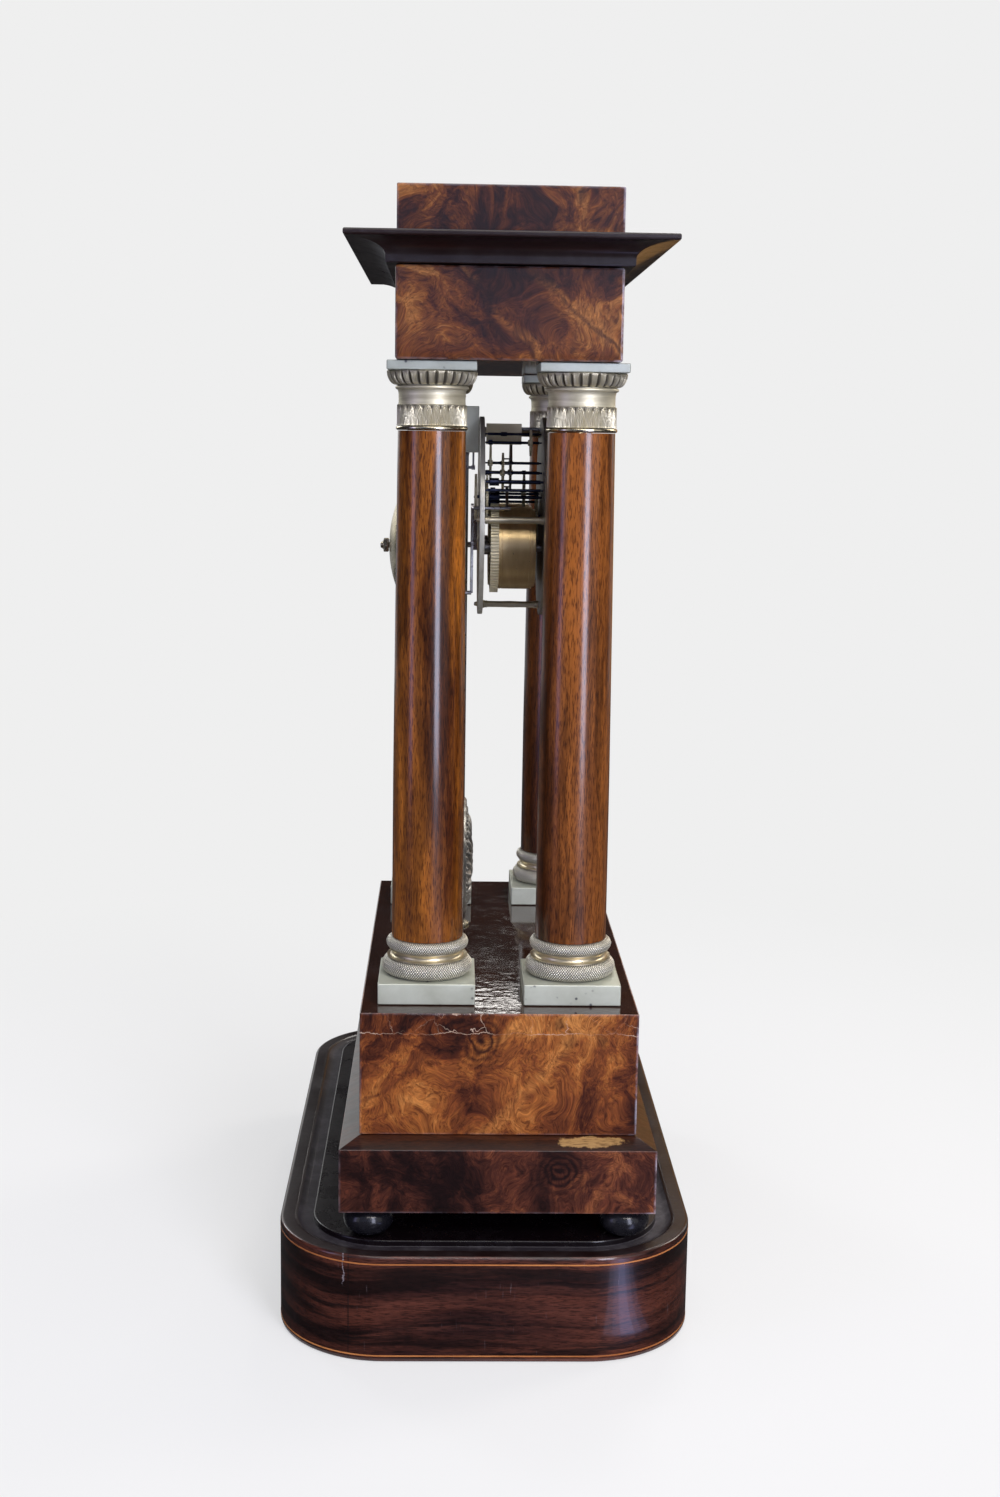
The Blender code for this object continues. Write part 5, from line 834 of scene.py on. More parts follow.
def metal(name, tint, shade, rough, blotch=0.5, speck=0.3, stretch=(1, 1, 1), scale=60, bare=1.0,
          depth=0.7, dent=0.06):
    """Bare metal with clouds of tarnish, fine specks and brushing along the stretched axis."""
    made, tree, shader = begin(name)
    where = mapped(tree, stretch)
    cloud = noise(tree, where, scale, 5, 0.6, 0.3)
    fine = noise(tree, where, scale * 9, 3, 0.7)
    base = blend(tree, grey(tree, cloud, 0.38, 0.7, 0, blotch), (*tint, 1), (*shade, 1))
    spot = add(tree, "TexVoronoi", Vector=mapped(tree), Scale=330).outputs["Distance"]
    some = grey(tree, noise(tree, mapped(tree), 90, 2), 0.58, 0.66, 0, speck)
    base = blend(tree, times(tree, grey(tree, spot, 0.16, 0.3, 1, 0), some), base, PIT_DARK)
    hollow = add(tree, "Attribute", {"attribute_name": "hollow"}).outputs["Fac"]
    base = blend(tree, grey(tree, hollow, 0.3, 1.0, 0, depth), base, HOLLOW_DARK)
    settle(shader, Base_Color=base, Roughness=grey(tree, fine, 0.3, 0.7, rough, rough + 0.14), Metallic=bare)
    bumped(tree, shader, fine, dent, 0.0002)
    return made


# %% [markdown]
# The capitals and bases carry the palest brass, its pale grey green partly a painted reflection.
# Each kind of turned or cast surface gets its own warmth: the capitals' slabs a darker copy, a
# painted shade; knurled tori; reliefs darker in their hollows; and burnished rings.

# %% Brass of the case
# Flat faces: the brass colour with a painted reflection of the pale room in it.
pale_brass_and_reflection = metal("pale_brass_and_reflection", (0.57, 0.59, 0.49), (0.40, 0.41, 0.32), 0.36, 0.8, 0.9, scale=45, bare=0.45)
# The capitals' slabs: the same brass darkened, a painted shade.
slab_brass_shaded = metal("slab_brass_shaded", (0.35, 0.375, 0.34), (0.25, 0.265, 0.22), 0.34, 0.8, 1.0, scale=45, bare=0.45)
torus_brass = metal(
    "torus_brass", (1.0, 0.96, 0.80), (0.80, 0.75, 0.60), 0.24, 0.5, 0.3, scale=110, bare=0.6, depth=1.0)
scotia_brass = metal(
    "scotia_brass", (0.66, 0.58, 0.40), (0.46, 0.39, 0.26), 0.27, 0.5, 0.05, bare=0.85, dent=0.02)
relief_brass = metal(
    "relief_brass", (0.58, 0.53, 0.39), (0.38, 0.34, 0.23), 0.34, 0.6, 0.3, scale=110, bare=0.8, depth=0.96)
bright_gilt = metal("bright_gilt", (0.66, 0.59, 0.42), (0.44, 0.37, 0.25), 0.16, 0.5, 0.04, dent=0.025)
neck_brass = metal(
    "neck_brass", (0.72, 0.67, 0.50), (0.46, 0.41, 0.28), 0.42, 0.9, 0.1, (0.35, 0.35, 5), 90, bare=0.8)

# %% [markdown]
# In the movement the plates are dull, and the front one is darker still, a painted shade; the
# wheels are bright, and a spring barrel shows the fine rings of its turning, so its pattern is
# stretched along one axis. The bell is smooth all over, because it is turned and polished after it is cast.

# %% Metals of the movement
plate_brass = metal("plate_brass", (0.56, 0.55, 0.47), (0.30, 0.29, 0.24), 0.32, 0.8, 0.3, bare=0.6)
wheel_brass = metal("wheel_brass", (0.66, 0.60, 0.42), (0.44, 0.38, 0.24), 0.28, 0.5, 0.1, bare=0.45)
drum_brass = metal(
    "drum_brass", (0.72, 0.54, 0.28), (0.44, 0.31, 0.15), 0.27, 0.6, 0.02, (0.5, 3, 0.5), 40, bare=0.85, dent=0.012)
# The front plate's brass is the plate brass darkened: a painted shade between the columns.
front_plate_brass_shaded = metal("front_plate_brass_shaded", (0.22, 0.20, 0.16), (0.12, 0.11, 0.09), 0.36, 0.8, 0.3, bare=0.6)
# The fly's vane: a paler, hardly metallic brass, painted light so that it shows bright inside the movement.
vane_brass_painted_light = metal("vane_brass_painted_light", (0.78, 0.70, 0.52), (0.54, 0.47, 0.33), 0.4, 0.5, 0.1, bare=0.1)
bell_metal = metal(
    "bell_metal", (0.66, 0.58, 0.38), (0.46, 0.39, 0.24), 0.2, 0.35, 0.04, (1, 0.3, 1), 22, dent=0.01)
silvered = metal("silvered", (0.52, 0.51, 0.48), (0.24, 0.24, 0.23), 0.34, 0.9, 0.3, scale=140)
blued_steel = metal("blued_steel", (0.045, 0.055, 0.10), (0.03, 0.03, 0.04), 0.26, 0.5, 0.1)
bright_steel = metal("bright_steel", (0.45, 0.45, 0.46), (0.25, 0.25, 0.26), 0.24, 0.6, 0.2)

# %% [markdown]
# Fired enamel is glass over metal: nearly white, very slightly wavy, with its own soft coat.
# The numerals are black enamel fired on top of it. The dome of the bezel is real clear glass,
# with a hint of uneven roughness, so that it shows itself by its reflections.

# %% Enamel and glass
enamel, tree, shader = begin("white_enamel")
soft = noise(tree, mapped(tree), 30, 3)
white = ramp(tree, soft, ((0.3, (0.80, 0.79, 0.74)), (0.7, (0.86, 0.855, 0.82))))
settle(shader, Base_Color=white, Roughness=0.22, Coat_Weight=0.5)
bumped(tree, shader, soft, 0.05, 0.0004)
dial_black, tree, shader = begin("dial_black")
ink = ramp(tree, noise(tree, mapped(tree), 300, 3), ((0.3, (0.006, 0.006, 0.008)), (0.7, (0.02, 0.02, 0.024))))
settle(shader, Base_Color=ink, Roughness=0.3)
clear_glass, tree, shader = begin("clear_glass")
uneven = grey(tree, noise(tree, mapped(tree), 18, 4), 0.3, 0.8, 0.0, 0.035)
settle(shader, Base_Color=(0.96, 0.98, 0.97, 1), Transmission_Weight=1.0, IOR=1.45, Roughness=uneven)

# %% [markdown]
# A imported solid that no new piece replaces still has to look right. Each part names the slot of
# its material, so one table from slots to finishes dresses all of them.

# %% A finish for every slot
finish_of_slot = {
    "rosewood": rosewood, "burr_veneer": burr["plinth_box"], "column_wood": column_wood,
    "ebonised": black_polish, "gilt_brass": relief_brass, "plate_brass": plate_brass,
    "wheel_brass": wheel_brass, "blued_steel": blued_steel, "bright_steel": bright_steel,
    "bell_metal": bell_metal, "silvered": silvered, "enamel": enamel, "glass": clear_glass,
}
for node, obj in frame["nodes"].items():
    finish = finish_of_slot[slot_of_node[node]]
    for place in range(max(1, len(obj.material_slots))):
        if len(obj.material_slots) <= place:
            obj.data.materials.append(finish)
        obj.material_slots[place].material = finish
print(len(bpy.data.materials), "finishes")


# %% [markdown]
# The dome's base is a shallow box veneered in rosewood, its corners bent to a wide curve. A
# rim, a hollow worn by the dome and a black platform follow the same outline, so one profile
# carried round that outline makes them all, with a finish for each band of the profile.

# %% Profile of the display base
low, high = corners_of("display_base")
length, depth, _ = high - low
platform = corners_of("foot_front_left")[0][2] - 0.0003
BASE_CORNER, RIM_ROUND, LIP_ROUND = 0.0515, 0.0016, 0.0008
RIM_TO, COVE_TO, GROOVE_TO = 0.0075, 0.0119, 0.0159
rim_top, groove_floor = platform - 0.001, platform - 0.003
shares = np.linspace(0.2, 1, 5)
worn_cove = np.column_stack([
    RIM_TO + (COVE_TO - RIM_TO) * shares, rim_top - (rim_top - groove_floor) * np.sin(np.pi / 2 * shares),
])
base_profile = path_of(
    (0.0012, 0.0), (0.0003, 0.0006), (0, 0.0016), (0, 0.0040), (0, 0.02), (0, 0.035), (0, rim_top - 0.0030),
    arc((RIM_ROUND, rim_top - RIM_ROUND), RIM_ROUND, 180, 90, 5), (RIM_TO - 0.0008, rim_top),
    (RIM_TO, rim_top - 0.0001), worn_cove, (GROOVE_TO - 0.0003, groove_floor), (GROOVE_TO, groove_floor + 0.0003),
    (GROOVE_TO, platform - LIP_ROUND), arc((GROOVE_TO + LIP_ROUND, platform - LIP_ROUND), LIP_ROUND, 180, 90, 3),
    (0.04, platform),
)
print("dome base", [round(float(value), 4) for value in (length, depth, platform)])

# %% [markdown]
# Each strip of the profile takes the finish of its height and inset: veneer on the wall, polish
# on the rim, bare worn wood in the groove, black on the platform. Two lines of boxwood
# stringing are let into the wall, and stand proud of it by less than a tenth of a millimetre.

# %% Display base
RIM_FROM, PROUD, STRING_HALF = 0.03, 0.00008, 0.0004
bands = np.zeros(len(base_profile) + 1, int)
insets, heights = ((base_profile[1:] + base_profile[:-1]) / 2).T
insets, heights = np.concatenate([[0], insets, [0.05]]), np.concatenate([[0], heights, [platform]])
bands[(insets > 0.0012) & (heights > RIM_FROM)] = 1
bands[(insets > RIM_TO + 0.0012) & (insets < GROOVE_TO)] = 2
bands[insets >= GROOVE_TO] = 3
shape = block((0, 0, 0), length - 2 * PROUD, depth - 2 * PROUD, base_profile, BASE_CORNER, 24)
dress(joined("dome_base", [shape], [bands]), "display_base", [rosewood, rim_polish, worn_groove, black_polish])
for name, height in (("stringing_top", rim_top - 0.0037), ("stringing_foot", 0.0032)):
    line = np.array([(STRING_HALF, -STRING_HALF), (0, -0.00032), (0, 0.00032), (STRING_HALF, STRING_HALF)])
    ring = block((0, 0, 0), length, depth, line + [0, height], BASE_CORNER, 24)[1:-1]
    dress(joined(name, [np.concatenate([ring, ring[:1]])]), [], [boxwood], body="case")
print("bands of the base", np.bincount(bands))

# %% [markdown]
# Four bun feet carry the clock: flattened balls, turned in one go with flat ends. The profile
# is half a circle with two short straight lines, carried round an upright axis.

# %% Feet
CORNERS = ("front_left", "front_right", "rear_left", "rear_right")
for corner in CORNERS:
    node = "foot_" + corner
    low, high = corners_of(node)
    centre, radius, half = (low + high) / 2, (high[0] - low[0]) / 2, (high[2] - low[2]) / 2
    flat = radius * 0.42
    profile = path_of((0, -half), (flat, -half), arc((radius - half, 0), half, -72, 72, 14), (flat, half), (0, half))
    dress(joined("bun_" + node, [turned(profile, 72, centre)]), node, [foot_black])
print("feet across", round(2 * float(radius), 4))

# %% [markdown]
# The plinth is three blocks in one line: a lower slab whose top slopes inwards, the box that
# carries the columns, and its dark polished top. The slope is plain golden wood with mitred
# corners, and it meets the walls in a thin worn edge. The attic on top is made as the box is.

# %% Plinth and attic
ARRIS = 0.0006
low, high = corners_of("lower_plinth")
middle, (length, depth, tall) = (low + high) / 2, high - low
box_low, box_high = corners_of("plinth_box")
ramp_in = (length - (box_high - box_low)[0]) / 2
ramp_foot = tall - 0.0038
profile = path_of(
    (0.004, 0), (ARRIS, 0), arc((ARRIS, ARRIS), ARRIS, 270, 180, 3), (0, 0.012), (0, 0.022),
    arc((ARRIS, ramp_foot - ARRIS), ARRIS, 180, 112, 3), (ramp_in, tall), (ramp_in + 0.004, tall),
)
shades = np.zeros(len(profile) + 1, int)
shades[-3:] = 1
slab_shape = block((middle[0], middle[1], low[2]), length, depth, profile, ARRIS, 3)
dress(joined("plinth_slab", [slab_shape], [shades]), "lower_plinth", [burr["lower_plinth"], ramp_wood])


def case_block(node, name, finishes, arris, top_steps):
    """A block with rounded arrises, in the box of its node; the last finish covers the top."""
    low, high = corners_of(node)
    middle, (length, depth, tall) = (low + high) / 2, high - low
    profile = path_of(
        (0.004, 0), (arris, 0), arc((arris, arris), arris, 270, 180, 3), (0, tall * 0.33), (0, tall * 0.66),
        arc((arris, tall - arris), arris, 180, 90, top_steps), (0.006, tall),
    )
    shades = np.zeros(len(profile) + 1, int)
    shades[-2:] = len(finishes) - 1
    shape = block((middle[0], middle[1], low[2]), length, depth, profile, arris, 4)
    dress(joined(name, [shape], [shades]), node, finishes)


case_block("plinth_box", "plinth_case", [burr["plinth_box"], plinth_top_polish], ARRIS, 4)
case_block("attic_block", "attic_case", [burr["attic_block"], burr["attic_block"]], ARRIS, 4)
print("slope runs in", round(float(ramp_in), 4))

# %% [markdown]
# The entablature has larger, softer arrises than the plinth. The cornice above it is one
# moulding: a small fillet, a deep hollow that sweeps outwards, and a thin slab with a round
# nose. Its hollow is a quarter of an ellipse, so it is written as a cosine and a sine.

# %% Entablature and cornice
case_block("entablature", "entablature_case", [burr["entablature"]], 0.0012, 3)
low, high = corners_of("cornice")
middle, (length, depth, tall) = (low + high) / 2, high - low
FILLET_IN, FILLET_TALL, SLAB, NOSE, COVE_LIP = 0.0176, 0.0032, 0.0028, 0.0009, 0.0012
slab_foot = tall - SLAB
swing = np.pi / 2 * np.linspace(0, 1, 13)[:-1]
cove = np.column_stack([
    FILLET_IN - (FILLET_IN - COVE_LIP) * (1 - np.cos(swing)), FILLET_TALL + (slab_foot - FILLET_TALL) * np.sin(swing),
])
profile = path_of(
    (FILLET_IN + 0.01, 0), (FILLET_IN + 0.0003, 0), (FILLET_IN, 0.0003), cove,
    (0.0013, slab_foot), (0.0004, slab_foot), arc((NOSE, slab_foot + NOSE), NOSE, 250, 180, 3),
    arc((NOSE, tall - NOSE), NOSE, 180, 90, 4), (0.01, tall),
)
moulding = block((middle[0], middle[1], low[2]), length, depth, profile, 0.0004, 3)
dress(joined("cornice_moulding", [moulding]), "cornice", [cornice_polish])

# %% [markdown]
# The wide and the narrow torus of a column base were engine-turned, which leaves crossing rows
# of tiny diamonds. The relief is the product of two saw shapes that run round the torus with
# opposite slants, and it fades out towards both edges of the band.

# %% Engine turning
def saw(turns):
    """A shape that rises and falls evenly between 0 and 1, once per whole turn."""
    return np.abs((turns % 1) * 2 - 1)


def diamonds(rows, around, count, slant, depth):
    """depth * (saw(angle + slant) * saw(angle - slant) - 0.4), fading out at both edges."""
    across = np.linspace(0, 1, rows)[:, None]
    angle = np.linspace(0, 1, around, endpoint=False)[None, :]
    cut = saw(count * angle + slant * across) * saw(count * angle - slant * across)
    return depth * (cut - 0.4) * np.clip(np.sin(np.pi * across) * 4, 0, 1)


AROUND, DIAMONDS = 756, 108
LOWER_TORUS, SCOTIA_TALL, UPPER_TORUS = 0.0082, 0.0040, 0.0055
LOWER_RADIUS, SCOTIA_RADIUS, UPPER_RADIUS = 0.0213, 0.0165, 0.01935
SQUARE_TALL, SQUARE_ARRIS = 0.0103, 0.0005
print("diamonds round a torus", DIAMONDS)

# %% [markdown]
# From below, a base is a square block, the wide torus, a polished hollow called a scotia, and
# the narrow torus. Each is a grid of its own, and all of them join into one mesh with a number
# for its finish on every row.

# %% Column bases
foot = LOWER_TORUS
neck = foot + SCOTIA_TALL
lid = neck + UPPER_TORUS
lower_half, upper_half = LOWER_TORUS / 2, UPPER_TORUS / 2
square_profile = path_of(
    (0.004, 0), (0.0007, 0), arc((SQUARE_ARRIS, SQUARE_ARRIS), SQUARE_ARRIS, 260, 180, 2),
    arc((SQUARE_ARRIS, SQUARE_TALL - 0.0008), SQUARE_ARRIS, 180, 90, 3), (0.003, SQUARE_TALL - 0.0003),
)
lower_rows = arc((LOWER_RADIUS - lower_half, lower_half), lower_half, -88, 92, 64)
upper_rows = arc((UPPER_RADIUS - upper_half, neck + upper_half), upper_half, -90, 90, 44)
lower_cut = diamonds(len(lower_rows), AROUND, DIAMONDS, 8, 0.0005)
upper_cut = diamonds(len(upper_rows), AROUND, DIAMONDS, 5.5, 0.0004)
scotia = path_of(
    (LOWER_RADIUS - lower_half, foot - 0.0003), (SCOTIA_RADIUS + 0.0026, foot + 0.0001),
    (SCOTIA_RADIUS + 0.0026, foot + 0.0007), arc((SCOTIA_RADIUS + 0.0018, foot + 0.0022), 0.0017, 250, 110, 12),
    (SCOTIA_RADIUS + 0.0016, foot + 0.0038), (SCOTIA_RADIUS + 0.0016, neck + 0.0002),
    (UPPER_RADIUS - 0.0026, neck + 0.0003),
)
for corner in CORNERS:
    node = "column_base_" + corner
    low, high = corners_of(node)
    middle, side = (low + high) / 2, high[0] - low[0]
    centre = (middle[0], middle[1], low[2] + SQUARE_TALL - 0.0003)
    grids = [
        block((middle[0], middle[1], low[2]), side, side, square_profile, 0.0006, 3),
        turned(lower_rows, AROUND, centre, lower_cut), turned(scotia, 120, centre),
        turned(upper_rows, AROUND, centre, upper_cut),
        turned([(UPPER_RADIUS - upper_half, lid), (0.0, lid)], 120, centre),
    ]
    tints = [[shade] * (len(grid) - 1) for shade, grid in zip((0, 1, 2, 1, 1), grids)]
    hollows = [None, sunk(lower_cut), None, sunk(upper_cut), None]
    mesh = joined("turned_base_" + corner, grids, tints, hollows)
    dress(mesh, node, [pale_brass_and_reflection, torus_brass, scotia_brass], sharp=60)
print("column bases at", [round(float(value), 4) for value in middle])

# %% [markdown]
# A shaft is turned from one length of wood. It is fullest for its lower third and then narrows
# in a slow curve, which the eye reads as strength. A table of four places gives that curve.

# %% Shafts
SHAFT_SHARES = ((0, 0), (0.33, 0.1), (0.66, 0.5), (1, 1))
SHAFT_FOOT, SHAFT_HEAD = 0.0169, 0.01555
for corner in CORNERS:
    node = "column_shaft_" + corner
    low, high = corners_of(node)
    middle, tall = (low + high) / 2, high[2] - low[2]
    rise = np.linspace(0, 1, 33)
    radius = SHAFT_FOOT + (SHAFT_HEAD - SHAFT_FOOT) * np.interp(rise, *zip(*SHAFT_SHARES))
    profile = path_of((0, 0), np.column_stack([radius, tall * rise]), (0, tall))
    shaft = turned(profile, 112, (middle[0], middle[1], low[2]))
    # The front pair takes the darkened copy of the wood: painted shade.
    wood = column_shaded if "front" in corner else column_wood
    dress(joined("shaft_" + corner, [shaft]), node, [wood])
print("shafts tall", round(float(tall), 4))

# %% [markdown]
# Two bands of a capital are cast in relief. The lower one has upright pointed leaves, a common
# pattern, with a pierced dot between each pair of tips; the upper one is cut into flutes. Both
# are heights over a grid of (height on the band, angle), repeated once per leaf or flute.

# %% Capital reliefs
def leaf_relief(rows, around, leaves, depth):
    """Three bells of exp(-distance squared) along each leaf's outline and midrib, minus a dot."""
    v = np.linspace(0, 1, rows)[:, None]
    cell = (np.linspace(0, leaves, around, endpoint=False)[None, :] % 1) - 0.5
    across = np.abs(cell)
    outline = np.zeros((rows, around))
    for share, top in ((1.0, 0.97), (0.62, 0.88), (0.22, 0.76)):
        half = 0.45 * share * np.clip(1 - (v / top) ** 3, 0, 1) ** 0.55
        outline = np.maximum(outline, np.exp(-((across - half) / 0.042) ** 2) * (v < top))
    dot = np.exp(-(((0.5 - across) / 0.07) ** 2 + ((v - 0.86) / 0.07) ** 2))
    edge = np.exp(-((v - 1.0) / 0.05) ** 2) + np.exp(-(v / 0.04) ** 2)
    return depth * (outline - 1.3 * dot + 0.6 * edge - 0.5)


def flute_relief(rows, around, flutes, depth):
    """Round-bottomed hollows: the root of 1 - (place / width) squared, with a thin ridge between."""
    v = np.linspace(0, 1, rows)[:, None]
    cell = np.abs((np.linspace(0, flutes, around, endpoint=False)[None, :] % 1) - 0.5) * 2
    width = 0.50 * np.clip(1 - ((v - 0.52) / 0.46) ** 4, 0, 1) ** 0.5
    hollow = np.sqrt(np.clip(1 - (cell / np.maximum(width, 0.02)) ** 2, 0, 1)) * (width > 0.03)
    lines = np.exp(-((cell - 0.72) / 0.05) ** 2) + np.exp(-((cell - 0.96) / 0.05) ** 2)
    return -depth * (hollow + 0.38 * lines * np.clip(np.sin(np.pi * v) * 2, 0, 1))


LEAVES, LEAF_ROWS, FLUTES, FLUTE_ROWS = 24, 34, 30, 22
leaf_cut = leaf_relief(LEAF_ROWS, LEAVES * 36, LEAVES, 0.0004)
flute_cut = flute_relief(FLUTE_ROWS, FLUTES * 24, FLUTES, 0.0009)
print("relief depth of leaves and flutes", round(float(np.ptp(leaf_cut)), 5), round(float(np.ptp(flute_cut)), 5))

# %% [markdown]
# A capital stacks six pieces: a ring, the band of leaves, a plain neck with a collar, a quarter
# round cut into flutes, its lip, and a square slab on top. The quarter round widens from the
# neck's radius to the slab's, so its rows are a cosine and a sine of one angle.

# %% Capitals
SLAB_SIDE, SLAB_FOOT, SLAB_ARRIS = 0.0403, 0.0268, 0.0004
BOWL_FOOT, BOWL_TOP = 0.0166, 0.0207
ring = path_of((0, 0.0003), (0.0155, 0.0003), arc((0.0155, 0.0012), 0.0010, -90, 90, 10), (0.0154, 0.0023))
band_rows = np.column_stack([np.full(LEAF_ROWS, 0.0158), np.linspace(0.0024, 0.0116, LEAF_ROWS)])
neck = path_of(
    (0.0157, 0.0117), (0.01535, 0.0118), (0.01525, 0.0135), (0.0153, 0.0165), (0.0156, 0.0181),
    (0.0160, 0.0184), arc((0.0160, 0.0193), 0.0008, -80, 90, 8), (0.0160, 0.0203),
)
bend = np.radians(np.linspace(90, 4, FLUTE_ROWS))
bowl_rows = np.column_stack([BOWL_FOOT + (BOWL_TOP - BOWL_FOOT) * np.cos(bend), SLAB_FOOT - 0.0063 * np.sin(bend)])
lip = [(BOWL_TOP, 0.0265), (0.0203, SLAB_FOOT), (0.0150, 0.0269)]
slab_profile = path_of(
    (0.003, 0), arc((SLAB_ARRIS, SLAB_ARRIS), SLAB_ARRIS, 270, 180, 2),
    arc((SLAB_ARRIS, 0.0037), SLAB_ARRIS, 180, 90, 2), (0.003, 0.0041),
)
for corner in CORNERS:
    node = "column_capital_" + corner
    low, high = corners_of(node)
    middle = (low + high) / 2
    centre = (middle[0], middle[1], low[2] - 0.0003)
    grids = [
        turned(ring, 120, centre), turned(band_rows, LEAVES * 36, centre, leaf_cut), turned(neck, 120, centre),
        turned(bowl_rows, FLUTES * 24, centre, flute_cut), turned(lip, 120, centre),
        block((centre[0], centre[1], centre[2] + SLAB_FOOT), SLAB_SIDE, SLAB_SIDE, slab_profile, 0.0006, 3),
    ]
    tints = [[shade] * (len(grid) - 1) for shade, grid in zip((2, 1, 3, 1, 1, 0), grids)]
    hollows = [None, sunk(leaf_cut), None, sunk(flute_cut), None, None]
    mesh = joined("carved_capital_" + corner, grids, tints, hollows)
    dress(mesh, node, [slab_brass_shaded, relief_brass, bright_gilt, neck_brass], sharp=60)
print("capitals at height", round(float(centre[2]), 4))

# %% [markdown]
# The movement hangs between the columns: two brass plates held apart by turned pillars, with
# the wheels of both trains between them. Levels are counted in millimetres from the back plate
# towards the dial, so a helper turns places on the plates into the shared frame.

# %% Places on the plates
PLATES_X, PLATES_Y, PLATES_Z = -0.017, 0.0061, 0.3838


def at(across, up, level):
    """From millimetres on the plates (across, up, level) to metres in the frame."""
    return np.array([PLATES_X + across / 1000, PLATES_Y - level / 1000, PLATES_Z + up / 1000])


def lathe(profile, around, place, relief=None):
    """A profile of (radius, level) in millimetres, turned round an arbor parallel to the y axis."""
    profile = np.array(profile, float)
    angle = np.linspace(0, 2 * np.pi, around, endpoint=False)
    wide = (profile[:, :1] + (0 if relief is None else relief)) / 1000
    radius = np.broadcast_to(wide, (len(profile), around))
    level = np.broadcast_to(profile[:, 1:2] / 1000, radius.shape)
    return np.stack([radius * np.cos(angle), -level, radius * np.sin(angle)], -1) + at(*place, 0)


def rounded(radius, start, stop, edge=0.25, hole=0.0):
    """The profile of a disc or rod with small rounded edges; with a hole it closes on itself."""
    outside = path_of(
        (hole, start), (radius - edge, start), arc((radius - edge, start + edge), edge, -90, 0, 3)[1:],
        arc((radius - edge, stop - edge), edge, 0, 90, 3), (hole, stop),
    )
    return np.concatenate([outside, outside[:1]]) if hole else outside


print("plates' middle at", at(0, 0, 0))

# %% [markdown]
# Spokes, hands and the strokes of numerals are all flat bars between two places. Small blocks,
# such as the fly's vane, are the same block as in the case, with tiny rounded edges.

# %% Bars and blocks
def strip_between(start, stop, width, low, high, tip=1.0):
    """A flat bar from one place on the plates to another, of a width that may narrow to tip times."""
    start, stop = np.array(start, float), np.array(stop, float)
    along = (stop - start) / np.linalg.norm(stop - start)
    side = np.array([-along[1], along[0]])
    edge = 0.12
    rows = []
    for place, half, tall in (
        (start, 0, 0), (start, 0.5 - edge, 1 - edge), (start + along * edge, 0.5, 1),
        (stop - along * edge, 0.5 * tip, 1), (stop, (0.5 - edge) * tip, 1 - edge), (stop, 0, 0),
    ):
        middle, reach = (low + high) / 2, (high - low) / 2 * tall
        corners = [(-1, -1), (1, -1), (1, 1), (-1, 1)]
        rows.append([at(*(place + side * width * half * a), middle + reach * b) for a, b in corners])
    return np.array(rows)


def slab(low, high, edge=0.0003):
    """A block between two corners in metres, with every edge a little rounded."""
    low, high = np.array(low, float), np.array(high, float)
    length, depth, tall = high - low
    middle = (low + high) / 2
    inset = min(length, depth) * 0.4
    profile = path_of(
        (inset, 0), arc((edge, edge), edge, 270, 180, 2), arc((edge, tall - edge), edge, 180, 90, 2), (inset, tall),
    )
    return block((middle[0], middle[1], low[2]), length, depth, profile, edge, 2)


print("bars and blocks ready")

# %% [markdown]
# A clock wheel is a rim with teeth, thin spokes and a hub on a steel arbor, and it drives a
# small pinion of a few long leaves. The teeth are one ring of points whose radius rises and
# falls with the angle, with rounded tips, set so that a tooth meets a gap of its neighbour.

# %% Toothed pieces
ROOT_DEPTH, TIP_HEIGHT = 1.05, 0.62


def tooth_ring(teeth, module, half_tip, half_root, per_tooth=10):
    """Radius = root + (tip - root) * height; height falls from the tip's half width to the root's."""
    turn = (np.arange(teeth * per_tooth) / per_tooth + 0.5) % 1 - 0.5
    height = np.clip((half_root - np.abs(turn)) / (half_root - half_tip), 0, 1)
    height = height - 0.16 * np.clip(np.abs(turn) / half_tip, 0, 1) ** 2 * (height >= 1)
    root, tip = (teeth / 2 - ROOT_DEPTH) * module, (teeth / 2 + TIP_HEIGHT) * module
    return root + (tip - root) * height


def spun(radius, low, high, place, phase, inner):
    """A ring of square section: the outline at both faces, and an inner radius that closes it."""
    angle = phase + np.linspace(0, 2 * np.pi, len(radius), endpoint=False)
    rows = []
    for reach, level in ((inner, low), (radius, low), (radius, high), (inner, high), (inner, low)):
        reach = np.broadcast_to(reach, len(radius)) / 1000
        depth = np.full(len(radius), -level / 1000)
        rows.append(np.stack([reach * np.cos(angle), depth, reach * np.sin(angle)], -1))
    return np.stack(rows) + at(*place, 0)


print("teeth ready")

# %% [markdown]
# From a ring of teeth it is a short way to a wheel: add spokes and a hub. A pinion is the same
# ring with few, long leaves, and an arbor is a rod whose ends are turned down to thin pivots,
# because a thin pivot rubs less.

# %% Wheels, pinions and arbors
def facing(place, other):
    """The angle at which one arbor sees another."""
    return math.atan2(other[1] - place[1], other[0] - place[0])


def around_place(place, radius, angle):
    """The place at a radius and an angle from another."""
    return place[0] + radius * math.cos(angle), place[1] + radius * math.sin(angle)


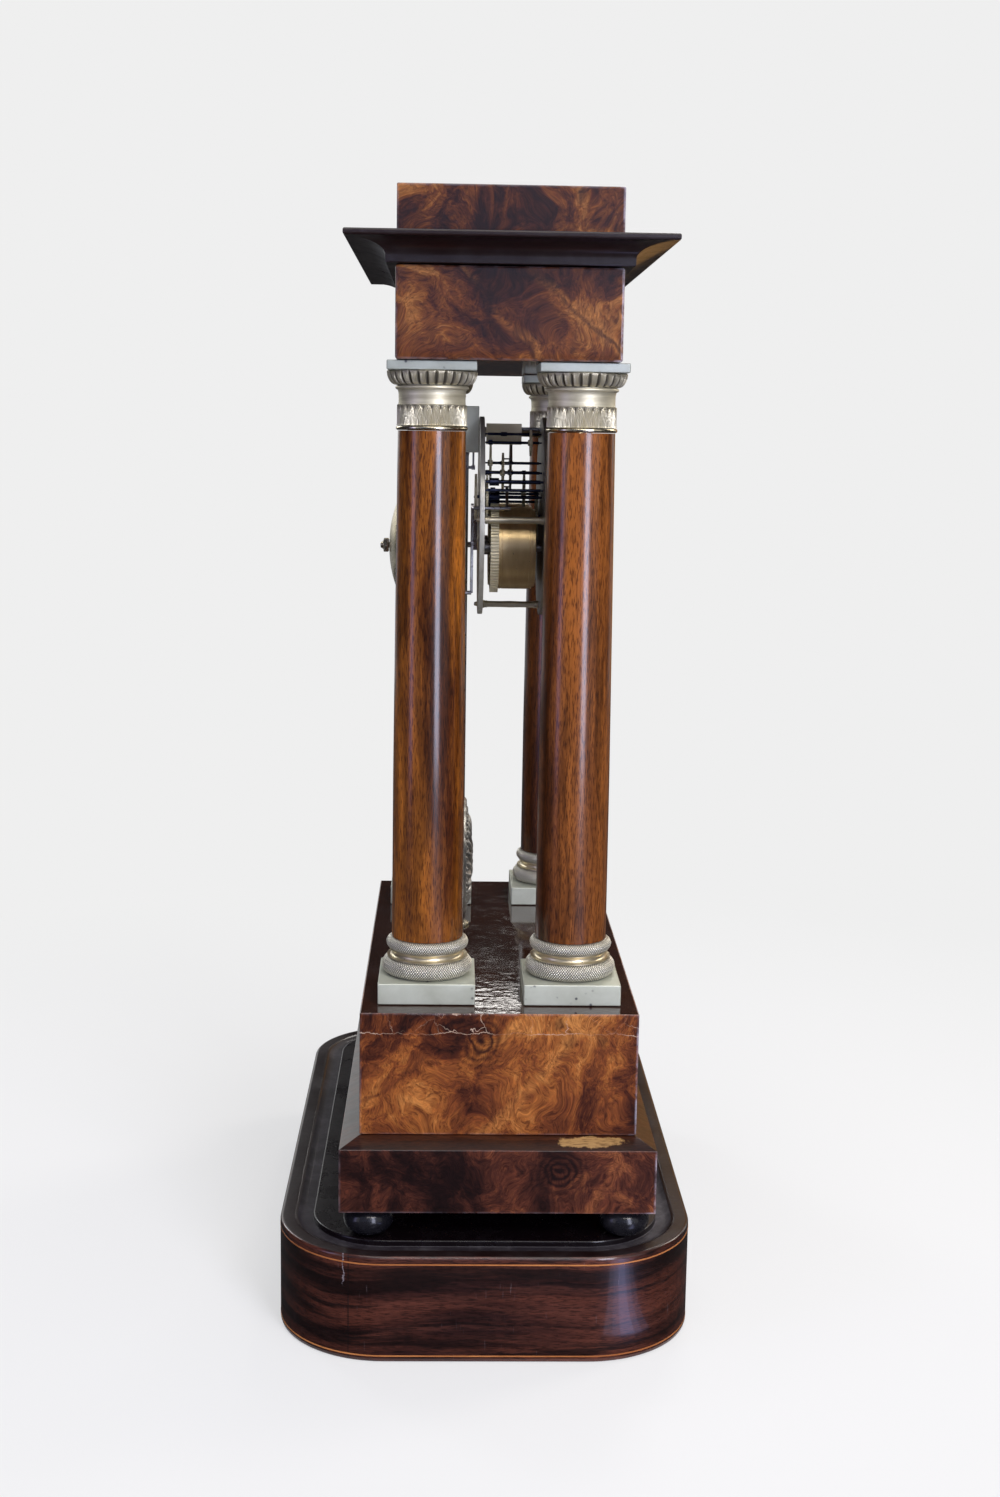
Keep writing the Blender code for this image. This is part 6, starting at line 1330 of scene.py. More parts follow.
def wheel_on(place, other, teeth, module, low, thick, spokes, rim=1.3):
    """Rim with teeth, tapering spokes and a turned hub."""
    phase = facing(place, other)
    inner = (teeth / 2 - ROOT_DEPTH) * module - rim
    parts = [spun(tooth_ring(teeth, module, 0.17, 0.27), low, low + thick, place, phase, inner)]
    for number in range(spokes):
        ends = [around_place(place, r, phase + 2 * math.pi * number / spokes) for r in (1.2, inner + 0.3)]
        parts.append(strip_between(*ends, 1.3, low + 0.04, low + thick - 0.04, 0.8))
    parts.append(lathe(rounded(2.4, low - 0.1, low + thick + 0.1, 0.15), 28, place))
    parts.append(lathe(rounded(1.5, low - 0.9, low + thick + 0.6, 0.25), 24, place))
    return parts


def pinion_on(place, other, leaves, module, low, thick):
    """Long steel leaves; a gap faces the wheel that drives it."""
    ring = tooth_ring(leaves, module, 0.12, 0.24, 16)
    body = spun(ring, low - 0.4, low + thick + 0.4, place, facing(place, other) + math.pi / leaves, 0.3)
    collar = lathe(rounded((leaves / 2 - 0.4) * module, low - 0.9, low - 0.35, 0.12), 24, place)
    return [body, collar]


def arbor_on(place, low=2.8, high=31.1, radius=0.7):
    """A polished arbor with a thinner pivot turned at each end."""
    pivot = radius * 0.62
    half = path_of((0, 0), (pivot - 0.1, 0), (pivot, 0.1), (pivot, 1.3), (radius - 0.08, 1.35), (radius, 1.45))
    return lathe(np.concatenate([half + [0, low], half[::-1] * [1, -1] + [0, high]]), 20, place)


def wheelwork(name, node, brass, steel, extra=()):
    """One piece of brass parts and steel parts; extra holds (grid, finish number) pairs."""
    grids = [*brass, *steel, *[grid for grid, _ in extra]]
    tints = [0] * len(brass) + [1] * len(steel) + [number for _, number in extra]
    tints = [[tint] * (len(grid) - 1) for tint, grid in zip(tints, grids)]
    return dress(joined(name, grids, tints), node, [wheel_brass, blued_steel, bright_steel, vane_brass_painted_light])


print("toothed pieces ready")

# %% [markdown]
# The going train keeps time. Its barrel turns an intermediate wheel, then the centre wheel that
# carries the hands, a third wheel and the escape wheel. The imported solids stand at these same
# places, so every wheel meets the next at the sum of their pitch radii.

# %% Going train
GOING_BARREL, INTERMEDIATE, CENTRE = (23.2, -14.6), (10.43, 7.06), (0, 0)
THIRD, ESCAPE, PALLETS = (-1.50, 11.45), (0, 22.2), (0, 44)
BARREL_TEETH, BARREL_MODULE = 84, 0.524
wheelwork(
    "going_intermediate", "going_intermediate_wheel",
    wheel_on(INTERMEDIATE, CENTRE, 60, 0.36, 3.3, 1, 5),
    pinion_on(INTERMEDIATE, GOING_BARREL, 12, BARREL_MODULE, 5.7, 4) + [arbor_on(INTERMEDIATE)],
)
wheelwork(
    "centre_wheel_and_arbor", "centre_wheel", wheel_on(CENTRE, THIRD, 64, 0.33, 29, 1, 5),
    pinion_on(CENTRE, INTERMEDIATE, 10, 0.36, 3.3, 1) + [arbor_on(CENTRE, high=48.1, radius=0.9)],
)
wheelwork(
    "third_wheel_and_arbor", "third_wheel", wheel_on(THIRD, ESCAPE, 64, 0.31, 22.5, 1, 4),
    pinion_on(THIRD, CENTRE, 6, 0.33, 29, 1) + [arbor_on(THIRD)],
)
print("going train turned as far as the third wheel")

# %% [markdown]
# The escape wheel has no gear teeth but long leaning points, which the pallets stop and let go
# in turn. The radius falls slowly behind each tip and rises steeply before the next one.

# %% Escape wheel
ESCAPE_TEETH, ESCAPE_TIP, ESCAPE_DROP = 33, 9.4, 1.5
turn = (np.arange(ESCAPE_TEETH * 10) / 10) % 1
rise = np.clip((turn - 0.86) / 0.14, 0, 1) ** 2.2
lean = ESCAPE_TIP - ESCAPE_DROP * np.clip(turn / 0.3, 0, 1) + ESCAPE_DROP * rise
escape_wheel = [spun(lean, 15.5, 16.5, ESCAPE, math.pi / 2, 6.6)]
for bearing in (0.63, 2.2, 3.77, 5.34):
    escape_wheel.append(strip_between(ESCAPE, around_place(ESCAPE, 6.9, bearing), 1.2, 15.55, 16.45, 0.8))
escape_wheel.append(lathe(rounded(2.2, 15.3, 16.7, 0.15), 28, ESCAPE))
escape_wheel.append(lathe(rounded(1.4, 14.6, 17.2, 0.2), 24, ESCAPE))
wheelwork(
    "escape_wheel_and_arbor", "escape_wheel", escape_wheel,
    pinion_on(ESCAPE, THIRD, 6, 0.31, 22.5, 1) + [arbor_on(ESCAPE)],
)
print("escape teeth", ESCAPE_TEETH)

# %% [markdown]
# The strike train counts the hours on the bell. Its pin wheel lifts the hammer with ten steel
# pins, the locking and warning wheels stop and release it, and a fly with a broad thin vane
# beats against the air, so that the blows come evenly.

# %% Strike train
STRIKE_BARREL, SECOND, PINS = (-23.2, -14.6), (-25.30, 10.46), (-25.0, 22.46)
LOCKING, WARNING, FLY, HAMMER = (-15.52, 27.10), (-15.22, 37.18), (-9.38, 41.39), (-38, 5.4)
BRIGHT, VANE, BLUED = 2, 3, 1
wheelwork(
    "strike_second", "strike_second_wheel", wheel_on(SECOND, PINS, 54, 0.4, 3.3, 1, 5),
    pinion_on(SECOND, STRIKE_BARREL, 12, BARREL_MODULE, 5.7, 4) + [arbor_on(SECOND, -2.7, radius=0.9)],
)
pin = rounded(0.35, 11.9, 15.6, 0.1)
lifting = [(lathe(pin, 12, around_place(PINS, 7.2, angle)), BRIGHT) for angle in np.arange(10) * math.tau / 10]
wheelwork(
    "strike_pin_wheel_and_arbor", "strike_pin_wheel", wheel_on(PINS, LOCKING, 60, 0.32, 11, 1, 4, 2.8),
    pinion_on(PINS, SECOND, 6, 0.4, 3.3, 1) + [arbor_on(PINS)], lifting,
)
wheelwork(
    "strike_locking", "strike_locking_wheel", wheel_on(LOCKING, WARNING, 56, 0.32, 5, 1, 4),
    pinion_on(LOCKING, PINS, 6, 0.32, 11, 1) + [arbor_on(LOCKING)],
)
wheelwork(
    "strike_warning", "strike_warning_wheel", wheel_on(WARNING, FLY, 42, 0.3, 25, 1, 4),
    pinion_on(WARNING, LOCKING, 7, 0.32, 5, 1) + [arbor_on(WARNING)],
)
vane = slab(at(FLY[0] - 0.2, FLY[1] - 5.2, 21.1), at(FLY[0] + 0.2, FLY[1] + 5.2, 3.3), 0.0001)
spring = slab(at(FLY[0] + 0.25, FLY[1] - 3.6, 13.0), at(FLY[0] + 0.45, FLY[1] + 3.6, 11.4), 0.00005)
fly_steel = pinion_on(FLY, WARNING, 6, 0.3, 25, 1) + [arbor_on(FLY), lathe(rounded(1.05, 10.6, 13.8, 0.2), 20, FLY)]
wheelwork("fly_vane_and_arbor", "fly", [], fly_steel, [(vane, VANE), (spring, BLUED)])
print("strike train turned")

# %% [markdown]
# A spring barrel is a drum with teeth round its back edge and a lid snapped in at the front.
# It is the largest wheel and shows its polished side, so its rim has small turned lines. Its
# arbor ends in a square for the key, and carries the ratchet that holds the wound spring.

# %% Barrels
DRUM = path_of(
    (2.95, 5.9), (18.6, 5.9), (19.6, 9.5), (20.2, 9.6), (20.45, 9.8), (20.45, 11.0), (20.3, 11.1), (20.3, 11.5),
    (20.45, 11.6), (20.45, 24.6), (20.3, 24.7), (20.3, 25.1), (20.45, 25.2), (20.45, 26.2), (20.3, 26.4),
    (19.4, 26.4), (19.4, 26.3), (19.3, 26.4), (19.3, 27.7), (19.0, 28.0), (13.0, 28.0), (12.8, 27.8),
    (6.0, 27.8), (5.8, 28.0), (2.95, 28.0), (2.95, 5.9),
)
WINDING_ARBOR = path_of(
    (0, 2.8), (3.4, 2.8), (3.6, 3.0), (3.6, 5.0), (3.4, 5.2), (2.6, 5.3), (2.6, 28.1), (2.0, 28.2), (2.0, 39.4),
    (1.7, 39.6), (0, 39.6),
)
RATCHET_TEETH, SQUARE_HALF = 16, 1.3
saw_edge = 6.6 - 1.1 * ((np.arange(RATCHET_TEETH * 12) / 12) % 1)
for side, place, mate in (("going", GOING_BARREL, INTERMEDIATE), ("strike", STRIKE_BARREL, SECOND)):
    ring = tooth_ring(BARREL_TEETH, BARREL_MODULE, 0.2, 0.27)
    parts = [spun(ring, 5.7, 9.7, place, facing(place, mate), 18.5), lathe(DRUM, 160, place)]
    tints = [[1] * 4, [0] * (len(DRUM) - 1)]
    dress(joined("spring_barrel_" + side, parts, tints), side + "_barrel", [drum_brass, wheel_brass])
    x, z = place
    square = slab(at(x - SQUARE_HALF, z - SQUARE_HALF, 45.2), at(x + SQUARE_HALF, z + SQUARE_HALF, 39.0), 0.0002)
    grids = [lathe(WINDING_ARBOR, 32, place), square, spun(saw_edge, 34.25, 35.55, place, 0, 1.5)]
    dress(joined(side + "_arbor_and_ratchet", grids), side + "_winding_arbor", [bright_steel])
print("barrels turned")

# %% [markdown]
# The plates are sheet brass with softly rounded edges, and holes where an arbor passes through.
# A Boolean modifier cuts the holes once, and the result is kept as a plain mesh. Small polished
# rings on the back show where each pivot runs in its hole.

# %% Plates
PLATE_RADIUS = 50


def pierced(mesh, cutters):
    """The mesh with the cutters taken out, worked out once and kept as a plain mesh."""
    solid = bpy.data.objects.new("solid", mesh)
    tool = bpy.data.objects.new("tool", joined("cutters", cutters))
    for obj in (solid, tool):
        scene.collection.objects.link(obj)
    cut = solid.modifiers.new("cut", "BOOLEAN")
    cut.object, cut.solver = tool, "EXACT"
    made = bpy.data.meshes.new_from_object(solid.evaluated_get(bpy.context.evaluated_depsgraph_get()))
    made.name = mesh.name
    for obj in (solid, tool):
        bpy.data.objects.remove(obj)
    return made


def drill(place, radius, low, high):
    """A rod that cuts a round hole between two levels."""
    return lathe([(0, low), (radius, low), (radius, high), (0, high)], 32, place)


plate = joined("rear_plate", [lathe(rounded(PLATE_RADIUS, 0, 2.5, 0.35), 180, CENTRE)])
holes = [drill(PALLETS, 3.0, -1, 4), drill(SECOND, 1.2, -1, 4), drill(HAMMER, 1.2, -1, 4)]
dress(pierced(plate, holes), "back_plate", [plate_brass])
rings, shades = [], []
for place in (GOING_BARREL, STRIKE_BARREL, INTERMEDIATE, CENTRE, THIRD, ESCAPE, PINS, LOCKING, WARNING, FLY):
    size = 2.2 if place in (GOING_BARREL, STRIKE_BARREL) else 0.55
    sink = path_of(
        (0, -0.12), (size, -0.12), (size + 0.1, -0.02), (size + 0.5, -0.02), (size + 0.9, -0.1),
        (size + 1.1, 0.05), (0, 0.05),
    )
    rings.append(lathe(sink, 32, place))
    shades.append([1, 1, 1, 0, 0, 0])
dress(joined("pivot_sinks", rings, shades), [], [relief_brass, bright_steel], body="case")
print("pivot holes", len(rings))

# %% [markdown]
# Four pillars with a collar at each end hold the plates apart. Beside the strike train stand
# two short-hubbed arbors of the levers that let the strike go: the photograph shows them, but no
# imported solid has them, so they ride with the case.

# %% Pillars and lever arbors
PILLAR_RING, PILLAR_BEARINGS = 45, (0, 68, 180, 270)
UPPER_LEVER, LOWER_LEVER = (-39.0, 18.3), (-38.5, 14.2)
shape = path_of(
    (0, 31.5), (2.0, 31.5), (2.0, 30.4), (1.85, 30.2), (1.75, 29.6), (1.9, 29.2), (1.6, 28.6), (1.55, 22),
    (1.7, 17), (1.55, 12), (1.6, 5.3), (1.9, 4.7), (1.75, 4.3), (1.85, 3.8), (2.0, 3.6), (2.0, 2.8), (1.2, 2.7),
    (1.2, -0.4), (0.9, -1.5), (0, -1.8),
)
pillars = [lathe(shape, 36, around_place(CENTRE, PILLAR_RING, math.radians(turn))) for turn in PILLAR_BEARINGS]
holes = [drill(CENTRE, 1.2, 30, 36), drill(GOING_BARREL, 2.3, 30, 36), drill(STRIKE_BARREL, 2.3, 30, 36)]
front = joined("front_sheet", [lathe(rounded(PLATE_RADIUS, 31.4, 33.9, 0.35), 180, CENTRE)])
# The front plate wears the darkened brass, a painted shade.
dress(pierced(front, holes), "front_plate", [front_plate_brass_shaded])
dress(joined("plate_pillars", pillars), [], [relief_brass], body="case")
levers = [
    arbor_on(UPPER_LEVER, radius=1.0), lathe(rounded(1.9, 4.6, 9.4, 0.25), 28, UPPER_LEVER),
    arbor_on(LOWER_LEVER, radius=0.8), lathe(rounded(1.4, 5.2, 7.6, 0.2), 24, LOWER_LEVER),
]
dress(joined("lever_arbors", levers), [], [blued_steel], body="case")
print("pillars", len(pillars))

# %% [markdown]
# Parts that were filed from bar, such as the cock, the clicks, the hammer and the bell's stand,
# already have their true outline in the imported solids. A merged copy of each gets its arrises
# broken by a fine bevel, as a file would, because a perfectly sharp edge never catches light.

# %% Filed parts
MERGE_WITHIN, FLAT_WITHIN, BEVEL_FROM = 1e-6, math.radians(1), math.radians(34)


def filed(name, node, finish, width, segments=2):
    """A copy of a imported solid, its loose triangles merged and its arrises bevelled."""
    mesh = frame["nodes"][node].data.copy()
    mesh.name = name
    mesh.materials.clear()
    shape = bmesh.new()
    shape.from_mesh(mesh)
    bmesh.ops.remove_doubles(shape, verts=shape.verts, dist=MERGE_WITHIN)
    bmesh.ops.dissolve_limit(shape, angle_limit=FLAT_WITHIN, verts=shape.verts, edges=shape.edges)
    for face in shape.faces:
        face.material_index = 0
    shape.to_mesh(mesh)
    shape.free()
    bevel = dress(mesh, node, [finish], sharp=30).modifiers.new("arris", "BEVEL")
    bevel.width, bevel.segments, bevel.limit_method = width, segments, "ANGLE"
    bevel.angle_limit = BEVEL_FROM
    bevel.use_clamp_overlap = True


for node, finish, width in (
    ("suspension_cock", pale_brass_and_reflection, 0.0003), ("bell_stand", bright_steel, 0.0002), ("hammer", bright_steel, 0.00015),
    ("dial_hanger", plate_brass, 0.0003), ("count_wheel", wheel_brass, 0.0001), ("pallets", bright_steel, 0.0001),
    ("going_click", blued_steel, 0.0002), ("strike_click", blued_steel, 0.0002),
    ("suspension_spring", bright_steel, 0.0001), ("cannon_pinion", bright_steel, 0.00005),
    ("minute_wheel", wheel_brass, 0.00005), ("hour_wheel", wheel_brass, 0.00005),
):
    filed("filed_" + node, node, finish, width)

# %% [markdown]
# The bell is cast in bell metal and turned: a dome whose wall thickens to a lip. It hangs on a
# bent steel stand behind the back plate, and a square nut with a small button holds it.

# %% Bell
def lathe_y(profile, around, x, z):
    """A profile of (radius, y) in metres, turned round an axis parallel to y."""
    profile = np.array(profile, float)
    angle = np.linspace(0, 2 * np.pi, around, endpoint=False)
    level = np.broadcast_to(profile[:, 1:2], (len(profile), around))
    return np.stack([x + profile[:, :1] * np.cos(angle), level, z + profile[:, :1] * np.sin(angle)], -1)


BELL_RADIUS, BELL_INSIDE, BELL_DEEP, BELL_WALL, DOME_POWER = 0.0375, 0.0357, 0.0224, 0.0016, 1.04
low, high = corners_of("bell")
swing = np.radians(np.linspace(4.5, 90, 26))
fall = (1 - np.cos(swing)) ** DOME_POWER
outer = np.column_stack([BELL_RADIUS * np.sin(swing), high[1] - BELL_DEEP * fall])
inner = np.column_stack([BELL_INSIDE * np.sin(swing), high[1] - BELL_WALL - 0.0204 * fall])[::-1]
lip = [
    (BELL_RADIUS, low[1] + 0.0008), (0.03735, low[1] + 0.0002), (0.0370, low[1]), (0.0364, low[1] + 0.0001),
    (0.0359, low[1] + 0.0007),
]
outer[:, 0] -= 0.00009 * (np.cos(outer[:, 0] * 9000) > 0.93)
shell = lathe_y(path_of(outer, lip, inner, outer[:1]), 128, (low[0] + high[0]) / 2, (low[2] + high[2]) / 2)
dress(joined("turned_bell", [shell]), "bell", [bell_metal])
low, high = corners_of("bell_nut")
middle = (low + high) / 2
pad = slab(low + [0.0004, 0, 0.0004], [high[0] - 0.0004, low[1] + 0.0026, high[2] - 0.0004], 0.0004)
button_profile = path_of(
    (0, low[1] + 0.0024), (0.0024, low[1] + 0.0024), (0.0022, low[1] + 0.0030),
    arc((0.0007, low[1] + 0.0033), 0.0010, 0, 60, 5), (0, high[1]),
)
dress(joined("square_nut", [pad, lathe_y(button_profile, 32, middle[0], middle[2])]), "bell_nut", [bright_gilt])
print("bell across", 2 * BELL_RADIUS)

# %% [markdown]
# The bob's cast front carries a common ornament: a rosette inside rings of leaves and beads.
# Its relief is a height added to the dished face: each ring is a smooth hump of the radius, and
# waves of the angle cut it into petals, leaves or beads.

# %% Relief of the bob
BOB_ROWS, BOB_COLUMNS, BOB_RADIUS, RELIEF = 66, 480, 0.034, 0.00095
out = np.linspace(0.0, 1.0, BOB_ROWS)[:, None]
angle = np.linspace(0, 2 * np.pi, BOB_COLUMNS, endpoint=False)[None, :]


def ring_band(centre, half):
    """1 at a ring's middle, falling to 0 at its edges: 1 - (distance / half) squared."""
    return np.clip(1 - ((out - centre) / half) ** 2, 0, 1)


petals = np.abs(np.cos(4 * angle)) ** 0.7
leaves = np.abs(np.cos(12 * angle + 5 * (out - 0.55))) ** 1.3
beads = np.abs(np.cos(30 * angle))
scale = np.abs(np.sin(24 * angle)) * np.abs(np.sin(out * 60))
relief = 0.9 * ring_band(0.0, 0.10) + 1.2 * ring_band(0.2, 0.13) * petals + 0.6 * ring_band(0.36, 0.035)
relief = relief + 1.5 * ring_band(0.56, 0.17) * leaves + 0.25 * ring_band(0.56, 0.17) * scale
relief = relief + 0.9 * ring_band(0.78, 0.045) * beads + 1.1 * ring_band(0.90, 0.06) * (0.55 + 0.45 * leaves)
print("relief of the bob, mm", round(float(np.ptp(relief)) * RELIEF * 1000, 2))

# %% [markdown]
# The pendulum is a steel rod with this heavy bob and a milled nut under it, whose turning moves
# the bob up or down to make the clock faster or slower. The bob is two dished faces back to
# back: the front takes the whole relief, the rear less than half of it.

# %% Pendulum
BOB_Y, BOB_HALF, ROD_Y, ROD, FERRULE = 0.0128, 0.0006, 0.0125, 0.0012, 0.00135
low, high = corners_of("pendulum_bob")
bob = (low + high) / 2
reach = BOB_RADIUS * (out - 0.012 * (1 - leaves) * (out > 0.94))
dish = np.interp(out, (0, 0.3, 0.62, 0.86, 1.0), (0.0046, 0.0044, 0.0030, 0.0014, 0.0))
depth_of = dish + RELIEF * relief * (out < 0.985)
sides = []
for sign, share in ((-1, 1.0), (1, 0.45)):
    y = np.broadcast_to(BOB_Y + sign * (BOB_HALF + depth_of * share), reach.shape)
    sides.append(np.stack([bob[0] + reach * np.cos(angle), y, bob[2] + reach * np.sin(angle)], -1))
whole = np.concatenate([sides[0], sides[1][::-1]])
dress(joined("cast_bob", [whole]), "pendulum_bob", [silvered], sharp=60)
print("bob from", [round(float(value), 4) for value in (whole[..., 1].min(), whole[..., 1].max(), low[1], high[1])])
low, high = corners_of("pendulum_rod")
rod = path_of(
    (0, low[2]), (0.0010, low[2]), (ROD, low[2] + 0.0003), (ROD, high[2] - 0.0075), (FERRULE, high[2] - 0.0072),
    (FERRULE, high[2] - 0.0066), (0, high[2] - 0.0064),
)
hook = slab([bob[0] - 0.0015, low[1], high[2] - 0.0070], [bob[0] + 0.0015, high[1], high[2]], 0.0004)
dress(joined("steel_rod", [turned(rod, 24, (bob[0], ROD_Y, 0)), hook]), "pendulum_rod", [bright_steel])
low, high = corners_of("rating_nut")
middle = (low + high) / 2
milled = path_of(
    (0.0016, low[2]), (0.0036, low[2]), (0.0040, low[2] + 0.0003), (0.0042, low[2] + 0.0006),
    (0.0042, high[2] - 0.0006), (0.0040, high[2] - 0.0003), (0.0036, high[2]), (0.0016, high[2]), (0.0016, low[2]),
)
knurl = np.zeros((len(milled), 216))
knurl[3:5] = -0.00018 * saw(np.arange(216) / 6)[None, :]
nut = turned(milled, 216, (middle[0], middle[1], 0), knurl)
dress(joined("milled_nut", [nut]), "rating_nut", [bright_gilt])

# %% [markdown]
# The dial faces away from the camera, and is finished as carefully: white enamel on a slightly
# dished disc, with a hole for the hands and two for the key.

# %% Dial
face = path_of(
    (0, 41.3), (49.4, 41.3), (49.7, 41.5), (49.7, 43.2), (49.3, 43.55), (44.0, 43.6), (30.0, 43.6), (29.6, 43.35),
    (0, 43.3),
)
holes = [drill(CENTRE, 3.4, 40, 45), drill(GOING_BARREL, 3.3, 40, 45), drill(STRIKE_BARREL, 3.3, 40, 45)]
dress(pierced(joined("enamel_dial", [lathe(face, 180, CENTRE)]), holes), "dial", [enamel])
print("dial across, mm", 2 * 49.7)

# %% [markdown]
# Roman hours are drawn with a broad pen: thick upright strokes, a thick and a thin one for V and
# X, and a fine line at head and foot. Each stroke is a bar between two places, given by how far
# out and how far aside it lies, so the same few lines write all twelve numbers.

# %% Numerals
INK_LOW, INK_HIGH = 43.5, 43.66
HOUR_FOOT, HOUR_HEAD, MINUTES_IN, MINUTES_OUT = 32.4, 39.6, 41.3, 43.6
THICK_I, THICK, THIN, SERIF = 0.95, 1.3, 0.55, 0.4
WIDTHS = {"I": 1.95, "V": 3.6, "X": 3.8}
HOURS = ("XII", "I", "II", "III", "IIII", "V", "VI", "VII", "VIII", "IX", "X", "XI")


def stroke(turn, reach, aside, end_reach, end_aside, width):
    """One stroke on the dial; reach runs outwards from the centre and aside runs clockwise."""
    outwards = np.array([math.sin(turn), math.cos(turn)])
    clockwise = np.array([math.cos(turn), -math.sin(turn)])
    start = outwards * reach + clockwise * aside
    stop = outwards * end_reach + clockwise * end_aside
    return strip_between(start, stop, width, INK_LOW, INK_HIGH)


def numeral(turn, letters):
    """Upright Roman strokes, side by side, with their feet towards the centre."""
    wide = sum(WIDTHS[letter] for letter in letters)
    left, strokes = -wide / 2, []
    for letter in letters:
        mid, half = left + WIDTHS[letter] / 2, WIDTHS[letter] / 2 - 0.45
        if letter == "I":
            strokes.append(stroke(turn, HOUR_FOOT, mid, HOUR_HEAD, mid, THICK_I))
        else:
            foot = (mid + 0.1, mid - 0.1) if letter == "V" else (mid + half, mid - half)
            strokes.append(stroke(turn, HOUR_FOOT, foot[0], HOUR_HEAD, mid - half, THICK))
            strokes.append(stroke(turn, HOUR_FOOT, foot[1], HOUR_HEAD, mid + half, THIN))
        left += WIDTHS[letter]
    for reach in (HOUR_FOOT - 0.2, HOUR_HEAD):
        strokes.append(stroke(turn, reach, 0.3 - wide / 2, reach, wide / 2 - 0.3, SERIF))
    return strokes


print("widths of the letters, mm", WIDTHS)

# %% [markdown]
# Twelve numbers, sixty minute marks between two thin rings, and a gilt ring round each winding
# hole complete the dial. All ink lies a tenth of a millimetre proud of the enamel and is one
# mesh, because it is one firing.

# %% Ink and winding holes
ink = []
for hour, letters in enumerate(HOURS):
    ink += numeral(math.tau * hour / 12, letters)
for minute in range(60):
    width = 0.7 if minute % 5 == 0 else 0.25
    ink.append(stroke(math.tau * minute / 60, MINUTES_IN, 0, MINUTES_OUT, 0, width))
for radius in (41.2, 43.6):
    outside = radius + 0.22
    ring = [(radius, INK_LOW), (outside, INK_LOW), (outside, INK_HIGH), (radius, INK_HIGH), (radius, INK_LOW)]
    ink.append(lathe(ring, 180, CENTRE))
dress(joined("dial_numerals", ink), [], [dial_black], body="case")
ring = [(2.75, 43.2), (3.25, 43.2), (3.6, 43.4), (3.5, 43.75), (3.1, 43.85), (2.8, 43.7), (2.75, 43.2)]
grommets = [lathe(ring, 48, place) for place in (GOING_BARREL, STRIKE_BARREL)]
dress(joined("winding_hole_rings", grommets), [], [bright_gilt], body="case")
print("strokes of ink", len(ink))

# %% [markdown]
# The hands are steel, blued by heat: a hub, a tapering stem, a pierced ring and a pointed tip,
# with a short tail. They are set at ten past ten, where neither hides the other.

# %% Hands
HOUR, MINUTE = 10, 10


def clock_hand(name, node, length, low, turn, bore):
    """Hub, tapering stem, pierced ring and pointed tip, all in one plane."""
    outwards = np.array([math.sin(turn), math.cos(turn)])
    ring_at, high = length * 0.72, low + 0.7
    hub = [(bore, low), (4.0, low), (4.2, low + 0.2), (3.6, low + 0.62), (bore, high), (bore, low)]
    ring = [
        (2.6, low + 0.1), (2.85, low), (3.35, low), (3.6, low + 0.2), (3.6, high - 0.2), (3.35, high),
        (2.85, high), (2.6, high - 0.1), (2.6, low + 0.1),
    ]
    tail = strip_between(-outwards * 6, -outwards * 3, 1.6, low, high, 1.5)
    stem = strip_between(outwards * 3.4, outwards * (ring_at - 3.0), 2.3, low, high, 0.6)
    tip = strip_between(outwards * (ring_at + 3.0), outwards * length, 1.7, low, high, 0.12)
    grids = [lathe(hub, 64, CENTRE), lathe(ring, 64, tuple(outwards * ring_at)), tail, stem, tip]
    dress(joined(name, grids), node, [blued_steel])


clock_hand("blued_hour_hand", "hour_hand", 26, 45.2, math.tau * (HOUR + MINUTE / 60) / 12, 2.55)
clock_hand("blued_minute_hand", "minute_hand", 38, 47.1, math.tau * MINUTE / 60, 1.7)
print("hands at", HOUR, MINUTE)

# %% [markdown]
# The bezel is a ring of gilt brass with a milled band, hinged at one side so that the key and
# the hands can be reached. Its section steps inwards to a rebate, which holds a shallow domed
# glass: two parabolas of the radius, one above the other.

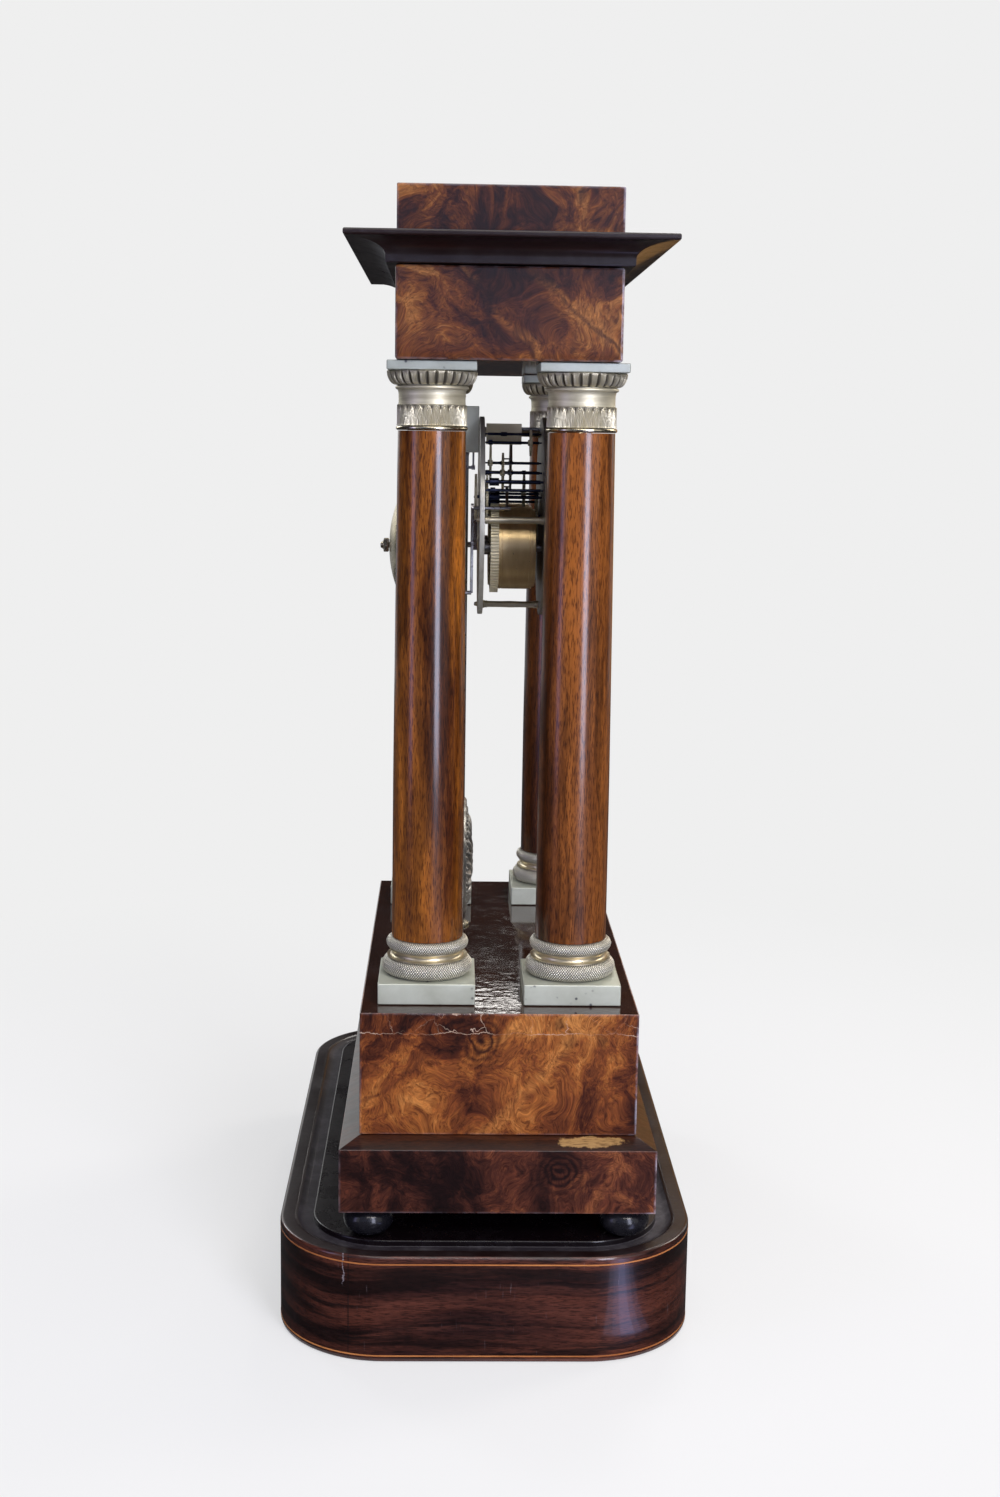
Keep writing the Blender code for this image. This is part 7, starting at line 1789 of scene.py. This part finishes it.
# %% Bezel and glass
MILLING_COLUMNS, MILLING_DEEP = 1080, 0.28
GLASS_RADIUS, GLASS_FOOT, GLASS_THICK, GLASS_RISE = 50.2, 53.6, 1.5, 5.5
HINGE, PIN_Y, KNUCKLE = 0.0646, -0.0387, 0.005
bezel_profile = path_of(
    (50.8, 41.3), (62.0, 41.3), (62.3, 41.6), (62.3, 43.4), (62.0, 43.8), arc((59.4, 46.4), 2.5, -20, 60, 10),
    (59.9, 49.3), (58.6, 50.0), arc((56.6, 50.6), 1.9, 0, 90, 8), (55.4, 52.6), (54.9, 53.2),
    arc((53.4, 53.6), 1.5, 20, 100, 8), (51.4, 55.3), (50.5, 55.2), (50.5, 53.4), (46.9, 53.3), (46.8, 53.1),
    (46.8, 48.1), (50.8, 46.1), (50.8, 41.3),
)
milling = np.zeros((len(bezel_profile), MILLING_COLUMNS))
fade = np.sin(np.linspace(0, np.pi, 11))[:, None]
milling[5:16] = -MILLING_DEEP * saw(np.arange(MILLING_COLUMNS) / 6)[None, :] * fade
knuckle_profile = path_of(
    (0.0011, -KNUCKLE), (0.0014, -KNUCKLE), (0.0016, -0.0048), (0.0016, 0.0048), (0.0014, KNUCKLE),
    (0.0011, KNUCKLE), (0.0011, -KNUCKLE),
)
knuckle = turned(knuckle_profile, 28, (PLATES_X + HINGE, PIN_Y, PLATES_Z))
tab = slab([PLATES_X + 0.0612, -0.0399, PLATES_Z - 0.0048], [PLATES_X + 0.0636, -0.0375, PLATES_Z + 0.0048], 0.0003)
rim = lathe(bezel_profile, MILLING_COLUMNS, CENTRE, milling)
dress(joined("milled_bezel", [rim, knuckle, tab]), "bezel", [bright_gilt], sharp=50)
share = np.linspace(0, 1, 22)
inside = np.column_stack([GLASS_RADIUS * share, GLASS_FOOT + GLASS_RISE * (1 - share**2)])
outside = inside + [0, GLASS_THICK]
glass = lathe(np.concatenate([outside, inside[::-1]]), 128, CENTRE)
dress(joined("domed_glass", [glass]), "bezel_glass", [clear_glass])
print("movement, dial and bezel made")
